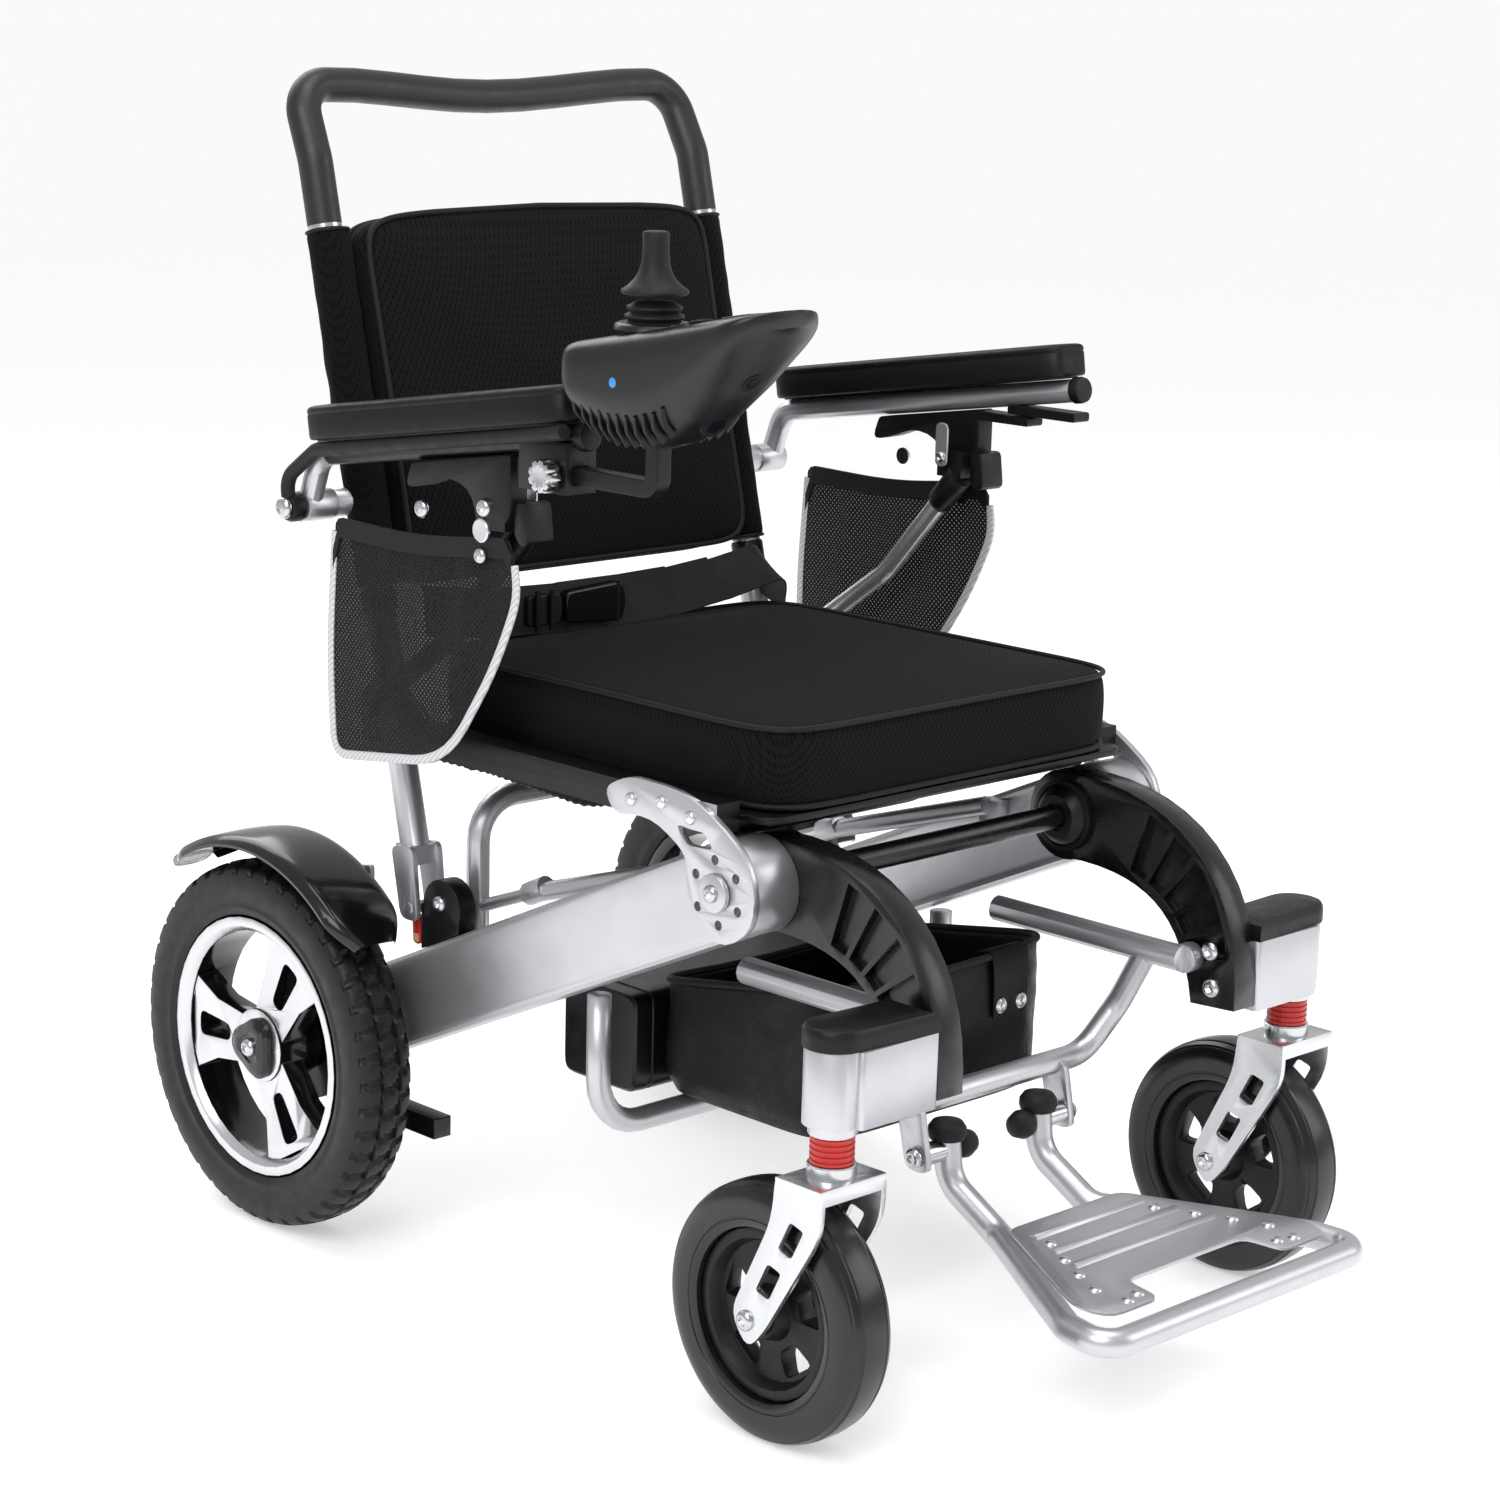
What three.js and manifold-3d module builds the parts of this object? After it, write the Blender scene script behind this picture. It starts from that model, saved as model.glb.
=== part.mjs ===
// A folding power wheelchair, in millimetres. It faces -Y, +Z is up, the floor is at Z = 0, and the
// occupant's right-hand side is -X. The side pieces are drawn for the +X side and mirrored for the other.
import * as THREE from "three";
import { mergeVertices } from "three/addons/utils/BufferGeometryUtils.js";
import Module from "manifold-3d";

const wasm = await Module();
wasm.setup();

// ---------------------------------------------------------------- driving dimensions
const GAP = 0.4; // between pieces that touch
const RUNNING = 0.4; // between a pin and its bore
const SWING = 2; // between pieces that swing past each other

const SEAT_WIDTH = 410;
const SEAT_DEPTH = 425;
const SEAT_FRONT_Y = -192;
const SEAT_BASE_Z = 446;
const SEAT_THICKNESS = 70;
const RAIL = 24;
const PLATE = 6;

const HUB_Y = -162;
const HUB_Z = 390;
const HUB_RADIUS = 38;
const SHAFT_RADIUS = 10;

const AXLE_Y = 340;
const WHEEL_RADIUS = 159;
const WHEEL_WIDTH = 56;
const RIM_RADIUS = 113;
const WHEEL_SHAFT_RADIUS = 8;
const MOTOR_RADIUS = 56;

const BEAM_WIDTH = 42;
const BEAM_HEIGHT = 75;
const ARM_WIDTH = 27;

const STEM_Y = -320;
const STEM_RADIUS = 9;
const STEM_OUTSET = 81; // from the front arm's outer face to the caster's stem
const STEM_BLOCK_BASE_Z = 258;
const STEM_BLOCK_TOP_Z = 316;
const CASTER_RADIUS = 100;
const CASTER_WIDTH = 46;
const CASTER_TRAIL = 49;
const CASTER_RIM_RADIUS = 66;

const RECLINE = THREE.MathUtils.degToRad(13.6);
const CATCH_PIN_Y = 215;
const CATCH_RISE = 38.2; // of the catch pin above the beam's top
const BACK_TUBE_RADIUS = 12.5;
const BACK_TUBE_TOP_Z = 858;
const HANDLE_RISE = 103;
const HANDLE_RADIUS = 14.5;
const BACK_PIVOT_Z = 443;
const BACK_CUSHION_BASE_Z = 556;
const BACK_CUSHION_THICKNESS = 44;

const ARM_PIVOT_Z = 627;
const ARM_TUBE_RADIUS = 10;
const PAD_LENGTH = 346;
const PAD_WIDTH = 55;
const PAD_THICKNESS = 27;
const PAD_REAR_Z = 684;
const PAD_SLOPE = 0.1556; // rise towards the front, per millimetre

const FOOT_REAR_Z = 111;
const FOOT_FRONT_Y = -488;
const FOOT_FRONT_Z = 106;
const FOOT_HALF_WIDTH = 153;
const FOOT_TUBE_RADIUS = 11;

const RAIL_TUBE_RADIUS = 11;
const CONTROLLER_WIDTH = 88;

// ---------------------------------------------------------------- positions that follow from them
const RAIL_X = SEAT_WIDTH / 2 + 3 + RAIL / 2;
const PLATE_X = RAIL_X + RAIL / 2; // inner face of the boomerang plate
const PLATE_OUT = PLATE_X + PLATE;
const BEAM_OUT = PLATE_X - SWING;
const BEAM_IN = BEAM_OUT - BEAM_WIDTH;
const BEAM_X = (BEAM_IN + BEAM_OUT) / 2;
const ARM_OUT = BEAM_IN - GAP;
const ARM_IN = ARM_OUT - ARM_WIDTH;
const WHEEL_X = PLATE_OUT + 8 + WHEEL_WIDTH / 2;
const STEM_X = ARM_OUT + STEM_OUTSET;
const CASTER_AXLE_Y = STEM_Y + CASTER_TRAIL;

const beamAngle = Math.atan2(HUB_Z - WHEEL_RADIUS, AXLE_Y - HUB_Y);
const beamSpan = Math.hypot(AXLE_Y - HUB_Y, HUB_Z - WHEEL_RADIUS);
const BEAM_LENGTH = beamSpan - MOTOR_RADIUS - 3;
const halfRise = BEAM_HEIGHT / 2 / Math.cos(beamAngle);
const beamMiddle = (y) => HUB_Z - Math.tan(beamAngle) * (y - HUB_Y);
const beamTop = (y) => beamMiddle(y) + halfRise;
const beamBase = (y) => beamMiddle(y) - halfRise;

const CATCH_PIN_Z = beamTop(CATCH_PIN_Y) + CATCH_RISE;

// A point of the backrest: how far up the tube's line from the catch pin, and how far behind that line.
const backY = (z) => CATCH_PIN_Y + Math.tan(RECLINE) * (z - CATCH_PIN_Z);
const BACK_X = BEAM_X + 5;
const BACK_PIVOT_Y = backY(BACK_PIVOT_Z);
const ARM_PIVOT_Y = backY(ARM_PIVOT_Z) + 7;

const HANDLE_TOP_Z = BACK_TUBE_TOP_Z + HANDLE_RISE;
const BACK_CUSHION_TOP_Z = BACK_TUBE_TOP_Z + 2;
const ARM_TUBE_X = BACK_X + 52;
const PAD_REAR_Y = ARM_PIVOT_Y - 26;
const padBase = (y) => PAD_REAR_Z + PAD_SLOPE * (PAD_REAR_Y - y);
const padAngle = Math.atan(PAD_SLOPE);
const FOOT_PIVOT_Y = -238;
const FOOT_PIVOT_Z = 168;
const CROSSBAR_Z = 207;

// ---------------------------------------------------------------- solids
function solid(geometry) {
  const bare = geometry.index ? geometry.toNonIndexed() : geometry.clone();
  bare.deleteAttribute("normal");
  bare.deleteAttribute("uv");
  const merged = mergeVertices(bare, 1e-3);
  return new wasm.Manifold(
    new wasm.Mesh({
      numProp: 3,
      vertProperties: Float32Array.from(merged.attributes.position.array),
      triVerts: Uint32Array.from(merged.index.array),
    }),
  );
}

function geometryOf(body) {
  const mesh = body.getMesh();
  const geometry = new THREE.BufferGeometry();
  geometry.setAttribute("position", new THREE.BufferAttribute(mesh.vertProperties, 3));
  geometry.setIndex(new THREE.BufferAttribute(mesh.triVerts, 1));
  geometry.computeVertexNormals();
  return geometry;
}

function union(...bodies) {
  return bodies.reduce((whole, body) => whole.add(body));
}

function cut(body, ...tools) {
  return tools.reduce((left, tool) => left.subtract(tool), body);
}

function block(x, y, z) {
  const size = [x, y, z].map(([low, high]) => high - low);
  const centre = [x, y, z].map(([low, high]) => (low + high) / 2);
  return solid(new THREE.BoxGeometry(...size).translate(...centre));
}

function rodX(radius, x, y, z, sides = 20) {
  const rod = new THREE.CylinderGeometry(radius, radius, x[1] - x[0], sides);
  return solid(rod.rotateZ(Math.PI / 2).translate((x[0] + x[1]) / 2, y, z));
}

function rodZ(radius, x, y, z, sides = 20, topRadius = radius) {
  const rod = new THREE.CylinderGeometry(topRadius, radius, z[1] - z[0], sides);
  return solid(rod.rotateX(Math.PI / 2).translate(x, y, (z[0] + z[1]) / 2));
}

function rodBetween(radius, from, to, sides = 12) {
  const start = new THREE.Vector3(...from);
  const along = new THREE.Vector3(...to).sub(start);
  const rod = new THREE.CylinderGeometry(radius, radius, along.length(), sides);
  const turn = new THREE.Quaternion().setFromUnitVectors(
    new THREE.Vector3(0, 1, 0),
    along.clone().normalize(),
  );
  const middle = start.clone().addScaledVector(along, 0.5);
  return solid(rod.applyQuaternion(turn).translate(middle.x, middle.y, middle.z));
}

// A flat outline in Y and Z, extruded along X.
function plateX(outline, x, holes = []) {
  const shape = outline instanceof THREE.Shape ? outline : polygon(outline);
  shape.holes.push(...holes);
  const geometry = new THREE.ExtrudeGeometry(shape, {
    depth: x[1] - x[0],
    bevelEnabled: false,
    curveSegments: 8,
  });
  const toPlane = new THREE.Matrix4().makeBasis(
    new THREE.Vector3(0, 1, 0),
    new THREE.Vector3(0, 0, 1),
    new THREE.Vector3(1, 0, 0),
  );
  return solid(geometry.applyMatrix4(toPlane).translate(x[0], 0, 0));
}

// A flat outline in X and Y, extruded along Z.
function plateZ(outline, z) {
  const shape = outline instanceof THREE.Shape ? outline : polygon(outline);
  const settings = { depth: z[1] - z[0], bevelEnabled: false, curveSegments: 6 };
  return solid(new THREE.ExtrudeGeometry(shape, settings).translate(0, 0, z[0]));
}

// A flat outline in X and Z, extruded along Y.
function plateY(outline, y) {
  const shape = outline instanceof THREE.Shape ? outline : polygon(outline);
  const settings = { depth: y[1] - y[0], bevelEnabled: false, curveSegments: 6 };
  const plate = new THREE.ExtrudeGeometry(shape, settings);
  return solid(plate.rotateX(Math.PI / 2).translate(0, y[1], 0));
}

function polygon(points) {
  return new THREE.Shape(points.map(([u, v]) => new THREE.Vector2(u, v)));
}

// A polygon whose corners are rounded, each by the radius it gives or by the common one.
function rounded(points, radius, steps = 4) {
  const corners = points.map(([u, v]) => new THREE.Vector2(u, v));
  const outline = [];
  corners.forEach((corner, i) => {
    const before = corners.at(i - 1).clone().sub(corner);
    const after = corners[(i + 1) % corners.length].clone().sub(corner);
    const reach = Math.min(points[i][2] ?? radius, before.length() * 0.49, after.length() * 0.49);
    const start = corner.clone().addScaledVector(before.normalize(), reach);
    const end = corner.clone().addScaledVector(after.normalize(), reach);
    outline.push(...new THREE.QuadraticBezierCurve(start, corner, end).getPoints(steps));
  });
  return new THREE.Shape(outline);
}

function roundedBox(x, y, z, radius) {
  const outline = [
    [x[0], y[0]],
    [x[1], y[0]],
    [x[1], y[1]],
    [x[0], y[1]],
  ];
  return plateZ(rounded(outline, radius), z);
}

function disc(y, z, radius, sides = 24) {
  const path = new THREE.Path();
  for (let i = 0; i < sides; i += 1) {
    const turn = (2 * Math.PI * i) / sides;
    const point = [y + radius * Math.cos(turn), z + radius * Math.sin(turn)];
    if (i) path.lineTo(...point);
    else path.moveTo(...point);
  }
  return path;
}

// A path through given points, straight between them and bent by an arc at each inner one.
class BentPath extends THREE.Curve {
  constructor(points, bend, arcSteps = 5) {
    super();
    const ends = points.map((point) => new THREE.Vector3(...point));
    const along = (i) => ends[i + 1].clone().sub(ends[i]).normalize();
    this.stations = [{ at: ends[0], tangent: along(0) }];
    for (let i = 1; i < ends.length - 1; i += 1) {
      const arrive = along(i - 1);
      const leave = along(i);
      const turn = arrive.angleTo(leave);
      const inward = leave.clone().sub(arrive).normalize();
      const centre = ends[i].clone().addScaledVector(inward, bend / Math.cos(turn / 2));
      for (let step = 0; step <= arcSteps; step += 1) {
        const swung = turn * (step / arcSteps - 0.5);
        const middle = arrive.clone().add(leave).normalize();
        const spoke = inward.clone().multiplyScalar(-Math.cos(swung));
        const tangent = middle.clone().multiplyScalar(Math.cos(swung));
        tangent.addScaledVector(inward, Math.sin(swung));
        spoke.addScaledVector(middle, Math.sin(swung));
        this.stations.push({ at: centre.clone().addScaledVector(spoke, bend), tangent });
      }
    }
    this.stations.push({ at: ends.at(-1), tangent: along(ends.length - 2) });
    this.steps = this.stations.length - 1;
  }
  station(u) {
    return this.stations[Math.round(u * this.steps)];
  }
  getPoint(u) {
    return this.station(u).at.clone();
  }
  getPointAt(u) {
    return this.getPoint(u);
  }
  getTangentAt(u) {
    return this.station(u).tangent.clone();
  }
}

function tube(points, radius, bend, sides = 10, arcSteps = 5) {
  const path = new BentPath(points, bend, arcSteps);
  const ring = new THREE.Shape(disc(0, 0, radius, sides).getPoints());
  return solid(new THREE.ExtrudeGeometry(ring, { steps: path.steps, extrudePath: path }));
}

// A closed profile of [distance along X, radius] turned round an axis that runs along X.
function turnedX(profile, x, y, z, sides = 32) {
  const spin = (points) => solid(new THREE.LatheGeometry(points, sides)
    .rotateZ(-Math.PI / 2)
    .translate(x, y, z));
  const points = profile.map(([along, radius]) => new THREE.Vector2(radius, along));
  points.push(points[0].clone());
  const made = spin(points);
  return made.volume() > 0 ? made : spin(points.reverse());
}

function turned(body, axis, angle, [x, y, z]) {
  const matrix = new THREE.Matrix4()
    .makeTranslation(x, y, z)
    .multiply(new THREE.Matrix4().makeRotationAxis(new THREE.Vector3(...axis), angle))
    .multiply(new THREE.Matrix4().makeTranslation(-x, -y, -z));
  return solid(geometryOf(body).applyMatrix4(matrix));
}

// ---------------------------------------------------------------- finishes
const finish = (color, roughness, metalness) => ({ color, roughness, metalness });
const silver = finish(0xc4c6c9, 0.35, 0.85);
const blackMetal = finish(0x1b1b1d, 0.4, 0.3);
const blackPlastic = finish(0x17171a, 0.45, 0);
const rubber = finish(0x151515, 0.8, 0);
const fabric = finish(0x1a1a1e, 0.95, 0);
const mesh = finish(0x2a2a2d, 0.95, 0);
const red = finish(0xc2231d, 0.4, 0);

const wheelchair = new THREE.Group();
wheelchair.name = "power_wheelchair";
const leftSide = new THREE.Group();
const rightSide = new THREE.Group();
rightSide.scale.x = -1;
wheelchair.add(leftSide, rightSide);

function place(name, body, look, parent = wheelchair) {
  const part = new THREE.Mesh(geometryOf(body), new THREE.MeshStandardMaterial(look));
  part.name = name;
  parent.add(part);
}

function placePair(name, body, look) {
  place(`${name}_left`, body, look, leftSide);
  place(`${name}_right`, body, look, rightSide);
}

// ---------------------------------------------------------------- seat frame
const SEAT_BACK_Y = SEAT_FRONT_Y + SEAT_DEPTH;
const RAIL_BASE_Z = HUB_Z + HUB_RADIUS + 3;
const RAIL_MIDDLE_Z = RAIL_BASE_Z + RAIL / 2;
const POST_RADIUS = 8.5;
const POST_X = PLATE_OUT + GAP + POST_RADIUS + 1;
const BRACKET_PIN_RADIUS = 6;
const postFoot = [POST_X, BACK_PIVOT_Y - 16, BACK_PIVOT_Z + 29];
const postBend = [POST_X, postFoot[1] - 103, postFoot[2] + 73];
const postAngle = THREE.MathUtils.degToRad(131);
const postDirection = [0, Math.cos(postAngle), Math.sin(postAngle)];
const POST_LENGTH = 88; // above the bend
const alongPost = (distance) => postBend.map((value, i) => value + postDirection[i] * distance);

function seatSide() {
  const rail = block(
    [RAIL_X - RAIL / 2, RAIL_X + RAIL / 2],
    [HUB_Y + 8, BACK_PIVOT_Y - BACK_TUBE_RADIUS - 14],
    [RAIL_BASE_Z, RAIL_BASE_Z + RAIL],
  );
  const boomerang = rounded(
    [
      [HUB_Y + 34, HUB_Z - 8, 24],
      [HUB_Y + 32, HUB_Z + 22, 30],
      [HUB_Y + 74, RAIL_BASE_Z + 4, 26],
      [HUB_Y + 116, RAIL_BASE_Z - 2, 10],
      [HUB_Y + 128, RAIL_BASE_Z + RAIL * 0.7, 12],
      [HUB_Y + 100, RAIL_BASE_Z + RAIL + 7, 14],
      [HUB_Y + 24, RAIL_BASE_Z + RAIL + 5, 40],
      [HUB_Y - 38, HUB_Z + 28, 40],
      [HUB_Y - 42, HUB_Z - 22, 26],
      [HUB_Y, HUB_Z - 46, 34],
    ],
    20,
  );
  const window = rounded(
    [
      [HUB_Y + 4, HUB_Z + 32],
      [HUB_Y + 34, HUB_Z + 30],
      [HUB_Y + 46, HUB_Z + 44],
      [HUB_Y + 16, HUB_Z + 44],
    ],
    5,
    2,
  );
  const boltHoles = Array.from({ length: 6 }, (_, i) => {
    const turn = (Math.PI / 3) * (i + 0.4);
    return disc(HUB_Y + 25 * Math.cos(turn), HUB_Z + 25 * Math.sin(turn), 4, 10);
  });
  const bore = disc(HUB_Y, HUB_Z, SHAFT_RADIUS + RUNNING, 20);
  const front = plateX(boomerang, [PLATE_X - 0.1, PLATE_OUT], [bore, window, ...boltHoles]);
  const bracket = rounded(
    [
      [BACK_PIVOT_Y - 78, RAIL_BASE_Z - 4],
      [BACK_PIVOT_Y + 16, RAIL_BASE_Z - 6],
      [BACK_PIVOT_Y + 18, BACK_PIVOT_Z + 16],
      [BACK_PIVOT_Y + 4, postFoot[2] + 16],
      [BACK_PIVOT_Y - 34, postFoot[2] + 14],
      [BACK_PIVOT_Y - 80, RAIL_BASE_Z + RAIL],
    ],
    10,
  );
  const pinHole = disc(BACK_PIVOT_Y, BACK_PIVOT_Z, BRACKET_PIN_RADIUS + RUNNING, 16);
  const rear = plateX(bracket, [PLATE_X - 0.1, PLATE_OUT], [pinHole]);
  return union(rail, front, rear);
}

function seatPan() {
  const inner = RAIL_X - RAIL / 2 - GAP;
  const pan = roundedBox(
    [-inner, inner],
    [SEAT_FRONT_Y + 6, SEAT_BACK_Y - 6],
    [SEAT_BASE_Z - 6, SEAT_BASE_Z - GAP],
    20,
  );
  const crossTube = (y) => rodX(11, [-inner, inner], y, SEAT_BASE_Z - 15, 12);
  return union(pan, crossTube(SEAT_FRONT_Y + 60), crossTube(SEAT_BACK_Y - 70));
}

function armPost() {
  const bar = tube([postFoot, postBend, alongPost(POST_LENGTH)], POST_RADIUS, 60, 12);
  const foot = rodX(13, [PLATE_OUT + GAP, POST_X + POST_RADIUS - 1], postFoot[1], postFoot[2], 16);
  return union(bar, foot);
}

function pivotShaft() {
  const reach = PLATE_OUT + GAP;
  const shaft = rodX(SHAFT_RADIUS, [-reach - 4, reach + 4], HUB_Y, HUB_Z, 20);
  const head = (x) => rodX(15, x, HUB_Y, HUB_Z, 20);
  return union(shaft, head([reach, reach + 5]), head([-reach - 5, -reach]));
}

function seatCushion() {
  const half = SEAT_WIDTH / 2;
  const body = roundedBox(
    [-half, half],
    [SEAT_FRONT_Y, SEAT_BACK_Y],
    [SEAT_BASE_Z, SEAT_BASE_Z + SEAT_THICKNESS],
    32,
  );
  return body;
}

function controlBox() {
  const top = SEAT_BASE_Z - 6 - GAP;
  return roundedBox([-62, 62], [HUB_Y + 60, HUB_Y + 190], [top - 34, top], 8);
}

placePair("seat_side", seatSide(), silver);
placePair("arm_post", armPost(), silver);
place("pivot_shaft", pivotShaft(), silver);
place("seat_pan", seatPan(), blackPlastic);
place("seat_cushion", seatCushion(), fabric);
place("control_box", controlBox(), blackPlastic);

// ---------------------------------------------------------------- rear frame
const HOOP_Y = 195;
const HOOP_RADIUS = 10;
const HOOP_X = BEAM_IN - HOOP_RADIUS - 6;
const HOOP_TOP_Z = 384;
const CATCH_X = [BACK_X - 9, BACK_X + 9];
const CATCH_Y = CATCH_PIN_Y - 34;
const MUDGUARD_RADIUS = WHEEL_RADIUS + 23;
const MUDGUARD_SHEET = 3;
const CRADLE_Y = 8;
const CRADLE_Z = 150;
const BAG_HALF = ARM_IN - 2 * RAIL_TUBE_RADIUS - 6;

function alongBeam(distance, across = 0) {
  return [
    HUB_Y + distance * Math.cos(beamAngle) + across * Math.sin(beamAngle),
    HUB_Z - distance * Math.sin(beamAngle) + across * Math.cos(beamAngle),
  ];
}

function sideBeam() {
  const half = [BEAM_WIDTH / 2, BEAM_HEIGHT / 2];
  const section = rounded(
    [
      [-half[0], -half[1]],
      [half[0], -half[1]],
      [half[0], half[1]],
      [-half[0], half[1]],
    ],
    9,
    3,
  );
  const lie = new THREE.Matrix4().makeBasis(
    new THREE.Vector3(1, 0, 0),
    new THREE.Vector3(0, Math.sin(beamAngle), Math.cos(beamAngle)),
    new THREE.Vector3(0, -Math.cos(beamAngle), Math.sin(beamAngle)),
  );
  const straight = new THREE.ExtrudeGeometry(section, { depth: BEAM_LENGTH, bevelEnabled: false });
  straight.translate(0, 0, -BEAM_LENGTH).applyMatrix4(lie).translate(BEAM_X, HUB_Y, HUB_Z);
  const hub = rodX(HUB_RADIUS, [BEAM_IN, BEAM_OUT], HUB_Y, HUB_Z, 32);
  const bore = rodX(SHAFT_RADIUS + RUNNING, [BEAM_IN - 1, BEAM_OUT + 1], HUB_Y, HUB_Z, 20);
  return cut(union(solid(straight), hub), bore);
}

function rearHoop() {
  const foot = beamMiddle(HOOP_Y) + 10;
  const hoop = tube(
    [
      [HOOP_X, HOOP_Y, foot],
      [HOOP_X, HOOP_Y, HOOP_TOP_Z],
      [-HOOP_X, HOOP_Y, HOOP_TOP_Z],
      [-HOOP_X, HOOP_Y, foot],
    ],
    HOOP_RADIUS,
    36,
    12,
    6,
  );
  const side = (mirror) => {
    const x = mirror * HOOP_X;
    const lug = [mirror * (HOOP_X + 2), mirror * (BEAM_IN - GAP)].sort((a, b) => a - b);
    const footLug = block(lug, [HOOP_Y - 9, HOOP_Y + 9], [foot, foot + 30]);
    const tee = [x, HOOP_Y - 1, HOOP_TOP_Z - 92];
    const middle = [x, HOOP_Y - 66, HOOP_TOP_Z - 67];
    const front = [x, HUB_Y + 96, HUB_Z - 12];
    const rod = rodBetween(5.5, tee, middle, 10);
    const fork = rodBetween(10, [x, HOOP_Y - 88, HOOP_TOP_Z - 57], middle, 12);
    const strut = rodBetween(8, middle, front, 12);
    const frontLug = block(lug, [front[1] - 10, front[1] + 10], [front[2] - 24, front[2] + 4]);
    return union(footLug, rod, fork, strut, frontLug);
  };
  return union(hoop, side(1), side(-1));
}

function foldCatch() {
  const low = CATCH_Y - 22;
  const high = CATCH_PIN_Y - BRACKET_PIN_RADIUS - SWING;
  const foot = plateX(
    [
      [low, beamTop(low) + GAP],
      [high, beamTop(high) + GAP],
      [high, CATCH_PIN_Z + 6],
      [low, CATCH_PIN_Z + 6],
    ],
    CATCH_X,
  );
  const barrel = cut(
    rodX(24, CATCH_X, CATCH_Y, CATCH_PIN_Z + 6, 24),
    block([CATCH_X[0] - 1, CATCH_X[1] + 1], [high, high + 60], [CATCH_PIN_Z - 60, CATCH_PIN_Z + 60]),
  );
  return union(foot, barrel);
}

const LEVER_Y = CATCH_PIN_Y;
const LEVER_Z = beamTop(CATCH_PIN_Y) + 11;

function releaseLever() {
  const top = CATCH_PIN_Z - BRACKET_PIN_RADIUS - 2;
  const outline = rounded(
    [
      [LEVER_Y - 5, LEVER_Z - 5],
      [LEVER_Y + 5, LEVER_Z - 5],
      [LEVER_Y + 7, top],
      [LEVER_Y - 3, top],
    ],
    4,
    2,
  );
  return plateX(outline, [CATCH_X[0] + 2, CATCH_X[1] - 2]);
}

function driveMotor() {
  const inner = BEAM_IN - 8;
  const wheelFace = WHEEL_X - WHEEL_WIDTH / 2 - 3;
  const housing = rodX(MOTOR_RADIUS, [inner, wheelFace], AXLE_Y, WHEEL_RADIUS, 32);
  const [bossY, bossZ] = alongBeam(BEAM_LENGTH + GAP + 14);
  const boss = turned(
    block([BEAM_IN + 4, BEAM_OUT - 4], [bossY - 14, bossY + 14], [bossZ - 32, bossZ + 32]),
    [1, 0, 0],
    -beamAngle,
    [0, bossY, bossZ],
  );
  const shaft = rodX(
    WHEEL_SHAFT_RADIUS,
    [wheelFace - 4, WHEEL_X + WHEEL_WIDTH / 2 - 8],
    AXLE_Y,
    WHEEL_RADIUS,
    16,
  );
  const standZ = WHEEL_RADIUS - MOTOR_RADIUS;
  const stand = block([BEAM_X - 9, BEAM_X + 9], [AXLE_Y - 146, AXLE_Y + 6], [standZ - 7, standZ + 11]);
  return union(housing, boss, shaft, stand);
}

function mudguard() {
  const sector = (radius, from, to) =>
    Array.from({ length: 15 }, (_, i) => {
      const turn = THREE.MathUtils.degToRad(from + ((to - from) * i) / 14);
      return [AXLE_Y + radius * Math.cos(turn), WHEEL_RADIUS + radius * Math.sin(turn)];
    });
  const outline = [
    ...sector(MUDGUARD_RADIUS + MUDGUARD_SHEET, 56, 138),
    ...sector(MUDGUARD_RADIUS, 138, 56),
  ];
  const sheet = plateX(outline, [BEAM_OUT + 5, WHEEL_X + WHEEL_WIDTH / 2 + 8]);
  const tabY = [AXLE_Y - 80, AXLE_Y - 52];
  const tabTop = WHEEL_RADIUS + Math.sqrt(MUDGUARD_RADIUS ** 2 - 80 ** 2) + 1.5;
  const tab = block([BEAM_OUT + GAP, BEAM_OUT + 5.5], tabY, [beamMiddle(tabY[0]), tabTop]);
  return union(sheet, tab);
}

function cradleTube() {
  const top = beamBase(CRADLE_Y) - GAP - 6;
  return tube(
    [
      [BEAM_X - 8, CRADLE_Y, top],
      [BEAM_X - 8, CRADLE_Y, CRADLE_Z],
      [8 - BEAM_X, CRADLE_Y, CRADLE_Z],
      [8 - BEAM_X, CRADLE_Y, top],
    ],
    10,
    44,
    12,
    6,
  );
}

function batteryCase() {
  return roundedBox(
    [-148, 148],
    [CRADLE_Y + 14, CRADLE_Y + 104],
    [CRADLE_Z + 14, CRADLE_Z + 98],
    10,
  );
}

function storageBag() {
  const floor = CRADLE_Z + 14;
  const front = HUB_Y - 14;
  const back = CRADLE_Y + 12;
  const outline = [
    [front + 6, floor],
    [back, floor + 4],
    [back, floor + 92],
    [front - 4, floor + 132],
  ];
  const hollow = [
    [front + 11, floor + 6],
    [back - 6, floor + 10],
    [back - 6, floor + 130],
    [front + 1, floor + 150],
  ];
  return cut(
    plateX(outline, [-BAG_HALF, BAG_HALF]),
    plateX(hollow, [6 - BAG_HALF, BAG_HALF - 6]),
  );
}

placePair("side_beam", sideBeam(), silver);
place("rear_hoop", rearHoop(), silver);
placePair("fold_catch", foldCatch(), blackPlastic);
placePair("release_lever", releaseLever(), red);
placePair("drive_motor", driveMotor(), blackMetal);
placePair("mudguard", mudguard(), blackPlastic);
place("cradle_tube", cradleTube(), silver);
place("battery_case", batteryCase(), blackPlastic);
place("storage_bag", storageBag(), fabric);

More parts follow.
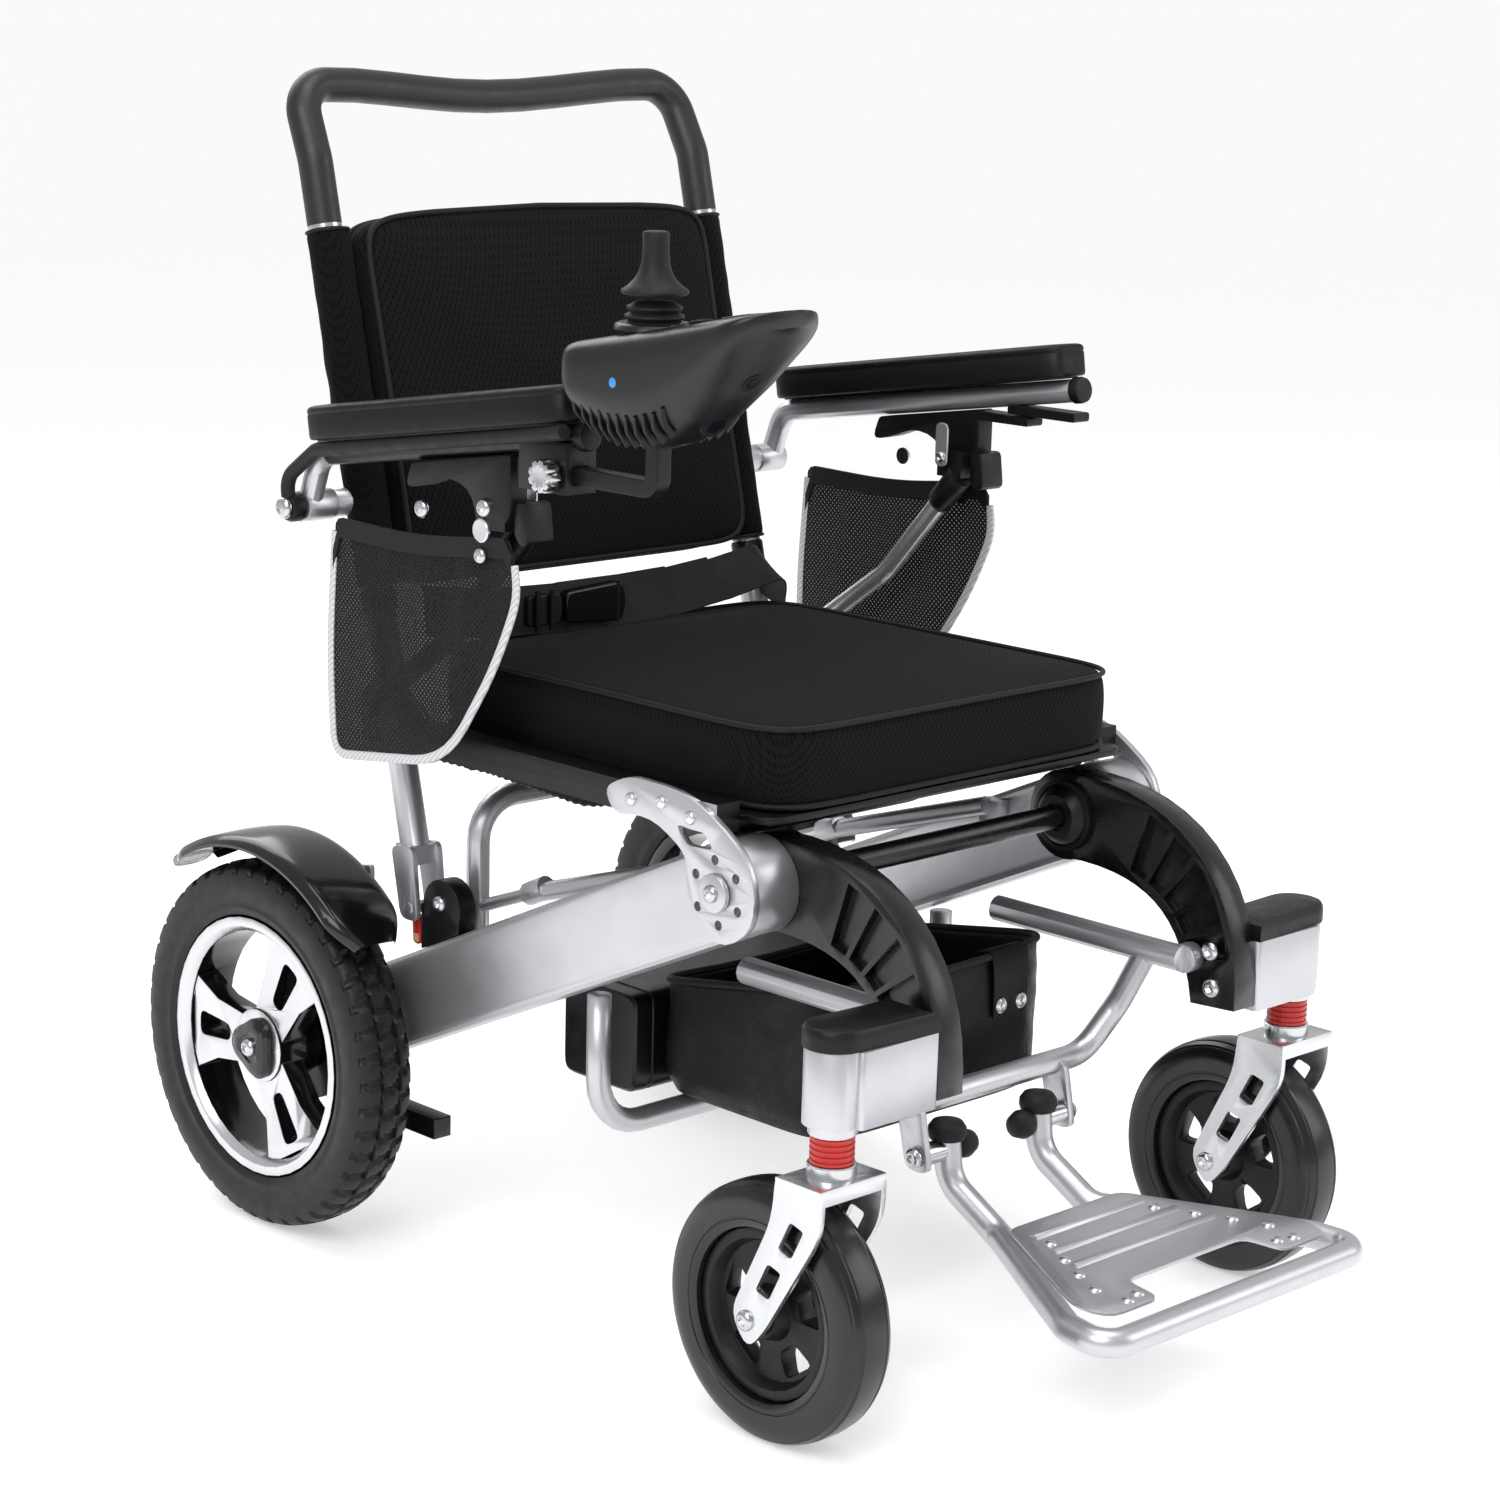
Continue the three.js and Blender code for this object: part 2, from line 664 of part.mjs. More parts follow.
// ---------------------------------------------------------------- rear wheels
function tyre(radius, seat, width, x, y, sides) {
  const half = width / 2;
  const shoulder = (radius - seat) * 0.28;
  const profile = [
    [-half * 0.72, seat],
    [half * 0.72, seat],
    [half * 0.96, seat + shoulder],
    [half, (radius + seat) / 2],
    [half * 0.86, radius - shoulder * 0.7],
    [half * 0.45, radius - shoulder * 0.08],
    [0, radius],
    [-half * 0.45, radius - shoulder * 0.08],
    [-half * 0.86, radius - shoulder * 0.7],
    [-half, (radius + seat) / 2],
    [-half * 0.96, seat + shoulder],
  ];
  return turnedX(profile, x, y, radius, sides);
}

function wheelRim() {
  const seat = RIM_RADIUS - GAP;
  const half = WHEEL_WIDTH * 0.44;
  const ring = turnedX(
    [
      [-half, seat - 12],
      [-half, seat],
      [half, seat],
      [half, seat - 8],
      [half - 6, seat - 13],
    ],
    WHEEL_X,
    AXLE_Y,
    WHEEL_RADIUS,
    40,
  );
  const hub = rodX(32, [WHEEL_X - half, WHEEL_X + half - 5], AXLE_Y, WHEEL_RADIUS, 24);
  const spokes = [0, 1, 2].map((i) => {
    const spoke = plateX(
      [
        [-21, 20],
        [21, 20],
        [27, 62],
        [44, seat - 16],
        [-44, seat - 16],
        [-27, 62],
      ],
      [WHEEL_X + half - 30, WHEEL_X + half - 8],
      [new THREE.Path(rounded([[-7, 44], [7, 44], [11, 88], [-11, 88]], 7, 3).getPoints())],
    );
    const turn = THREE.MathUtils.degToRad(30 + 120 * i);
    const stood = turned(spoke, [1, 0, 0], turn, [0, 0, 0]);
    return solid(geometryOf(stood).translate(0, AXLE_Y, WHEEL_RADIUS));
  });
  const bore = rodX(
    WHEEL_SHAFT_RADIUS + RUNNING,
    [WHEEL_X - half - 1, WHEEL_X + half],
    AXLE_Y,
    WHEEL_RADIUS,
    16,
  );
  return cut(union(ring, hub, ...spokes), bore);
}

placePair("tyre", tyre(WHEEL_RADIUS, RIM_RADIUS, WHEEL_WIDTH, WHEEL_X, AXLE_Y, 40), rubber);
placePair("rim", wheelRim(), silver);

// ---------------------------------------------------------------- front frame
const ARM_FOOT_Z = 262;
const ARM_FOOT_Y = STEM_Y - 5;
const STEM_BLOCK_HALF = 23;
const RAIL_TUBE_X = ARM_IN - RAIL_TUBE_RADIUS - 2;
const RAIL_TUBE_Z = 300;

// The middle line of the front arm, and half its depth there.
const armLine = new THREE.QuadraticBezierCurve(
  new THREE.Vector2(HUB_Y, HUB_Z),
  new THREE.Vector2(ARM_FOOT_Y + 8, HUB_Z + 8),
  new THREE.Vector2(ARM_FOOT_Y, ARM_FOOT_Z),
);
const armHalf = (t) => 36 - 14 * t * t;

function armPoint(t, share, inset = 0) {
  const at = armLine.getPoint(t);
  const along = armLine.getTangent(t);
  const reach = share * (armHalf(t) - inset);
  return [at.x - along.y * reach, at.y + along.x * reach];
}

function armCell(from, to, inset) {
  const steps = [0, 0.5, 1].map((share) => from + (to - from) * share);
  return [
    ...steps.map((t) => armPoint(t, 1, inset)),
    ...steps.reverse().map((t) => armPoint(t, -1, inset)),
  ];
}

function frontArm() {
  const steps = Array.from({ length: 15 }, (_, i) => i / 14);
  const outline = [
    ...steps.map((t) => armPoint(t, 1)),
    ...steps.reverse().map((t) => armPoint(t, -1)),
  ];
  const bow = plateX(outline, [ARM_IN, ARM_OUT]);
  const head = rodX(HUB_RADIUS, [ARM_IN, ARM_OUT], HUB_Y, HUB_Z, 28);
  const bore = rodX(SHAFT_RADIUS + RUNNING, [ARM_IN - 1, ARM_OUT + 1], HUB_Y, HUB_Z, 20);
  const depth = 8;
  const cells = [0, 1, 2, 3, 4].flatMap((i) => {
    const outline = armCell(0.3 + i * 0.115, 0.3 + i * 0.115 + 0.09, 8);
    return [
      plateX(outline, [ARM_IN - 1, ARM_IN + depth]),
      plateX(outline, [ARM_OUT - depth, ARM_OUT + 1]),
    ];
  });
  return cut(union(bow, head), bore, ...cells);
}

function stemBlock() {
  const z = [STEM_BLOCK_BASE_Z, STEM_BLOCK_TOP_Z];
  const arm = roundedBox(
    [ARM_OUT + GAP, STEM_X],
    [ARM_FOOT_Y - STEM_BLOCK_HALF, ARM_FOOT_Y + STEM_BLOCK_HALF],
    z,
    4,
  );
  const barrel = rodZ(STEM_BLOCK_HALF, STEM_X, STEM_Y, z, 28);
  const bore = rodZ(STEM_RADIUS + RUNNING, STEM_X, STEM_Y, [z[0] - 1, z[1] - 12], 16);
  return cut(union(arm, barrel), bore);
}

function bagRailFrame() {
  const crossY = FOOT_PIVOT_Y + 13;
  const side = (mirror) => {
    const x = mirror * RAIL_TUBE_X;
    const rail = rodBetween(
      RAIL_TUBE_RADIUS,
      [x, ARM_FOOT_Y + 22, RAIL_TUBE_Z],
      [x, HUB_Y + 58, RAIL_TUBE_Z],
      12,
    );
    const reach = [x, mirror * (ARM_IN - GAP)].sort((a, b) => a - b);
    const boss = rodX(12, reach, ARM_FOOT_Y + 22, RAIL_TUBE_Z, 14);
    const ear = rounded(
      [
        [FOOT_PIVOT_Y - 12, FOOT_PIVOT_Z - 12],
        [FOOT_PIVOT_Y + 12, FOOT_PIVOT_Z - 12],
        [crossY + 12, CROSSBAR_Z + 4],
        [crossY - 14, CROSSBAR_Z + 4],
      ],
      9,
      3,
    );
    const earX = [mirror * 82, mirror * 88].sort((a, b) => a - b);
    const pinHole = disc(FOOT_PIVOT_Y, FOOT_PIVOT_Z, BRACKET_PIN_RADIUS + RUNNING, 14);
    return union(rail, boss, plateX(ear, earX, [pinHole]));
  };
  const bow = tube(
    [
      [RAIL_TUBE_X, crossY - 42, RAIL_TUBE_Z],
      [RAIL_TUBE_X, crossY - 14, RAIL_TUBE_Z - 52],
      [RAIL_TUBE_X - 26, crossY, CROSSBAR_Z],
      [26 - RAIL_TUBE_X, crossY, CROSSBAR_Z],
      [-RAIL_TUBE_X, crossY - 14, RAIL_TUBE_Z - 52],
      [-RAIL_TUBE_X, crossY - 42, RAIL_TUBE_Z],
    ],
    FOOT_TUBE_RADIUS - 1,
    30,
    12,
    4,
  );
  return union(bow, side(1), side(-1));
}

placePair("front_arm", frontArm(), blackMetal);
placePair("stem_block", stemBlock(), silver);
place("bag_rail_frame", bagRailFrame(), silver);

// ---------------------------------------------------------------- casters
const FORK_PLATE = 5;
const FORK_IN = CASTER_WIDTH / 2 + 6;
const CROWN_Z = 2 * CASTER_RADIUS + 6;

function casterFork() {
  const outline = rounded(
    [
      [STEM_Y - 23, CROWN_Z + 12, 6],
      [STEM_Y - 23, CROWN_Z - 22, 26],
      [CASTER_AXLE_Y - 18, CASTER_RADIUS - 4, 14],
      [CASTER_AXLE_Y - 2, CASTER_RADIUS - 22, 18],
      [CASTER_AXLE_Y + 17, CASTER_RADIUS + 2, 14],
      [STEM_Y + 26, CROWN_Z - 22, 30],
      [STEM_Y + 23, CROWN_Z + 12, 6],
    ],
    10,
  );
  const windowAt = (share) => {
    const y = CASTER_AXLE_Y + (STEM_Y - CASTER_AXLE_Y) * share;
    const z = CASTER_RADIUS + (CROWN_Z - 20 - CASTER_RADIUS) * share;
    return rounded(
      [
        [y - 2, z - 14],
        [y + 12, z - 10],
        [y, z + 14],
        [y - 14, z + 10],
      ],
      3,
      2,
    );
  };
  const arm = (x) => plateX(outline.clone(), x, [windowAt(0.42), windowAt(0.86)]);
  const inner = STEM_X - FORK_IN;
  const outer = STEM_X + FORK_IN;
  const crown = block(
    [inner - FORK_PLATE, outer + FORK_PLATE],
    [STEM_Y - 23, STEM_Y + 23],
    [CROWN_Z, CROWN_Z + 12],
  );
  const axle = rodX(6, [inner - FORK_PLATE - 3, outer + FORK_PLATE + 3], CASTER_AXLE_Y, CASTER_RADIUS, 12);
  const stem = rodZ(STEM_RADIUS, STEM_X, STEM_Y, [CROWN_Z + 10, STEM_BLOCK_TOP_Z - 14], 16);
  const sleeve = rodZ(15, STEM_X, STEM_Y, [CROWN_Z + 22, STEM_BLOCK_BASE_Z - 8], 20);
  const lowCollar = rodZ(18, STEM_X, STEM_Y, [CROWN_Z + 11, CROWN_Z + 22], 20);
  const topCollar = rodZ(18, STEM_X, STEM_Y, [STEM_BLOCK_BASE_Z - 8, STEM_BLOCK_BASE_Z - GAP], 20);
  return union(
    arm([inner - FORK_PLATE, inner]),
    arm([outer, outer + FORK_PLATE]),
    crown,
    axle,
    stem,
    sleeve,
    lowCollar,
    topCollar,
  );
}

function casterRim() {
  const seat = CASTER_RIM_RADIUS - GAP;
  const half = CASTER_WIDTH * 0.36;
  const body = turnedX(
    [
      [-half - 5, 6 + RUNNING],
      [half + 5, 6 + RUNNING],
      [half + 5, 17],
      [half - 8, 22],
      [half - 10, seat - 12],
      [half, seat - 8],
      [half, seat],
      [-half, seat],
      [-half, seat - 8],
      [10 - half, seat - 12],
      [8 - half, 22],
      [-half - 5, 17],
    ],
    STEM_X,
    CASTER_AXLE_Y,
    CASTER_RADIUS,
    28,
  );
  const windows = Array.from({ length: 5 }, (_, i) => {
    const window = plateX(rounded([[-9, 29], [9, 29], [16, 49], [-16, 49]], 5, 2), [-30, 30]);
    const swung = turned(window, [1, 0, 0], (2 * Math.PI * i) / 5, [0, 0, 0]);
    return solid(geometryOf(swung).translate(STEM_X, CASTER_AXLE_Y, CASTER_RADIUS));
  });
  return cut(body, ...windows);
}

const casterTyre = tyre(CASTER_RADIUS, CASTER_RIM_RADIUS, CASTER_WIDTH, STEM_X, CASTER_AXLE_Y, 32);
placePair("caster_fork", casterFork(), silver);
placePair("caster_tyre", casterTyre, rubber);
placePair("caster_rim", casterRim(), blackPlastic);

// ---------------------------------------------------------------- footrest
const FOOT_BEND_Y = -317;
const footSlope = (FOOT_REAR_Z - FOOT_FRONT_Z) / (FOOT_BEND_Y - FOOT_FRONT_Y);
const footZ = (y) => FOOT_REAR_Z - footSlope * (FOOT_BEND_Y - y);
const FOOT_LEG_X = 54;

function footrestTube() {
  const flareY = FOOT_FRONT_Y + 42;
  const half = (mirror) => [
    [mirror * FOOT_LEG_X, FOOT_PIVOT_Y, FOOT_PIVOT_Z + 12],
    [mirror * FOOT_LEG_X, FOOT_PIVOT_Y - 4, FOOT_PIVOT_Z - 26],
    [mirror * FOOT_LEG_X, FOOT_BEND_Y + 20, footZ(FOOT_BEND_Y + 20)],
    [mirror * (FOOT_HALF_WIDTH - 6), flareY, footZ(flareY)],
  ];
  const loop = tube(
    [
      ...half(-1),
      [-FOOT_HALF_WIDTH, FOOT_FRONT_Y, FOOT_FRONT_Z],
      [FOOT_HALF_WIDTH, FOOT_FRONT_Y, FOOT_FRONT_Z],
      ...half(1).reverse(),
    ],
    FOOT_TUBE_RADIUS,
    26,
    12,
    4,
  );
  const pin = (x) => rodX(BRACKET_PIN_RADIUS, x, FOOT_PIVOT_Y, FOOT_PIVOT_Z, 14);
  const collar = (x) => rodX(9, x, FOOT_PIVOT_Y, FOOT_PIVOT_Z, 14);
  return union(
    loop,
    pin([FOOT_LEG_X, 92]),
    pin([-92, -FOOT_LEG_X]),
    collar([FOOT_LEG_X, 82 - GAP]),
    collar([GAP - 82, -FOOT_LEG_X]),
  );
}

function footrestPlate() {
  const rear = FOOT_BEND_Y + 2;
  const lobe = FOOT_FRONT_Y + 16;
  const outline = rounded(
    [
      [-66, rear, 10],
      [-FOOT_HALF_WIDTH + 16, lobe + 30, 20],
      [-FOOT_HALF_WIDTH + 22, lobe, 26],
      [-76, lobe, 8],
      [-70, lobe + 36, 10],
      [70, lobe + 36, 10],
      [76, lobe, 8],
      [FOOT_HALF_WIDTH - 22, lobe, 26],
      [FOOT_HALF_WIDTH - 16, lobe + 30, 20],
      [66, rear, 10],
    ],
    10,
    3,
  );
  const top = FOOT_REAR_Z + FOOT_TUBE_RADIUS + GAP;
  const sheet = plateZ(outline, [top, top + 3]);
  const ribs = [24, 52, 80].map((back) => {
    const half = 56 + back / 3;
    const round = rodX(5, [-half, half], rear - back, top + 1, 16);
    return round.intersect(block([-half - 1, half + 1], [rear - back - 6, rear - back + 6], [top + 2, top + 8]));
  });
  return turned(union(sheet, ...ribs), [1, 0, 0], Math.atan(footSlope), [0, FOOT_BEND_Y, FOOT_REAR_Z]);
}

place("footrest_tube", footrestTube(), silver);
place("footrest_plate", footrestPlate(), silver);

// ---------------------------------------------------------------- backrest
function backPoint(x, z, behind = 0) {
  return [x, backY(z) + behind * Math.cos(RECLINE), z - behind * Math.sin(RECLINE)];
}

function backTube() {
  const rail = rodBetween(
    BACK_TUBE_RADIUS,
    backPoint(BACK_X, CATCH_PIN_Z + 44),
    backPoint(BACK_X, BACK_TUBE_TOP_Z),
    16,
  );
  const cheek = (x) =>
    plateX(
      rounded(
        [
          [CATCH_PIN_Y - 11, CATCH_PIN_Z - 10],
          [CATCH_PIN_Y + 11, CATCH_PIN_Z - 10],
          [CATCH_PIN_Y + 24, CATCH_PIN_Z + 50],
          [CATCH_PIN_Y - 4, CATCH_PIN_Z + 54],
        ],
        8,
        3,
      ),
      x,
    );
  const cheekIn = CATCH_X[0] - SWING;
  const cheekOut = CATCH_X[1] + SWING;
  const bridge = block(
    [cheekIn - 1, cheekOut + 1],
    [CATCH_PIN_Y - 2, CATCH_PIN_Y + 22],
    [CATCH_PIN_Z + 36, CATCH_PIN_Z + 52],
  );
  const pin = rodX(BRACKET_PIN_RADIUS - 1, [cheekIn - 6, cheekOut + 6], CATCH_PIN_Y, CATCH_PIN_Z, 14);
  const boss = rodX(11, [BACK_X, PLATE_X - 0.1 - GAP], BACK_PIVOT_Y, BACK_PIVOT_Z, 16);
  const pivot = rodX(BRACKET_PIN_RADIUS, [BACK_X, PLATE_OUT], BACK_PIVOT_Y, BACK_PIVOT_Z, 14);
  const lug = rodX(12, [BACK_X, ARM_TUBE_X - 21 - GAP], ARM_PIVOT_Y, ARM_PIVOT_Z, 16);
  const armPin = rodX(BRACKET_PIN_RADIUS, [BACK_X, ARM_TUBE_X + 9], ARM_PIVOT_Y, ARM_PIVOT_Z, 14);
  return union(
    rail,
    cheek([cheekIn - 5, cheekIn]),
    cheek([cheekOut, cheekOut + 5]),
    bridge,
    pin,
    boss,
    pivot,
    lug,
    armPin,
  );
}

function pushHandle() {
  const low = BACK_TUBE_TOP_Z + GAP;
  const side = (mirror) => [
    backPoint(mirror * BACK_X, low),
    backPoint(mirror * BACK_X, low + 52),
    [mirror * (BACK_X - 4), backY(HANDLE_TOP_Z) + 16, HANDLE_TOP_Z + 3],
  ];
  return tube(
    [...side(-1), [0, backY(HANDLE_TOP_Z) + 22, HANDLE_TOP_Z - 8], ...side(1).reverse()],
    HANDLE_RADIUS,
    44,
    14,
    6,
  );
}

function backCushion() {
  const half = BACK_X - BACK_TUBE_RADIUS - 4;
  const height = (BACK_CUSHION_TOP_Z - BACK_CUSHION_BASE_Z) / Math.cos(RECLINE);
  const centreZ = (BACK_CUSHION_TOP_Z + BACK_CUSHION_BASE_Z) / 2;
  const centreY = backY(centreZ) - 8;
  const thick = BACK_CUSHION_THICKNESS / 2;
  const outline = rounded(
    [
      [-half, -height / 2],
      [half, -height / 2],
      [half, height / 2],
      [-half, height / 2],
    ],
    26,
  );
  const pad = new THREE.ExtrudeGeometry(outline, { depth: 2 * thick, bevelEnabled: false });
  pad.translate(0, 0, -thick).rotateX(Math.PI / 2 - RECLINE).translate(0, centreY, centreZ);
  return solid(pad);
}

placePair("back_tube", backTube(), silver);
place("push_handle", pushHandle(), rubber);
place("back_cushion", backCushion(), fabric);

// ---------------------------------------------------------------- armrests
const LUG_RADIUS = 13;
const PAD_FRONT_Y = PAD_REAR_Y - PAD_LENGTH * Math.cos(padAngle);
const CONTROLLER_SETBACK = 26; // the right pad and tube stop short of the controller
const tubeMiddle = (y) => padBase(y) - ARM_TUBE_RADIUS - 1.5;
const LATCH_Y = ARM_PIVOT_Y - 249;
const LATCH_Z = ARM_PIVOT_Z + 22;
const LATCH_X = [POST_X + POST_RADIUS + 1.5, ARM_TUBE_X + 9];

function armTube(front) {
  const rise = ARM_PIVOT_Y - 16;
  const bar = tube(
    [
      [ARM_TUBE_X, ARM_PIVOT_Y, ARM_PIVOT_Z],
      [ARM_TUBE_X, rise, tubeMiddle(rise) + 1],
      [ARM_TUBE_X, front, tubeMiddle(front)],
    ],
    ARM_TUBE_RADIUS,
    26,
    12,
    5,
  );
  const lug = rodX(LUG_RADIUS, [ARM_TUBE_X - 21, ARM_TUBE_X + 9], ARM_PIVOT_Y, ARM_PIVOT_Z, 18);
  const bore = rodX(
    BRACKET_PIN_RADIUS + RUNNING,
    [ARM_TUBE_X - 22, ARM_TUBE_X + 10],
    ARM_PIVOT_Y,
    ARM_PIVOT_Z,
    14,
  );
  return [union(bar, lug), bore];
}

const RECEIVER_Y = [PAD_FRONT_Y + CONTROLLER_SETBACK + 6, PAD_FRONT_Y + CONTROLLER_SETBACK + 60];
const BAR_HALF = 7;
const BAR_Z = tubeMiddle(RECEIVER_Y[1]) - ARM_TUBE_RADIUS - BAR_HALF - 4;

function receiver() {
  const half = BAR_HALF + RUNNING;
  const box = block(
    [ARM_TUBE_X - 15, ARM_TUBE_X + 15],
    RECEIVER_Y,
    [BAR_Z - BAR_HALF - 7, tubeMiddle(RECEIVER_Y[0]) - 4],
  );
  const hole = block(
    [ARM_TUBE_X - half, ARM_TUBE_X + half],
    [RECEIVER_Y[0] - 1, RECEIVER_Y[1] + 1],
    [BAR_Z - half, BAR_Z + half],
  );
  return [box, hole];
}

function armTubeRight() {
  const [bar, bore] = armTube(PAD_FRONT_Y + CONTROLLER_SETBACK);
  const [box, hole] = receiver();
  return cut(union(bar, box), bore, hole);
}

function armTubeLeft() {
  const [bar, bore] = armTube(PAD_FRONT_Y - 2);
  return cut(bar, bore);
}

function armPad(length) {
  const box = roundedBox(
    [ARM_TUBE_X - PAD_WIDTH / 2, ARM_TUBE_X + PAD_WIDTH / 2],
    [PAD_REAR_Y - length, PAD_REAR_Y],
    [PAD_REAR_Z, PAD_REAR_Z + PAD_THICKNESS],
    16,
  );
  return turned(box, [1, 0, 0], -padAngle, [0, PAD_REAR_Y, PAD_REAR_Z]);
}

function latchBody() {
  const top = (y) => tubeMiddle(y) - ARM_TUBE_RADIUS - GAP;
  const plate = rounded(
    [
      [LATCH_Y + 104, top(LATCH_Y + 104), 4],
      [LATCH_Y + 112, top(LATCH_Y + 112) - 20, 10],
      [LATCH_Y + 92, LATCH_Z + 14, 10],
      [LATCH_Y + 60, LATCH_Z + 26, 24],
      [LATCH_Y + 30, LATCH_Z + 18, 24],
      [LATCH_Y + 22, LATCH_Z - 12, 8],
      [LATCH_Y - 4, LATCH_Z - 10, 8],
      [LATCH_Y - 16, LATCH_Z + 4, 6],
      [LATCH_Y - 16, top(LATCH_Y - 16), 3],
    ],
    8,
    3,
  );
  const body = plateX(plate, LATCH_X);
  const socket = rodBetween(12, alongPost(POST_LENGTH + 5), alongPost(POST_LENGTH + 38), 16);
  const boss = block([POST_X - 5, LATCH_X[1]], [LATCH_Y - 10, LATCH_Y + 18], [LATCH_Z - 10, LATCH_Z + 12]);
  return union(body, socket, boss);
}

function latchLever() {
  const outline = rounded(
    [
      [LATCH_Y - 18, LATCH_Z + 14],
      [LATCH_Y - 18, LATCH_Z - 12],
      [LATCH_Y - 26, LATCH_Z - 20],
      [LATCH_Y - 34, LATCH_Z - 16],
      [LATCH_Y - 30, LATCH_Z + 14],
    ],
    4,
    2,
  );
  return plateX(outline, [POST_X - 2, LATCH_X[1] - 3]);
}

function sideGuard() {
  const x = [LATCH_X[1] - 4, LATCH_X[1] - 1];
  const outline = rounded(
    [
      [ARM_PIVOT_Y - 44, ARM_PIVOT_Z - 4, 4],
      [ARM_PIVOT_Y - 36, ARM_PIVOT_Z - 120, 60],
      [ARM_PIVOT_Y - 42, ARM_PIVOT_Z - 201, 18],
      [ARM_PIVOT_Y - 186, ARM_PIVOT_Z - 182, 40],
      [ARM_PIVOT_Y - 246, ARM_PIVOT_Z - 96, 50],
      [ARM_PIVOT_Y - 274, ARM_PIVOT_Z - 34, 40],
      [ARM_PIVOT_Y - 262, ARM_PIVOT_Z + 7, 5],
      [ARM_PIVOT_Y - 150, ARM_PIVOT_Z - 6, 40],
    ],
    20,
    5,
  );
  return plateX(outline, x);
}

const rightPadLength = PAD_LENGTH - CONTROLLER_SETBACK;
place("arm_tube_left", armTubeLeft(), silver, leftSide);
place("arm_tube_right", armTubeRight(), silver, rightSide);
place("arm_pad_left", armPad(PAD_LENGTH), blackPlastic, leftSide);
place("arm_pad_right", armPad(rightPadLength), blackPlastic, rightSide);
placePair("latch_body", latchBody(), blackPlastic);
placePair("latch_lever", latchLever(), blackPlastic);
placePair("side_guard", sideGuard(), mesh);

// ---------------------------------------------------------------- controller
const STICK_Y = PAD_FRONT_Y - 46;
const PANEL_SLOPE = 0.19;
const PANEL_Z = 807;
const panelAngle = Math.atan(PANEL_SLOPE);
const panelZ = (y) => PANEL_Z + PANEL_SLOPE * (STICK_Y - y);
const STICK_PIVOT_Z = PANEL_Z - 2;
const DOME_RADIUS = 17;
const KEY_RADIUS = 7;
const KEY_Y = STICK_Y - 70;
const keyAt = (mirror) => [ARM_TUBE_X + mirror * 20, KEY_Y, panelZ(KEY_Y)];

function key(at, low, high, radius) {
  return turned(rodZ(radius, at[0], at[1], [at[2] + low, at[2] + high], 16), [1, 0, 0], -panelAngle, at);
}

function controllerShell() {
  const outline = rounded(
    [
      [STICK_Y + 66, panelZ(STICK_Y + 66) - 4, 12],
      [STICK_Y + 70, PANEL_Z - 42, 14],
      [STICK_Y + 50, PANEL_Z - 72, 22],
      [STICK_Y + 4, PANEL_Z - 86, 24],
      [STICK_Y - 44, PANEL_Z - 78, 30],
      [STICK_Y - 92, PANEL_Z - 42, 34],
      [STICK_Y - 140, PANEL_Z + 12, 10],
      [STICK_Y - 144, panelZ(STICK_Y - 144) + 2, 7],
    ],
    12,
    4,
  );
  const half = CONTROLLER_WIDTH / 2;
  const low = PANEL_Z - 90;
  const front = rounded(
    [
      [ARM_TUBE_X - half + 12, low],
      [ARM_TUBE_X + half - 12, low],
      [ARM_TUBE_X + half, PANEL_Z - 30],
      [ARM_TUBE_X + half, PANEL_Z + 36],
      [ARM_TUBE_X - half, PANEL_Z + 36],
      [ARM_TUBE_X - half, PANEL_Z - 30],
    ],
    22,
  );
  const above = rounded(
    [
      [ARM_TUBE_X - half, STICK_Y + 72],
      [ARM_TUBE_X - half, STICK_Y - 145],
      [ARM_TUBE_X + half, STICK_Y - 145],
      [ARM_TUBE_X + half, STICK_Y + 72],
    ],
    26,
  );
  const shell = plateX(outline, [ARM_TUBE_X - half, ARM_TUBE_X + half])
    .intersect(plateY(front, [STICK_Y - 150, STICK_Y + 80]))
    .intersect(plateZ(above, [low, PANEL_Z + 40]));
  const barX = [ARM_TUBE_X - BAR_HALF, ARM_TUBE_X + BAR_HALF];
  const neckY = [STICK_Y - 14, STICK_Y + 2];
  const bar = block(barX, [neckY[0], RECEIVER_Y[1] + 11], [BAR_Z - BAR_HALF, BAR_Z + BAR_HALF]);
  const neck = block(barX, neckY, [BAR_Z, PANEL_Z - 60]);
  const wells = [-1, 1].map((mirror) => key(keyAt(mirror), -5, 20, KEY_RADIUS + RUNNING));
  const stickWell = rodZ(DOME_RADIUS + 9, ARM_TUBE_X, STICK_Y, [STICK_PIVOT_Z - 18, PANEL_Z + 40], 24);
  return cut(union(shell, bar, neck), stickWell, ...wells);
}

// The dome the stick rocks in: a slice of a ball round the stick's pivot, with a hole for the stem.
function stickDome() {
  const ball = solid(new THREE.SphereGeometry(DOME_RADIUS, 16, 10).translate(ARM_TUBE_X, STICK_Y, STICK_PIVOT_Z));
  const slice = rodZ(DOME_RADIUS + 4, ARM_TUBE_X, STICK_Y, [STICK_PIVOT_Z - 9, STICK_PIVOT_Z + 12], 20);
  const hole = rodZ(8, ARM_TUBE_X, STICK_Y, [STICK_PIVOT_Z + 1, STICK_PIVOT_Z + 20], 14);
  return cut(ball.intersect(slice), hole);
}

function stickKnob() {
  const base = PANEL_Z + 26;
  const skirt = rodZ(25, ARM_TUBE_X, STICK_Y, [base, base + 12], 20, 13);
  const grip = rodZ(11, ARM_TUBE_X, STICK_Y, [base + 11, base + 46], 18, 9.5);
  const stem = rodZ(3.2, ARM_TUBE_X, STICK_Y, [STICK_PIVOT_Z + 3, base + 1], 10);
  return union(skirt, grip, stem);
}

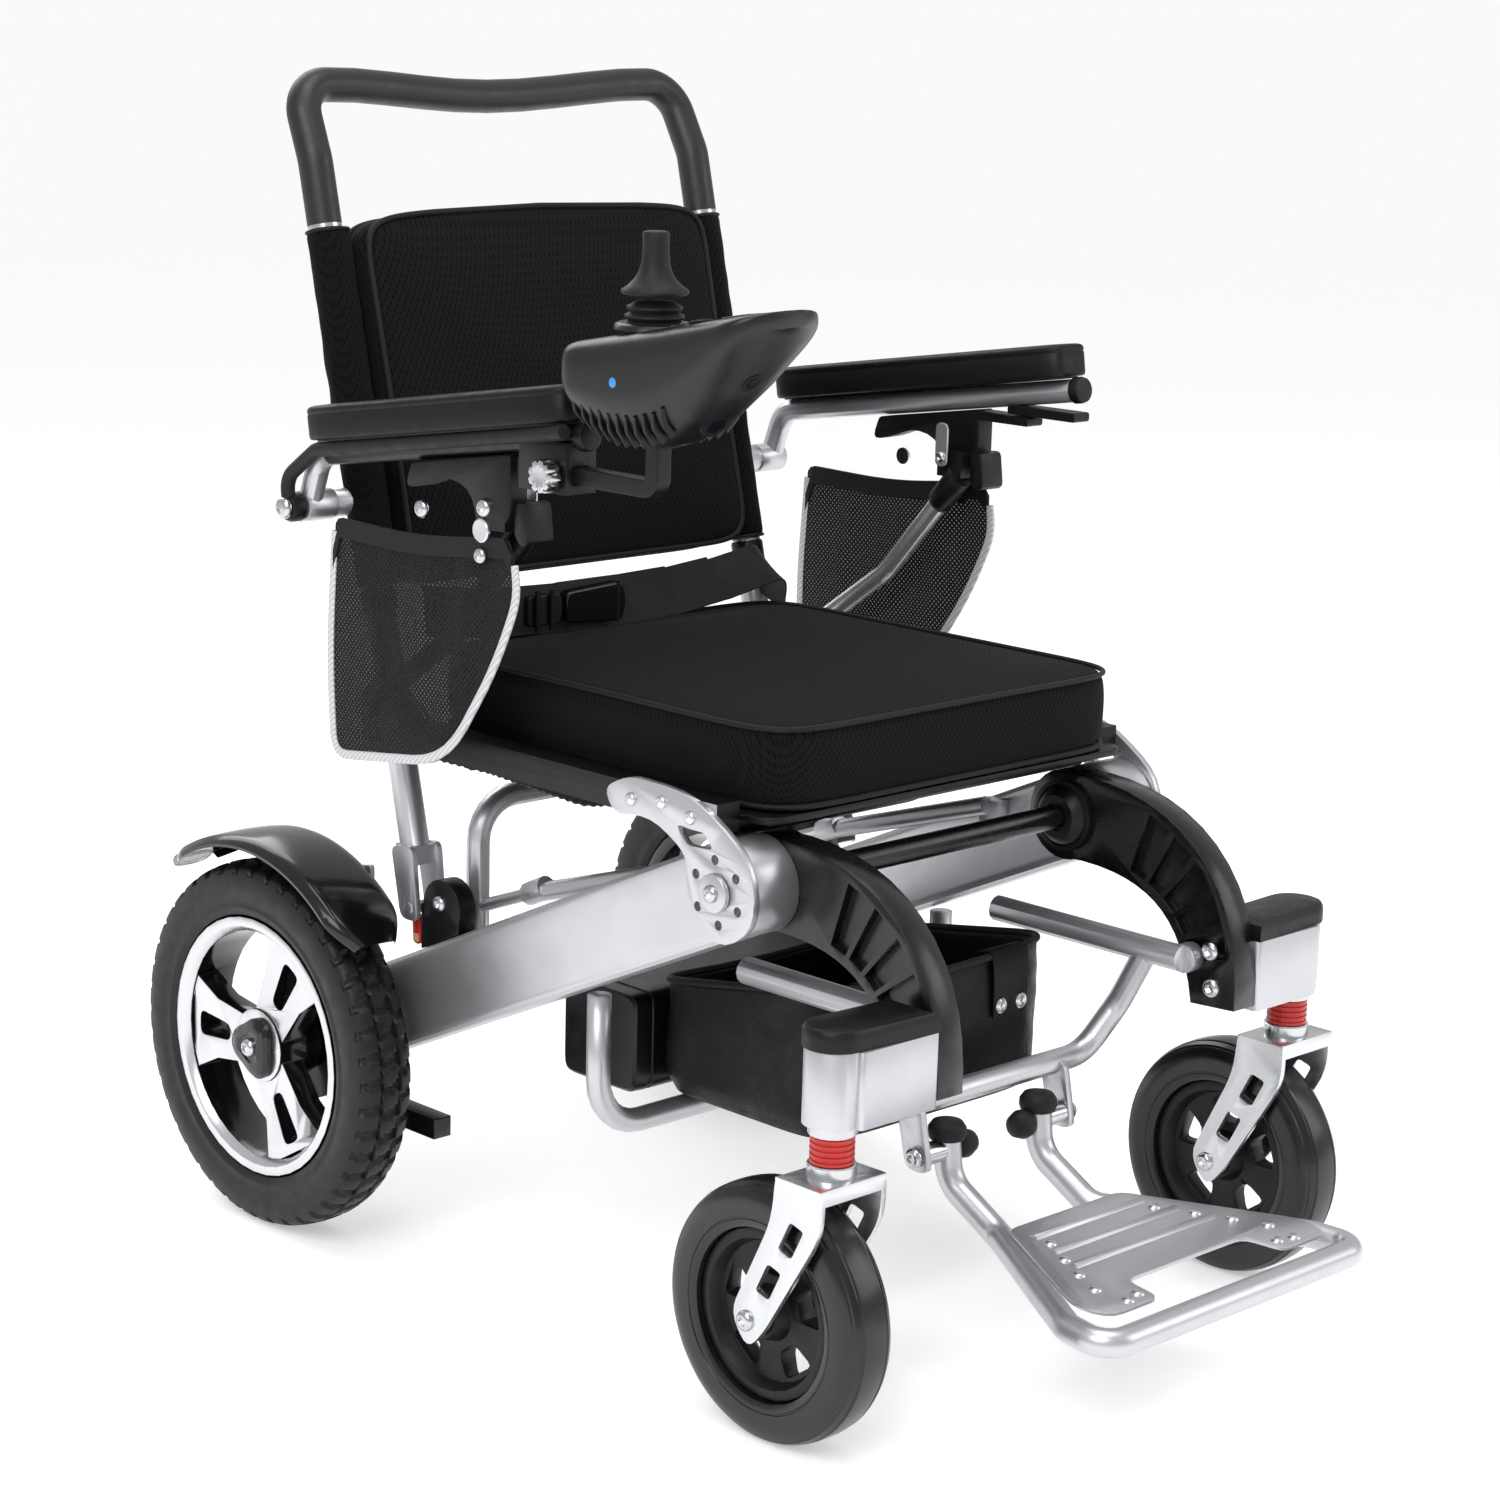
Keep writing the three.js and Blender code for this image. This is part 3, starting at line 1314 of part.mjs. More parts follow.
function thumbKnob() {
  const start = ARM_TUBE_X + 15 + GAP;
  const y = RECEIVER_Y[0] + 14;
  return union(rodX(8, [start, start + 4], y, BAR_Z, 12), rodX(13, [start + 3, start + 15], y, BAR_Z, 12));
}

const CABLE_RADIUS = 4;
const CABLE_X = ARM_TUBE_X + 15 + CABLE_RADIUS + 1;

// The cable runs under the right pad and bends down to the eye on the armrest's pivot.
function controllerCable() {
  const front = PAD_FRONT_Y + CONTROLLER_SETBACK + 3;
  const under = (y) => [CABLE_X, y, padBase(y) - CABLE_RADIUS - 3];
  const lead = tube(
    [
      under(front),
      under(PAD_REAR_Y - 10),
      [CABLE_X, ARM_PIVOT_Y + 4, ARM_PIVOT_Z + 24],
      [CABLE_X, ARM_PIVOT_Y, ARM_PIVOT_Z],
    ],
    CABLE_RADIUS,
    14,
    8,
    4,
  );
  const eyeX = [ARM_TUBE_X + ARM_TUBE_RADIUS + GAP, CABLE_X + CABLE_RADIUS];
  return union(lead, rodX(12, eyeX, ARM_PIVOT_Y, ARM_PIVOT_Z, 16));
}

place("controller_shell", controllerShell(), blackPlastic, rightSide);
place("stick_dome", stickDome(), rubber, rightSide);
place("stick_knob", stickKnob(), rubber, rightSide);
place("power_key", key(keyAt(-1), -3, 1.5, KEY_RADIUS), blackPlastic, rightSide);
place("horn_key", key(keyAt(1), -3, 1.5, KEY_RADIUS), blackPlastic, rightSide);
place("thumb_knob", thumbKnob(), blackPlastic, rightSide);
place("controller_cable", controllerCable(), rubber, rightSide);

export default wheelchair;
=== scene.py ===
"""The looks of a folding power wheelchair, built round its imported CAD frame.

The chair faces -Y, the occupant's right-hand side is -X and the floor is at Z = 0.
Sizes are in metres, or in millimetres where they pass through mm() or pairs_mm().
"""

import logging
import math
from dataclasses import dataclass
from enum import Enum
from typing import Callable, Iterable, Sequence

import bpy  # noqa: E402
import bmesh  # noqa: E402
from mathutils import Matrix, Vector, noise  # noqa: E402
from mathutils.kdtree import KDTree  # noqa: E402


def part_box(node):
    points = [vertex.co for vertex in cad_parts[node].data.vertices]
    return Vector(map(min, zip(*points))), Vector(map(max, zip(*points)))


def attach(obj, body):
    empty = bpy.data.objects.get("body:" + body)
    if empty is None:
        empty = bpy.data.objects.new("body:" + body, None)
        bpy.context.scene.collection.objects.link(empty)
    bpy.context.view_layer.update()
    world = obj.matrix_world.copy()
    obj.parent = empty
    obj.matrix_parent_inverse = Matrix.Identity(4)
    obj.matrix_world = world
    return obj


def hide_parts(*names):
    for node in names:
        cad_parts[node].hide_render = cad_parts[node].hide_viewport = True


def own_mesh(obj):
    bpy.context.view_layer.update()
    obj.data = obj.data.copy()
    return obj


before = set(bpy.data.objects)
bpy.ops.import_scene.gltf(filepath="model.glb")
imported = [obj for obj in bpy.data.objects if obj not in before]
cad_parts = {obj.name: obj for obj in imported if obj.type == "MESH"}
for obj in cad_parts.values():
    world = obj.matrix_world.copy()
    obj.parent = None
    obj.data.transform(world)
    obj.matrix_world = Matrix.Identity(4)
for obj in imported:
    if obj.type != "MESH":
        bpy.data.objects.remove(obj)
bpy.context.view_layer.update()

logging.basicConfig(level=logging.INFO, format="%(message)s")
log = logging.getLogger("wheelchair")

MM = 0.001
WAVE = 0.314  # A wave texture at this scale repeats once a metre.
PAD_SLOPE = 0.1556  # Rise of each arm pad towards its front.
PAD_REAR = (276.08, 684.0)  # Y and Z of the arm pad's rear end, underneath, in millimetres.
ARM_PIVOT = (302.1, 627.0)  # Y and Z of the armrest's pivot, in millimetres.
FOOT_PIVOT = (-238, 168)  # Y and Z of the footrest's pivot, in millimetres.
STEM_BACK = 23 * MM  # From the stem block's rear face to the stem's middle.

Profile = Sequence[tuple[float, float]]


class Side(Enum):
    """The occupant's two sides, each valued by the sign of its X."""

    RIGHT = -1
    LEFT = 1

    @property
    def tag(self) -> str:
        """The word that ends the names of this side's pieces."""
        return self.name.lower()


class Axis(Enum):
    """The frame's directions, each with two others that follow it in right-hand order."""

    X = (1, 0, 0)
    Y = (0, 1, 0)
    Z = (0, 0, 1)

    def basis(self) -> Matrix:
        """A rotation whose third column is this axis."""
        third = Vector(self.value)
        first = Vector(self.value[2:] + self.value[:2])
        second = third.cross(first)
        return Matrix((first, second, third)).transposed()


# ---------------------------------------------------------------- colour and nodes


def linear(code: str, alpha: float = 1.0) -> tuple[float, float, float, float]:
    """Turns an sRGB hex colour into the linear one that shaders take.

    Args:
        code: The colour, such as "#C9CBCE".
        alpha: The fourth channel.

    Returns:
        Linear red, green and blue, and alpha.
    """
    parts = [int(code[i : i + 2], 16) / 255 for i in (1, 3, 5)]
    curve = [c / 12.92 if c <= 0.04045 else ((c + 0.055) / 1.055) ** 2.4 for c in parts]
    return (*curve, alpha)


def add(
    tree: bpy.types.NodeTree, kind: str, inputs: dict | None = None, **settings: object
) -> bpy.types.Node:
    """Adds one shader node.

    Args:
        tree: The material's node tree.
        kind: The node's type, such as "ShaderNodeTexNoise".
        inputs: Socket names or numbers, each with a value or with an output socket to link.
        settings: Properties of the node.

    Returns:
        The node.
    """
    node = tree.nodes.new(kind)
    for name, value in settings.items():
        setattr(node, name, value)
    for name, value in (inputs or {}).items():
        socket = node.inputs[name]
        if isinstance(value, bpy.types.NodeSocket):
            tree.links.new(value, socket)
        else:
            socket.default_value = value
    return node


def start_material(name: str, **constants: object) -> tuple[bpy.types.Material, bpy.types.Node]:
    """Makes a material that holds one principled shader.

    Args:
        name: The material's name.
        constants: Values for the shader's own sockets, with spaces written as underscores.

    Returns:
        The material and its shader node.
    """
    material = bpy.data.materials.new(name)
    material.use_nodes = True
    tree = material.node_tree
    tree.nodes.clear()
    shader = add(tree, "ShaderNodeBsdfPrincipled")
    for key, value in constants.items():
        shader.inputs[key.replace("_", " ")].default_value = value
    output = add(tree, "ShaderNodeOutputMaterial", {"Surface": shader.outputs[0]})
    output.location = (300, 0)
    return material, shader


def object_place(tree: bpy.types.NodeTree) -> bpy.types.NodeSocket:
    """The surface's place in metres, which no unwrapping is needed for."""
    return add(tree, "ShaderNodeTexCoord").outputs["Object"]


def mottle(
    material: bpy.types.Material,
    shader: bpy.types.Node,
    socket: str,
    low: object,
    high: object,
    size: float,
    detail: float = 4.0,
) -> None:
    """Lets one value of a finish wander between two others.

    Args:
        material: The material.
        shader: Its shader node.
        socket: The socket that wanders, "Base Color" or "Roughness".
        low: The value at one extreme, a colour or a number.
        high: The value at the other extreme.
        size: Metres across one patch.
        detail: How many finer layers the noise has.
    """
    tree = material.node_tree
    clouds = add(
        tree,
        "ShaderNodeTexNoise",
        {"Vector": object_place(tree), "Scale": 1 / size, "Detail": detail, "Roughness": 0.6},
    )
    if isinstance(low, tuple):
        mix = add(tree, "ShaderNodeMix", {"Factor": clouds.outputs["Fac"]}, data_type="RGBA")
        for each in mix.inputs:
            if each.type == "RGBA":
                each.default_value = low if each.name == "A" else high
        result = next(o for o in mix.outputs if o.type == "RGBA")
    else:
        spread = add(tree, "ShaderNodeMapRange", {"Value": clouds.outputs["Fac"]})
        spread.inputs["From Min"].default_value = 0.3
        spread.inputs["From Max"].default_value = 0.7
        spread.inputs["To Min"].default_value = low
        spread.inputs["To Max"].default_value = high
        result = spread.outputs["Result"]
    tree.links.new(result, shader.inputs[socket])


def relief(
    material: bpy.types.Material,
    shader: bpy.types.Node,
    height: bpy.types.NodeSocket,
    depth: float,
    strength: float = 0.5,
) -> None:
    """Presses a height pattern into a finish as fine bumps.

    Args:
        material: The material.
        shader: Its shader node.
        height: The output socket that holds the height, from 0 to 1.
        depth: How deep the pattern is, in metres.
        strength: How strongly the light shows it.
    """
    bump = add(
        material.node_tree,
        "ShaderNodeBump",
        {"Height": height, "Strength": strength, "Distance": depth},
    )
    material.node_tree.links.new(bump.outputs["Normal"], shader.inputs["Normal"])


def crossed_bands(
    tree: bpy.types.NodeTree,
    turns: Sequence[tuple[float, float, float]],
    pitch: float,
    direction: str,
    distortion: float = 0.0,
) -> list[bpy.types.NodeSocket]:
    """Sets of parallel threads, one for each turn of the pattern.

    Args:
        tree: The material's node tree.
        turns: How each set is turned, in radians about X, Y and Z.
        pitch: Metres from thread to thread.
        direction: The axis that the threads follow one another along.
        distortion: How much the threads waver.

    Returns:
        Each set's height, from 0 between threads to 1 on them.
    """
    at = object_place(tree)
    heights = []
    for turn in turns:
        turned = add(tree, "ShaderNodeMapping", {"Vector": at, "Rotation": turn})
        inputs = {"Vector": turned.outputs[0], "Scale": WAVE / pitch, "Distortion": distortion}
        wave = add(tree, "ShaderNodeTexWave", inputs, wave_type="BANDS", bands_direction=direction)
        heights.append(wave.outputs["Fac"])
    return heights


def two_tone(
    tree: bpy.types.NodeTree,
    shader: bpy.types.Node,
    height: bpy.types.NodeSocket,
    tones: Sequence[str],
    stops: Sequence[float] = (0.0, 1.0),
) -> None:
    """Colours a surface by a height: the first tone where it is low, the second where it is high.

    Args:
        tree: The material's node tree.
        shader: Its shader node.
        height: The output socket that holds the height.
        tones: The two sRGB hex colours.
        stops: The heights at which each is pure.
    """
    ramp = add(tree, "ShaderNodeValToRGB", {"Fac": height})
    for element, tone, stop in zip(ramp.color_ramp.elements, tones, stops):
        element.color = linear(tone)
        element.position = stop
    tree.links.new(ramp.outputs["Color"], shader.inputs["Base Color"])


def grain(
    material: bpy.types.Material, shader: bpy.types.Node, pitch: float, depth: float,
    strength: float = 0.4,
) -> None:
    """Gives a surface fine pebbled grain.

    Args:
        material: The material.
        shader: Its shader node.
        pitch: Metres from grain to grain.
        depth: Depth of the grain in metres.
        strength: How strongly the light shows it.
    """
    tree = material.node_tree
    cells = add(tree, "ShaderNodeTexVoronoi", {"Vector": object_place(tree), "Scale": 1 / pitch})
    relief(material, shader, cells.outputs["Distance"], depth, strength)


# ---------------------------------------------------------------- finishes


@dataclass(frozen=True)
class Finish:
    """What one surface is made of.

    Attributes:
        name: The material's common name and how its surface was made.
        slot: The record's material slot that it belongs to; not used.
    """

    name: str
    slot: str

    def build(self) -> bpy.types.Material:
        """Makes the material; each kind of finish has its own way."""
        raise NotImplementedError

    def material(self) -> bpy.types.Material:
        """The material, made on first use."""
        return bpy.data.materials.get(self.name) or self.build()


@dataclass(frozen=True)
class SatinAluminium(Finish):
    """Powder-silvered aluminium tube and plate: soft wide highlights over a very fine speckle."""

    colour: str = "#CDCED1"
    shade: str = "#C0C1C5"
    roughness: float = 0.36
    speckle: float = 1.6 * MM
    metallic: float = 0.85

    def build(self) -> bpy.types.Material:
        """Metal with cloudy roughness and a faint orange peel."""
        material, shader = start_material(self.name, Metallic=self.metallic)
        mottle(material, shader, "Base Color", linear(self.colour), linear(self.shade), 60 * MM)
        mottle(material, shader, "Roughness", self.roughness * 0.92, self.roughness * 1.1, 30 * MM)
        grain(material, shader, self.speckle, 0.012 * MM, 0.06)
        return material


@dataclass(frozen=True)
class CastPaint(Finish):
    """Black enamel over sand-cast aluminium: a soft sheen broken by the casting's skin."""

    colour: str = "#070708"
    shade: str = "#0D0D0E"
    roughness: float = 0.24
    coat: float = 0.25

    def build(self) -> bpy.types.Material:
        """Dark coat with wide ripples and small pits."""
        material, shader = start_material(
            self.name, Metallic=0.0, Specular_IOR_Level=0.35, Coat_Weight=self.coat, Coat_Roughness=0.3
        )
        mottle(material, shader, "Base Color", linear(self.colour), linear(self.shade), 30 * MM)
        mottle(material, shader, "Roughness", self.roughness * 0.8, self.roughness * 1.3, 9 * MM)
        grain(material, shader, 1.6 * MM, 0.08 * MM, 0.3)
        return material


@dataclass(frozen=True)
class MouldedPlastic(Finish):
    """Injection-moulded ABS: an even dark surface, from eroded matt grain to polished."""

    colour: str = "#09090A"
    shade: str = "#0E0E10"
    roughness: float = 0.42
    pitch: float = 1.1 * MM
    depth: float = 0.05 * MM
    coat: float = 0.0
    specular: float = 0.3

    def build(self) -> bpy.types.Material:
        """Plastic with a spark-eroded grain of the given pitch."""
        material, shader = start_material(
            self.name,
            Metallic=0.0,
            Specular_IOR_Level=self.specular,
            Coat_Weight=self.coat,
            Coat_Roughness=0.12,
        )
        mottle(material, shader, "Base Color", linear(self.colour), linear(self.shade), 45 * MM)
        mottle(material, shader, "Roughness", self.roughness * 0.85, self.roughness * 1.15, 14 * MM)
        grain(material, shader, self.pitch, self.depth, 0.25)
        return material


@dataclass(frozen=True)
class MouldedRubber(Finish):
    """Vulcanised or foamed rubber: dull, slightly dusty black with tiny pores."""

    colour: str = "#0C0C0D"
    shade: str = "#161617"
    roughness: float = 0.72
    pitch: float = 1.4 * MM
    depth: float = 0.1 * MM
    sheen: float = 0.02
    specular: float = 0.28

    def build(self) -> bpy.types.Material:
        """Rubber with patches of dust and fine pores."""
        material, shader = start_material(
            self.name,
            Metallic=0.0,
            Specular_IOR_Level=self.specular,
            Sheen_Weight=self.sheen,
            Sheen_Roughness=0.5,
        )
        mottle(material, shader, "Base Color", linear(self.colour), linear(self.shade), 25 * MM, 8)
        mottle(material, shader, "Roughness", self.roughness * 0.85, self.roughness * 1.2, 12 * MM)
        grain(material, shader, self.pitch, self.depth, 0.3)
        return material


@dataclass(frozen=True)
class SpacerMesh(Finish):
    """Warp-knitted polyester spacer mesh: fine diagonal ribs with small open cells between them.

    The real cells are 2 mm apart; they are drawn 3.2 mm apart so that they show.
    """

    colour: str = "#141417"
    # The darker tone is painted shade inside the open cells.
    shade: str = "#060607"
    pitch: float = 3.2 * MM
    roughness: float = 0.9

    def build(self) -> bpy.types.Material:
        """Two crossed sets of ribs, lower where they leave a cell, with painted shade darkening each
        cell.
        """
        material, shader = start_material(
            self.name,
            Metallic=0.0,
            Roughness=self.roughness,
            Specular_IOR_Level=0.08,
            Sheen_Weight=0.03,
            Sheen_Roughness=0.5,
        )
        tree = material.node_tree
        bands = crossed_bands(tree, ((0.6, 0.0, 0.9), (0.6, 0.0, -0.9)), self.pitch, "X", 0.6)
        cell = add(tree, "ShaderNodeMath", {0: bands[0], 1: bands[1]}, operation="MULTIPLY")
        # Painted shade: the open cells take the darker tone.
        two_tone(tree, shader, cell.outputs[0], (self.colour, self.shade), (0.25, 0.7))
        flip = add(tree, "ShaderNodeMath", {0: 1.0, 1: cell.outputs[0]}, operation="SUBTRACT")
        relief(material, shader, flip.outputs[0], 0.5 * MM, 0.5)
        return material


@dataclass(frozen=True)
class WovenNylon(Finish):
    """Woven nylon tape and piping: close crosswise ribs with a slight silky shine, partly painted as a
    lighter tone on the raised ribs.
    """

    colour: str = "#0E0E10"
    # The lighter tone is a painted highlight on the raised ribs.
    shade: str = "#19191C"
    pitch: float = 1.8 * MM
    roughness: float = 0.62

    def build(self) -> bpy.types.Material:
        """Ribs along one direction, broken by the threads that cross them, with a painted highlight on
        the raised ribs.
        """
        material, shader = start_material(
            self.name,
            Metallic=0.0,
            Roughness=self.roughness,
            Specular_IOR_Level=0.25,
            Sheen_Weight=0.05,
            Sheen_Roughness=0.35,
        )
        tree = material.node_tree
        place = object_place(tree)
        ribs = add(
            tree,
            "ShaderNodeTexWave",
            {"Vector": place, "Scale": WAVE / self.pitch, "Distortion": 1.2, "Detail": 2.0},
            bands_direction="DIAGONAL",
        )
        # Painted highlight: the raised ribs take the lighter tone.
        two_tone(tree, shader, ribs.outputs["Fac"], (self.colour, self.shade))
        relief(material, shader, ribs.outputs["Fac"], 0.3 * MM, 0.5)
        return material


@dataclass(frozen=True)
class OpenNet(Finish):
    """Open polyester net: a diagonal lattice of threads that the eye looks through.

    The real holes are 2 mm apart; they are drawn 3.4 mm apart so that they show.
    """

    colour: str = "#1A1A1C"
    pitch: float = 3.4 * MM
    cover: float = 0.42

    def build(self) -> bpy.types.Material:
        """Threads are opaque and the holes between them are clear."""
        material, shader = start_material(
            self.name, Metallic=0.0, Roughness=0.75, Specular_IOR_Level=0.2
        )
        tree = material.node_tree
        turns = [(math.radians(angle), 0, 0) for angle in (48, -42)]
        bands = crossed_bands(tree, turns, self.pitch, "Y")
        thread = add(tree, "ShaderNodeMath", {0: bands[0], 1: bands[1]}, operation="MAXIMUM")
        edge = add(tree, "ShaderNodeMapRange", {"Value": thread.outputs[0]})
        edge.inputs["From Min"].default_value = self.cover
        edge.inputs["From Max"].default_value = self.cover + 0.3
        edge.inputs["To Min"].default_value = 0.66
        shader.inputs["Base Color"].default_value = linear(self.colour)
        tree.links.new(edge.outputs["Result"], shader.inputs["Alpha"])
        relief(material, shader, thread.outputs[0], 0.3 * MM, 0.4)
        return material


@dataclass(frozen=True)
class CoatedCloth(Finish):
    """PVC-coated bag cloth: grained like leather, with soft shine on its folds."""

    colour: str = "#060607"
    shade: str = "#0B0B0C"
    roughness: float = 0.45

    def build(self) -> bpy.types.Material:
        """Leather-like grain over slow creases."""
        material, shader = start_material(
            self.name, Metallic=0.0, Specular_IOR_Level=0.2, Coat_Weight=0.03, Coat_Roughness=0.4
        )
        mottle(material, shader, "Base Color", linear(self.colour), linear(self.shade), 40 * MM)
        mottle(material, shader, "Roughness", self.roughness * 0.75, self.roughness * 1.3, 22 * MM)
        tree = material.node_tree
        place = object_place(tree)
        cells = add(tree, "ShaderNodeTexVoronoi", {"Vector": place, "Scale": 1 / (2.2 * MM)})
        crease = add(
            tree,
            "ShaderNodeTexNoise",
            {"Vector": place, "Scale": 1 / (38 * MM), "Detail": 5.0, "Distortion": 1.4},
        )
        total = add(
            tree, "ShaderNodeMath", {0: cells.outputs["Distance"], 1: crease.outputs["Fac"]},
            operation="ADD",
        )
        relief(material, shader, total.outputs[0], 0.9 * MM, 0.35)
        return material


@dataclass(frozen=True)
class ClearPlastic(Finish):
    """Moulded acrylic, such as a lens: clear or tinted, with a hard bright gloss."""

    colour: str = "#D8DADC"
    roughness: float = 0.08
    transmission: float = 0.6

    def build(self) -> bpy.types.Material:
        """Tinted see-through plastic over a prismatic back."""
        material, shader = start_material(
            self.name,
            Metallic=0.0,
            Roughness=self.roughness,
            IOR=1.49,
            Transmission_Weight=self.transmission,
        )
        mottle(material, shader, "Base Color", linear(self.colour), linear("#9EA2A6"), 8 * MM)
        grain(material, shader, 3.2 * MM, 0.4 * MM, 0.5)
        return material


ALUMINIUM = SatinAluminium("satin_aluminium", "silver")
BRIGHT_ALUMINIUM = SatinAluminium(
    "machined_aluminium", "silver", "#DCDDDF", "#CDCFD2", 0.27, 0.9 * MM, 0.92
)
ZINC = SatinAluminium("zinc_plated_steel", "silver", "#D5D6D8", "#B5B6B9", 0.22, 0.8 * MM, 1.0)
CAST_BLACK = CastPaint("enamelled_casting", "cast_black")
ABS_BLACK = MouldedPlastic("moulded_abs", "black_plastic")
ABS_SHELL = MouldedPlastic(
    "fine_grained_abs", "black_plastic", "#0E0E10", "#131315", 0.32, 0.9 * MM, 0.02 * MM, 0.0, 0.42
)
ABS_GLOSS = MouldedPlastic(
    "polished_abs", "gloss_black", "#0B0B0C", "#101012", 0.16, 3 * MM, 0.01 * MM, 0.4
)
ABS_RED = MouldedPlastic(
    "polished_red_abs", "red_plastic", "#B3201C", "#C42A22", 0.3, 1.5 * MM, 0.02 * MM, 0.3
)
ABS_BLUE = MouldedPlastic(
    "polished_blue_abs", "black_plastic", "#2F86C9", "#3A93D6", 0.3, 1.5 * MM, 0.02 * MM, 0.3
)
LABEL_TAN = MouldedPlastic(
    "printed_film", "red_plastic", "#B99C6B", "#C6AA79", 0.5, 1.5 * MM, 0.01 * MM
)
SCREEN = MouldedPlastic(
    "tinted_window", "black_plastic", "#0A0C10", "#10131A", 0.08, 4 * MM, 0.005 * MM, 0.5
)
TYRE = MouldedRubber(
    "vulcanised_rubber", "tyre", "#0B0B0C", "#151516", 0.46, 1.4 * MM, 0.06 * MM, 0.0, 0.36
)
SOLID_TYRE = MouldedRubber(
    "solid_polyurethane", "tyre", "#0A0A0B", "#121213", 0.24, 2.2 * MM, 0.015 * MM, 0.0, 0.5
)
FOAM = MouldedRubber(
    "foam_rubber", "rubber", "#131315", "#1B1B1D", 0.42, 1.9 * MM, 0.06 * MM, 0.02, 0.5
)
SOFT_RUBBER = MouldedRubber(
    "soft_rubber", "rubber", "#141415", "#1C1C1D", 0.55, 1.6 * MM, 0.05 * MM
)
PAD_SKIN = MouldedRubber(
    "integral_skin_foam", "black_plastic", "#09090A", "#0F0F10", 0.48, 2.0 * MM, 0.14 * MM, 0.0,
    0.25,
)
SPACER = SpacerMesh("spacer_mesh_cloth", "spacer_fabric")
# Its darker tone is painted shade inside the open cells too.
SPACER_SIDE = SpacerMesh("side_band_cloth", "spacer_fabric", "#111113", "#050506", 3.0 * MM)
NYLON = WovenNylon("woven_nylon", "spacer_fabric")
# Its lighter tone, too, is a painted highlight on the raised ribs.
PIPING_LIGHT = WovenNylon("reflective_piping", "side_mesh", "#B5B4B8", "#D5D4D6", 2.4 * MM, 0.5)
NET = OpenNet("open_net", "side_mesh")
BAG_CLOTH = CoatedCloth("coated_bag_cloth", "leatherette")
LENS = ClearPlastic("lens_acrylic", "silver")


# ---------------------------------------------------------------- meshes


def link(name: str, mesh: bpy.types.Mesh, finish: Finish, sharp: float = 32.0) -> bpy.types.Object:
    """Puts a mesh in the scene with a finish and smooth shading that stops at sharp edges.

    Args:
        name: The piece's name.
        mesh: Its mesh.
        finish: What it is made of.
        sharp: Degrees between two faces beyond which their edge shows.

    Returns:
        The new object.
    """
    obj = bpy.data.objects.new(name, mesh)
    bpy.context.scene.collection.objects.link(obj)
    mesh.materials.clear()
    mesh.materials.append(finish.material())
    mesh.shade_smooth()
    mesh.set_sharp_from_angle(angle=math.radians(sharp))
    return obj


def from_faces(
    name: str, points: Iterable[Sequence[float]], faces: Iterable[Sequence[int]], finish: Finish,
    sharp: float = 32.0,
) -> bpy.types.Object:
    """Makes a piece from points and faces, with its normals turned outwards."""
    mesh = bpy.data.meshes.new(name)
    mesh.from_pydata([tuple(p) for p in points], [], [tuple(f) for f in faces])
    work = bmesh.new()
    work.from_mesh(mesh)
    bmesh.ops.remove_doubles(work, verts=work.verts, dist=1e-6)
    bmesh.ops.recalc_face_normals(work, faces=work.faces)
    work.to_mesh(mesh)
    work.free()
    return link(name, mesh, finish, sharp)


def ring_faces(rings: int, count: int, closed: bool = True) -> list[tuple[int, int, int, int]]:
    """Faces between neighbouring rings of points that all have the same count."""
    faces = []
    for r in range(rings - 1):
        for i in range(count if closed else count - 1):
            j = (i + 1) % count
            faces.append((r * count + i, r * count + j, (r + 1) * count + j, (r + 1) * count + i))
    return faces


def loft(
    name: str, rings: Sequence[Sequence[Vector]], finish: Finish, caps: bool = True,
    closed: bool = True, sharp: float = 32.0,
) -> bpy.types.Object:
    """Joins rings of points with a skin.

    Args:
        name: The piece's name.
        rings: Rings that all have the same number of points.
        finish: What it is made of.
        caps: Whether the first and last rings are filled.
        closed: Whether each ring runs back to its first point.
        sharp: Degrees beyond which an edge shows.

    Returns:
        The new object.
    """
    count = len(rings[0])
    points = [p for ring in rings for p in ring]
    faces: list[Sequence[int]] = list(ring_faces(len(rings), count, closed))
    if caps:
        faces.append(tuple(range(count)))
        faces.append(tuple(range((len(rings) - 1) * count, len(rings) * count)))
    return from_faces(name, points, faces, finish, sharp)


def lathe(
    name: str, profile: Profile, origin: Sequence[float], axis: Axis, finish: Finish,
    sides: int = 64, sharp: float = 32.0,
    shape: Callable[[float, float, float], float] | None = None, closed: bool = False,
) -> bpy.types.Object:
    """Turns a profile round an axis.

    Args:
        name: The piece's name.
        profile: Pairs of distance along the axis and radius, in order.
        origin: The point that the distances start from.
        axis: The axis to turn round.
        finish: What it is made of.
        sides: How many steps one turn has.
        sharp: Degrees beyond which an edge shows.
        shape: Changes a radius, from the turn's angle, the distance along and the radius.
        closed: Whether the profile runs back to its start, as a ring's does.

    Returns:
        The new object.
    """
    basis = axis.basis()
    centre = Vector(origin)
    rings = []
    for along, radius in profile:
        ring = []
        for i in range(sides):
            turn = 2 * math.pi * i / sides
            r = shape(turn, along, radius) if shape else radius
            ring.append(centre + basis @ Vector((r * math.cos(turn), r * math.sin(turn), along)))
        rings.append(ring)
    if closed:
        rings.append(rings[0])
    return loft(name, rings, finish, caps=not closed, sharp=sharp)


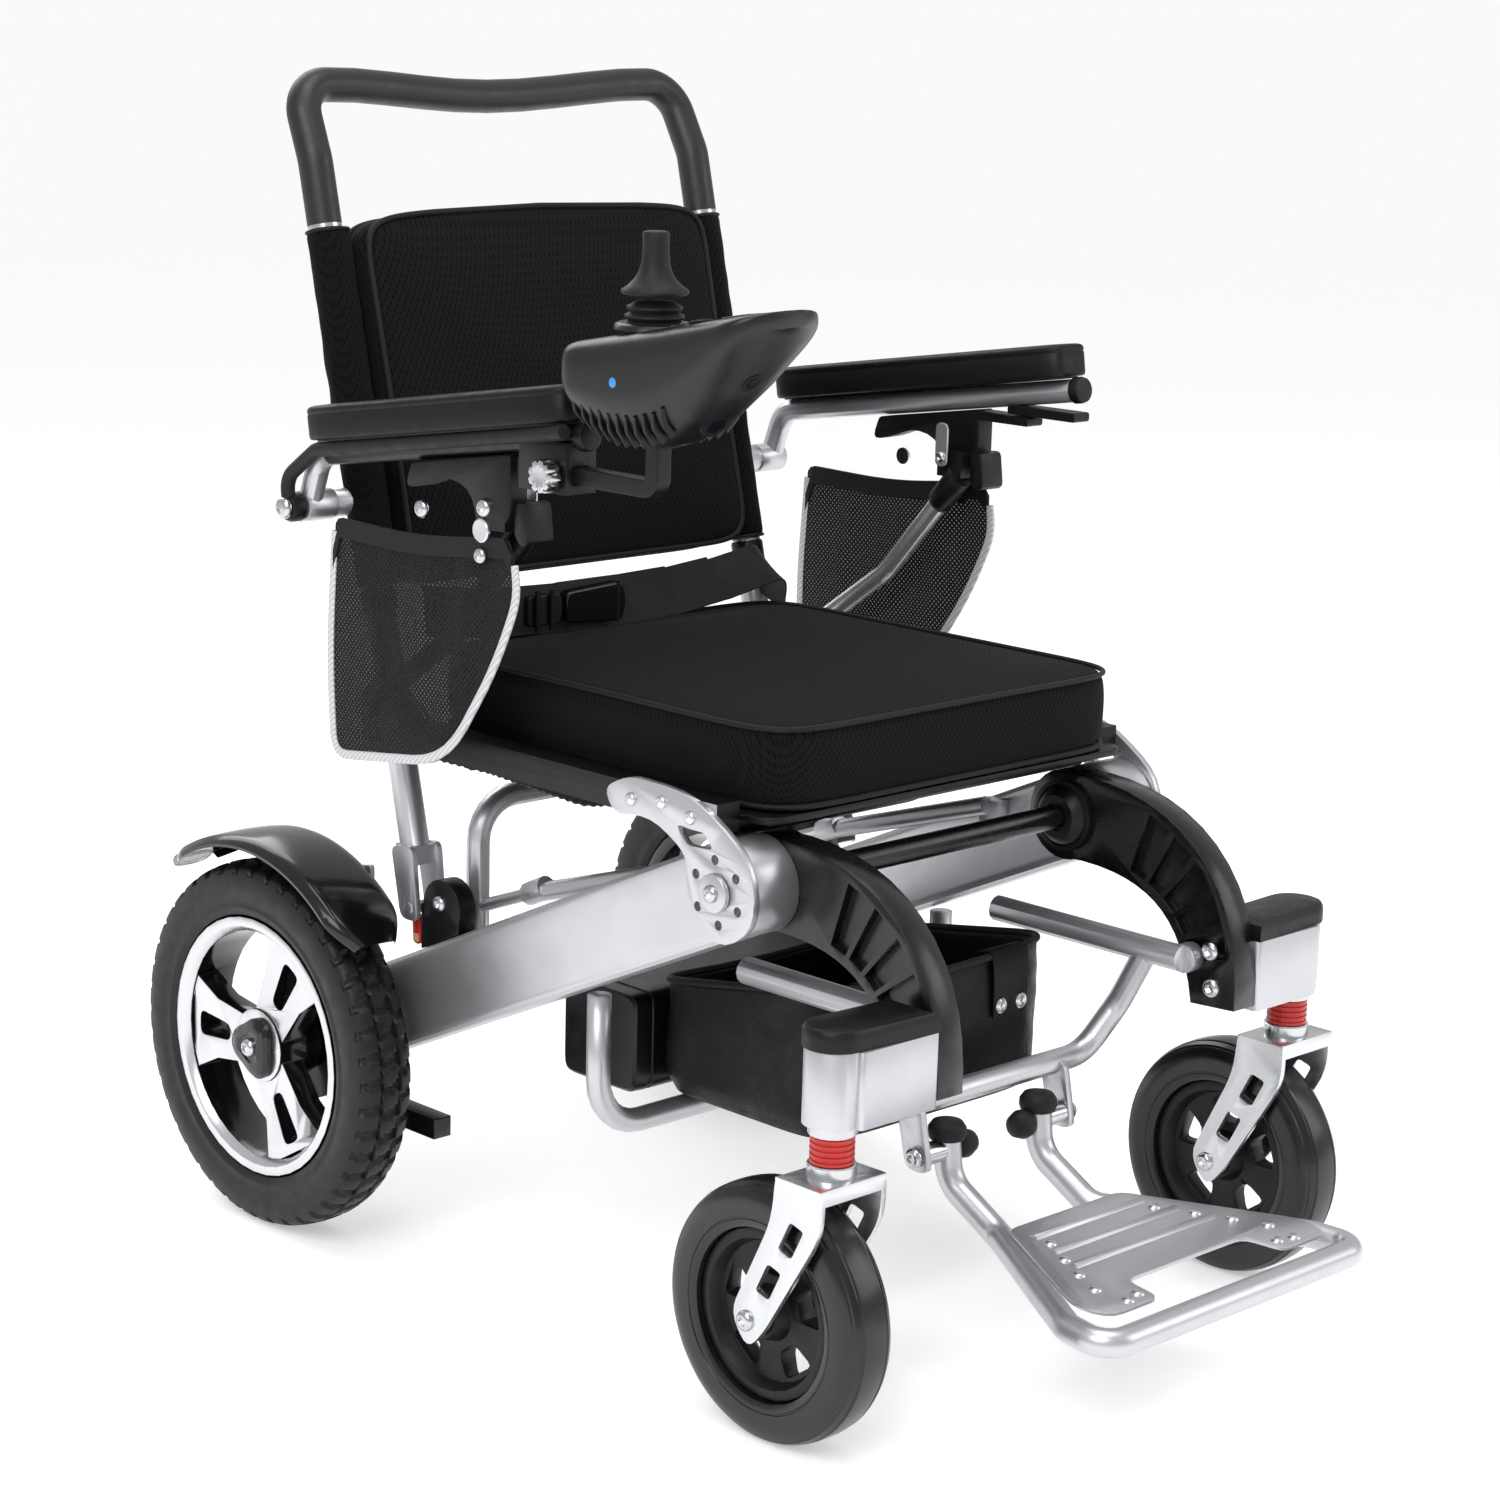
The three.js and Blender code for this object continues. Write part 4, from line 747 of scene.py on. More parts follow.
def bent_path(points: Sequence[Sequence[float]], bend: float, steps: int = 8) -> list[Vector]:
    """Rounds the corners of a line with arcs.

    Args:
        points: The line's corners.
        bend: The radius of each arc.
        steps: How many pieces each arc has.

    Returns:
        The rounded line's points.
    """
    corners = [Vector(p) for p in points]
    path = [corners[0]]
    for before, corner, after in zip(corners, corners[1:], corners[2:]):
        arrive = (corner - before).normalized()
        leave = (after - corner).normalized()
        turn = arrive.angle(leave)
        if turn < 1e-3:
            path.append(corner)
            continue
        inward = (leave - arrive).normalized()
        middle = (arrive + leave).normalized()
        room = 0.49 * min((corner - before).length, (after - corner).length) / math.tan(turn / 2)
        radius = min(bend, room)
        centre = corner + inward * (radius / math.cos(turn / 2))
        for step in range(steps + 1):
            swung = turn * (step / steps - 0.5)
            path.append(
                centre - inward * radius * math.cos(swung) + middle * radius * math.sin(swung)
            )
    path.append(corners[-1])
    return path


def sweep(
    name: str, path: Sequence[Vector], section: Profile | float, finish: Finish, sides: int = 20,
    closed: bool = False, up: Sequence[float] | None = None, sharp: float = 40.0,
    taper: Callable[[float], float] | None = None,
) -> bpy.types.Object:
    """Carries a section along a path.

    Args:
        name: The piece's name.
        path: The points that the section's middle follows.
        section: A radius, or points of a closed outline.
        finish: What it is made of.
        sides: How many sides a round section has.
        closed: Whether the path runs back to its start.
        up: Where the outline's second direction points at the start.
        sharp: Degrees beyond which an edge shows.
        taper: The section's scale at a share of the path.

    Returns:
        The new object.
    """
    if isinstance(section, (int, float)):
        outline = [
            (
                section * math.cos(2 * math.pi * i / sides),
                section * math.sin(2 * math.pi * i / sides),
            )
            for i in range(sides)
        ]
    else:
        outline = list(section)
    count = len(path)
    tangents = []
    for i in range(count):
        ahead = path[(i + 1) % count] if closed or i < count - 1 else path[i]
        behind = path[i - 1] if closed or i > 0 else path[i]
        tangents.append((ahead - behind).normalized())
    guide = Vector(up) if up else (
        Vector((0, 0, 1)) if abs(tangents[0].z) < 0.9 else Vector((1, 0, 0))
    )
    rings = []
    for i, (at, tangent) in enumerate(zip(path, tangents)):
        guide = (guide - tangent * guide.dot(tangent)).normalized()
        across = guide.cross(tangent)
        grow = taper(i / max(count - 1, 1)) if taper else 1.0
        rings.append([at + across * u * grow + guide * v * grow for u, v in outline])
    if closed:
        rings.append(rings[0])
    return loft(name, rings, finish, caps=not closed, sharp=sharp)


def rounded_outline(points: Sequence[Sequence[float]], radius: float, steps: int = 5) -> list[
    tuple[float, float]
]:
    """Rounds a closed outline's corners; a third number at a corner is its own radius."""
    outline = []
    count = len(points)
    for i, corner in enumerate(points):
        here = Vector(corner[:2])
        before = Vector(points[i - 1][:2]) - here
        after = Vector(points[(i + 1) % count][:2]) - here
        reach = min(
            corner[2] if len(corner) > 2 else radius, before.length * 0.49, after.length * 0.49
        )
        start = here + before.normalized() * reach
        end = here + after.normalized() * reach
        for step in range(steps + 1):
            t = step / steps
            at = start * (1 - t) ** 2 + here * 2 * t * (1 - t) + end * t * t
            outline.append((at.x, at.y))
    return outline


def slab(
    name: str, outline: Sequence[tuple[float, float]], low: float, high: float, axis: Axis,
    finish: Finish, edge: float = 0.0, sharp: float = 32.0,
) -> bpy.types.Object:
    """Gives a flat outline a thickness, with eased edges.

    Args:
        name: The piece's name.
        outline: Points in the plane across the axis, in the frame's own order.
        low: Where it starts along the axis.
        high: Where it ends along the axis.
        axis: The direction of its thickness.
        finish: What it is made of.
        edge: The size of the eased edges.
        sharp: Degrees beyond which an edge shows.

    Returns:
        The new object.
    """
    places = {
        Axis.X: lambda u, v, w: Vector((w, u, v)),
        Axis.Y: lambda u, v, w: Vector((u, w, v)),
        Axis.Z: lambda u, v, w: Vector((u, v, w)),
    }[axis]
    rings = [[places(u, v, w) for u, v in outline] for w in (low, high)]
    obj = loft(name, rings, finish, sharp=sharp)
    if edge:
        ease(obj, edge)
    return obj


def ease(obj: bpy.types.Object, width: float, segments: int = 2, angle: float = 30.0) -> None:
    """Eases an object's sharp edges with a small bevel."""
    bevel = obj.modifiers.new("eased edges", "BEVEL")
    bevel.width = width
    bevel.segments = segments
    bevel.limit_method = "ANGLE"
    bevel.angle_limit = math.radians(angle)
    bevel.harden_normals = True


def dress(node: str, finish: Finish, edge: float = 0.6 * MM) -> None:
    """Gives a CAD node its finish, smooth shading and eased edges, and leaves its shape.

    Args:
        node: The node's name.
        finish: What it is made of.
        edge: The size of the eased edges, or 0 for none.
    """
    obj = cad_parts[node]
    obj.data.materials.clear()
    obj.data.materials.append(finish.material())
    obj.data.polygons.foreach_set("use_smooth", [True] * len(obj.data.polygons))
    weld = obj.modifiers.new("joined faces", "WELD")
    weld.merge_threshold = 1e-5
    if edge:
        ease(obj, edge)
    log.info("dressed %s with %s", node, finish.name)


def place(obj: bpy.types.Object, body: str, *replaced: str) -> bpy.types.Object:
    """Lets a piece ride on a body, and stand for CAD nodes where some are named."""
    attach(obj, body)
    if replaced:
        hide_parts(*replaced)
    log.info("made %s on %s", obj.name, body)
    return obj


def button_bolt(
    name: str, at: Sequence[float], direction: Sequence[float], radius: float, body: str,
    finish: Finish = ZINC,
) -> bpy.types.Object:
    """A domed bolt head with a hexagonal socket.

    Args:
        name: The piece's name.
        at: The middle of its seat.
        direction: Where the head points.
        radius: The head's radius.
        body: The CAD body that it rides on.
        finish: What it is made of.

    Returns:
        The new object.
    """
    tall = radius * 0.6
    profile = [
        (0, radius), (tall * 0.35, radius), (tall * 0.75, radius * 0.86), (tall, radius * 0.62)
    ]
    count = 24
    third = Vector(direction).normalized()
    first = third.orthogonal().normalized()
    second = third.cross(first)
    centre = Vector(at)

    def ring(along: float, radius_at: float, hexagon: float = 0.0) -> list[Vector]:
        """One ring of the head, round or partly hexagonal."""
        points = []
        for i in range(count):
            turn = 2 * math.pi * i / count
            flat = math.cos(math.pi / 6) / math.cos((turn % (math.pi / 3)) - math.pi / 6)
            r = radius_at * ((1 - hexagon) + hexagon * flat)
            points.append(
                centre + first * r * math.cos(turn) + second * r * math.sin(turn) + third * along
            )
        return points

    rings = [ring(a, r) for a, r in profile]
    rings.append(ring(tall, radius * 0.5, 1.0))
    rings.append(ring(tall * 0.4, radius * 0.48, 1.0))
    return place(loft(name, rings, finish, sharp=35), body)


def centre_of(node: str) -> Vector:
    """The middle of a CAD node's box."""
    return spans(node)[2]


def mm(*values: float) -> Vector:
    """A place or a size given in millimetres, in metres."""
    return Vector(values) * MM


def pairs_mm(*pairs: tuple[float, float]) -> list[tuple[float, float]]:
    """Pairs of sizes given in millimetres, in metres."""
    return [(a * MM, b * MM) for a, b in pairs]


def spans(node: str) -> tuple[Vector, Vector, Vector, Vector]:
    """A CAD node's box, as its low corner, high corner, middle and half size."""
    low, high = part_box(node)
    return low, high, (low + high) / 2, (high - low) / 2


def outer_x(node: str, side: Side) -> float:
    """The X of a CAD node's face that looks away from the chair's middle."""
    low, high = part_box(node)
    return high.x if side is Side.LEFT else low.x


def rounded_box(u0: float, v0: float, u1: float, v1: float, radius: float) -> Profile:
    """A rectangle between two corners, with rounded corners."""
    return rounded_outline([(u0, v0), (u1, v0), (u1, v1), (u0, v1)], radius)


def spaced(path: Sequence[Vector], gap: float) -> list[Vector]:
    """Adds points to a line, without its last point, so that none are a gap apart."""
    result = []
    for a, b in zip(path, path[1:]):
        steps = max(1, int((b - a).length / gap))
        result += [a.lerp(b, i / steps) for i in range(steps)]
    return result


def run_of(path: Sequence[Vector]) -> float:
    """The length of a line."""
    return sum((b - a).length for a, b in zip(path, path[1:]))


def noise_at(at: Vector, size: float, seed: float = 0.0) -> float:
    """Smooth noise from -1 to 1 at a place, with lumps of the given size."""
    return noise.noise(at / size + Vector((seed, seed * 1.7, -seed)))


def superellipse(half_u: float, half_v: float, power: float, count: int) -> list[
    tuple[float, float]
]:
    """Points of a rounded rectangle, from an ellipse at power 2 to a box at high powers."""
    points = []
    for i in range(count):
        turn = 2 * math.pi * i / count
        c, s = math.cos(turn), math.sin(turn)
        points.append(
            (
                half_u * math.copysign(abs(c) ** (2 / power), c),
                half_v * math.copysign(abs(s) ** (2 / power), s),
            )
        )
    return points


def outline_of(node: str, axis: Axis, high: bool = True) -> list[tuple[float, float]]:
    """The closed edge of a flat CAD node, seen along an axis.

    Args:
        node: The node's name.
        axis: The direction of its thickness.
        high: Whether the face with the larger coordinate is read.

    Returns:
        The edge's points in order, in the plane across the axis.
    """
    index = axis.value.index(1)
    work = bmesh.new()
    work.from_mesh(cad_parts[node].data)
    bmesh.ops.remove_doubles(work, verts=work.verts, dist=1e-5)
    level = (max if high else min)(v.co[index] for v in work.verts)
    faces = [f for f in work.faces if all(abs(v.co[index] - level) < 2e-4 for v in f.verts)]
    chosen = set(faces)
    following = {}
    for face in faces:
        for loop in face.loops:
            if sum(other in chosen for other in loop.edge.link_faces) == 1:
                following[loop.vert.index] = (loop.link_loop_next.vert.index, loop.vert.co.copy())
    start = next(iter(following))
    at, points = start, []
    others = [i for i in range(3) if i != index]
    while True:
        after, co = following.pop(at)
        points.append((co[others[0]], co[others[1]]))
        at = after
        if at == start or at not in following:
            break
    work.free()
    return points


def resample(points: Sequence[tuple[float, float]], count: int) -> list[tuple[float, float]]:
    """Spreads a number of points evenly along a closed outline."""
    closed = [Vector(p) for p in points] + [Vector(points[0])]
    lengths = [0.0]
    for a, b in zip(closed, closed[1:]):
        lengths.append(lengths[-1] + (b - a).length)
    result, j = [], 0
    for i in range(count):
        goal = lengths[-1] * i / count
        while lengths[j + 1] < goal:
            j += 1
        t = (goal - lengths[j]) / max(lengths[j + 1] - lengths[j], 1e-9)
        at = closed[j].lerp(closed[j + 1], t)
        result.append((at.x, at.y))
    return result


def plump(
    obj: bpy.types.Object, seams: Sequence[Sequence[Vector]], cap: float, voxel: float = 5 * MM,
    pressure: float = 4.0,
) -> None:
    """Fills a cover with air as cloth, held along its seams, and keeps the shape that it takes.

    Args:
        obj: The cover, a closed form.
        seams: Closed lines of points that the sewing holds in place.
        cap: The furthest that any point may move, in metres.
        voxel: The size of the remesh.
        pressure: The pressure inside.
    """
    remesh = obj.modifiers.new("even mesh", "REMESH")
    remesh.mode = "VOXEL"
    remesh.voxel_size = voxel
    baked = bpy.data.meshes.new_from_object(
        obj.evaluated_get(bpy.context.evaluated_depsgraph_get())
    )
    material = obj.data.materials[0]
    obj.modifiers.clear()
    obj.data = baked
    baked.materials.clear()
    baked.materials.append(material)
    tree = KDTree(sum(len(s) for s in seams))
    for i, point in enumerate(p for seam in seams for p in seam):
        tree.insert(point, i)
    tree.balance()
    held = obj.vertex_groups.new(name="seams")
    held.add(
        [v.index for v in baked.vertices if tree.find(v.co)[2] < voxel * 1.3], 1.0, "REPLACE"
    )
    before = [v.co.copy() for v in baked.vertices]
    cloth = obj.modifiers.new("cloth", "CLOTH")
    cloth.settings.quality = 5
    cloth.settings.use_pressure = True
    cloth.settings.uniform_pressure_force = pressure
    cloth.settings.effector_weights.gravity = 0
    cloth.settings.vertex_group_mass = "seams"
    cloth.settings.tension_stiffness = 12
    cloth.settings.compression_stiffness = 12
    cloth.settings.bending_stiffness = 0.6
    cloth.point_cache.frame_start = 1
    cloth.point_cache.frame_end = 20
    for step in range(1, 21):
        bpy.context.scene.frame_set(step)
    swollen = obj.evaluated_get(bpy.context.evaluated_depsgraph_get()).data
    after = [v.co.copy() for v in swollen.vertices]
    obj.modifiers.clear()
    for vertex, old, new in zip(baked.vertices, before, after):
        move = new - old
        if move.length > cap:
            move *= cap / move.length
        vertex.co = old + move
    obj.vertex_groups.clear()
    bpy.context.scene.frame_set(1)
    smooth = obj.modifiers.new("settled", "SMOOTH")
    smooth.factor = 0.5
    smooth.iterations = 3
    finer = obj.modifiers.new("finer", "SUBSURF")
    finer.levels = 1
    finer.render_levels = 1
    obj.data.shade_smooth()


def closed_line(
    points: Sequence[Vector], radius: float, name: str, finish: Finish
) -> bpy.types.Object:
    """Piping along a closed line."""
    return sweep(name, list(points), radius, finish, sides=10, closed=True)


def dress_faces(
    node: str, finishes: Sequence[Finish], rule: Callable[[Vector, Vector], int],
    edge: float = 0.6 * MM,
) -> None:
    """Dresses a CAD node with several finishes, chosen face by face.

    Args:
        node: The node's name.
        finishes: The finishes.
        rule: Picks a finish's number from a face's middle and normal.
        edge: The size of the eased edges.
    """
    dress(node, finishes[0], edge)
    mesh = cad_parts[node].data
    for finish in finishes[1:]:
        mesh.materials.append(finish.material())
    for polygon in mesh.polygons:
        polygon.material_index = rule(polygon.center, polygon.normal)


# ---------------------------------------------------------------- seat


@dataclass
class Seat:
    """The seat: rails and plates, the boxed cushion, the lap belt and what hangs under it.

    Attributes:
        piping: Radius of the sewn edge cord.
        crown: Rise of the cushion's top between its seams.
        belt_width: Width of the lap belt.
        belt_keep: Share of the seat's length that the folding back leaves to the belt; not used.
        belt: The belt's lower edge from left to right, in millimetres.
    """

    piping: float = 2.2 * MM
    crown: float = 5 * MM
    belt_width: float = 44 * MM
    belt_keep: float = 0.68
    belt: tuple[tuple[float, float, float], ...] = (
        (211, 226, 500), (203, 214, 532), (176, 202, 535), (120, 199, 526), (60, 199, 519),
        (0, 199, 517), (-70, 201, 517), (-150, 208, 519), (-204, 226, 524),
    )

    def build(self) -> None:
        """Makes the seat."""
        for side in Side:
            self.rail(side)
            dress(f"arm_post_{side.tag}", ALUMINIUM, 0.5 * MM)
            self.rivets(side)
        dress_faces("pivot_shaft", (CAST_BLACK, ALUMINIUM), self.shaft_end, 0.8 * MM)
        dress("seat_pan", ABS_BLACK, 0.8 * MM)
        self.cushion()
        self.lap_belt()
        self.control_box()
        self.looms()

    @staticmethod
    def shaft_end(middle: Vector, normal: Vector) -> int:
        """Bare metal where the pivot shaft comes out of its hubs, black between them."""
        return 1 if abs(middle.x) > 236 * MM else 0

    @staticmethod
    def rail(side: Side) -> None:
        """The side rail with its plates: bare metal, but black where a sleeve covers the rail."""

        def rule(middle: Vector, normal: Vector) -> int:
            """Black on the rail's rear two thirds."""
            sleeve = -20 * MM < middle.y < 150 * MM
            covered = sleeve or abs(normal.x) < 0.5 and middle.y < -20 * MM
            return 1 if covered and abs(middle.x) < 233 * MM else 0

        dress_faces(f"seat_side_{side.tag}", (ALUMINIUM, ABS_BLACK), rule, 0.8 * MM)

    def cushion(self) -> None:
        """The boxed cushion: a crowned top and belled side bands between two piped seams."""
        low, high, middle, half = spans("seat_cushion")
        inset = 3 * MM
        base = superellipse(half.x - inset, half.y - inset, 9, 120)

        def ring(scale: float, z: float, bell: float = 0.0) -> list[Vector]:
            """One ring of the cover, pulled in a little between its corners."""
            points = []
            for u, v in base:
                pull_u = 1 - 0.012 * (1 - (v / half.y) ** 2)
                pull_v = 1 - 0.012 * (1 - (u / half.x) ** 2)
                across = Vector((u, v)).normalized() * bell
                points.append(
                    Vector(
                        (
                            middle.x + u * scale * pull_u + across.x,
                            middle.y + v * scale * pull_v + across.y, z,
                        )
                    )
                )
            return points

        bottom, top = low.z + 4 * MM, high.z - 6 * MM
        rings = [ring(s, bottom - 1 * MM) for s in (0.05, 0.4, 0.75, 0.95)]
        rings.append(ring(0.992, bottom))
        for share, bell in ((0.1, 1.2), (0.35, 2.6), (0.65, 2.8), (0.9, 1.4)):
            rings.append(ring(1.0, bottom + (top - bottom) * share, bell * MM))
        rings.append(ring(0.992, top))
        for s in (0.96, 0.88, 0.7, 0.4, 0.05):
            rings.append(ring(s, top + self.crown * (1 - s**4)))
        cover = loft("seat_cover", rings, SPACER, sharp=180)
        seams = [self.dense(ring(0.995, bottom)), self.dense(ring(0.995, top))]
        plump(cover, seams, 6 * MM)
        place(cover, "seat_frame", "seat_cushion")
        for tag, z in (("upper", top), ("lower", bottom)):
            line = ring(1.0, z, 0.6 * MM)
            place(closed_line(line, self.piping, f"seat_piping_{tag}", NYLON), "seat_frame")

    @staticmethod
    def dense(line: Sequence[Vector]) -> list[Vector]:
        """Adds points to a closed line so that none are far apart."""
        return spaced([*line, line[0]], 4 * MM)

    def lap_belt(self) -> None:
        """The lap belt laid along the seat's rear edge, with its side-release buckle."""
        rough = bent_path([mm(*p) for p in self.belt], 90 * MM, 12)
        path = [rough[0]]
        for a, b in zip(rough, rough[1:]):
            steps = max(1, round((b - a).length / (6 * MM)))
            path += [a.lerp(b, i / steps) for i in range(1, steps + 1)]
        count = len(path)
        half = self.belt_width / 2
        across = (-1, -0.5, 0, 0.5, 1)
        section = [*((u, -1) for u in across), *((u, 1) for u in reversed(across))]
        rings = []
        for i, at in enumerate(path):
            along = (path[min(i + 2, count - 1)] - path[max(i - 2, 0)]).normalized()
            share = i / (count - 1)
            lean = 0.42 + 0.55 * (1 - share) ** 2 + 0.12 * math.sin(9 * share)
            up = Vector((0, math.sin(lean), math.cos(lean)))
            up = (up - along * up.dot(along)).normalized()
            out = along.cross(up)
            ripple = 1.8 * MM * math.sin(17 * share)
            ring = []
            for u, v in section:
                lift = half * u + half * 0.9
                ring.append(at + up * lift + out * (v * 0.8 * MM + ripple * (1 - u * u)))
            rings.append(ring)
        belt = loft("lap_belt", rings, NYLON)
        place(belt, "seat_frame")
        self.slide(belt)
        flat = (self.belt_width, run_of(path))
        self.buckle(mm(-48, 198, 538))

    def buckle(self, at: Vector) -> None:
        """The side-release buckle: socket, two prongs and the bar that the webbing turns round."""
        outline = rounded_outline(
            [(-34, -15), (30, -19), (34, 0), (30, 19), (-34, 15)], 7
        )
        body = slab(
            "belt_buckle_socket", [(at.x + u * MM, at.z + v * MM * 0.9) for u, v in outline],
            at.y - 9 * MM, at.y + 3 * MM, Axis.Y, ABS_GLOSS, 2 * MM,
        )
        place(body, "seat_frame")
        self.slide(body)
        tongue = rounded_outline(
            [(-74, -13), (-40, -13), (-36, -8), (-36, 8), (-40, 13), (-74, 13)], 4
        )
        grip = slab(
            "belt_buckle_tongue", [(at.x + u * MM, at.z + v * MM) for u, v in tongue],
            at.y - 6 * MM, at.y + 2 * MM, Axis.Y, ABS_BLACK, 1.5 * MM,
        )
        place(grip, "seat_frame")
        self.slide(grip)
        for i, x in enumerate((-66, -50, 24)):
            bar = sweep(
                f"belt_buckle_bar_{i}", [at + mm(x, -8, -17), at + mm(x, -8, 17)], 2.2 * MM,
                ABS_BLACK, sides=12,
            )
            place(bar, "seat_frame")
            self.slide(bar)

    def slide(self, piece: bpy.types.Object) -> None:
        """Gives a piece of the belt a mesh of its own."""
        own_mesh(piece)

    def rivets(self, side: Side) -> None:
        """Three round rivets through the boomerang plate, and the hub bolt."""
        face = outer_x(f"seat_side_{side.tag}", side)
        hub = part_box("pivot_shaft")
        for i, (back, up) in enumerate(((30, 64), (62, 70), (96, 66))):
            at = Vector(
                (face, (hub[0].y + hub[1].y) / 2 + back * MM, hub[1].z - 15 * MM + (up - 12) * MM)
            )
            button_bolt(
                f"plate_rivet_{side.tag}_{i}", at, (side.value, 0, 0), 5.5 * MM, "seat_frame",
                BRIGHT_ALUMINIUM,
            )
        middle = centre_of("pivot_shaft")
        end = (outer_x("pivot_shaft", side), middle.y, middle.z)
        button_bolt(f"hub_bolt_{side.tag}", end, (side.value, 0, 0), 7 * MM, "seat_frame")

    def control_box(self) -> None:
        """The control box: a moulded case with a lid line and ribs."""
        low, high, middle, half = spans("control_box")
        rings = []
        for z, grow in (
            (low.z, 0.9), (low.z + 3 * MM, 0.98), (high.z - 14 * MM, 1.0),
            (high.z - 13 * MM, 0.975), (high.z - 11 * MM, 0.975), (high.z - 10 * MM, 1.0),
            (high.z - 2 * MM, 0.99), (high.z, 0.95),
        ):
            rings.append(
                [
                    Vector((middle.x + u * grow, middle.y + v * grow, z))
                    for u, v in superellipse(half.x, half.y, 12, 64)
                ]
            )
        place(loft("control_case", rings, ABS_BLACK), "seat_frame", "control_box")
        for i in range(7):
            y = low.y + (18 + i * 15.5) * MM
            rib = slab(
                f"control_case_rib_{i}",
                rounded_box(low.x + 8 * MM, y, high.x - 8 * MM, y + 4 * MM, 1.5 * MM),
                low.z - 2.5 * MM, low.z + 1 * MM, Axis.Z, ABS_BLACK, 0.6 * MM,
            )
            place(rib, "seat_frame")

    def looms(self) -> None:
        """The wiring that runs from the control box to the rear, in corrugated sleeves."""
        route = ((40, 24, 418), (70, 60, 398), (120, 120, 392), (160, 190, 412), (196, 226, 424))
        for side in Side:
            points = [mm(side.value * x, y, z) for x, y, z in route]
            path = spaced(bent_path(points, 40 * MM, 8), 1.6 * MM)
            turns = len(path) * 1.6
            loom = sweep(
                f"wiring_loom_{side.tag}", path, 7 * MM, SOFT_RUBBER, sides=14, sharp=60,
                taper=lambda t, turns=turns: 1 + 0.09 * math.sin(t * turns),
            )
            place(loom, "seat_frame")


# ---------------------------------------------------------------- rear frame


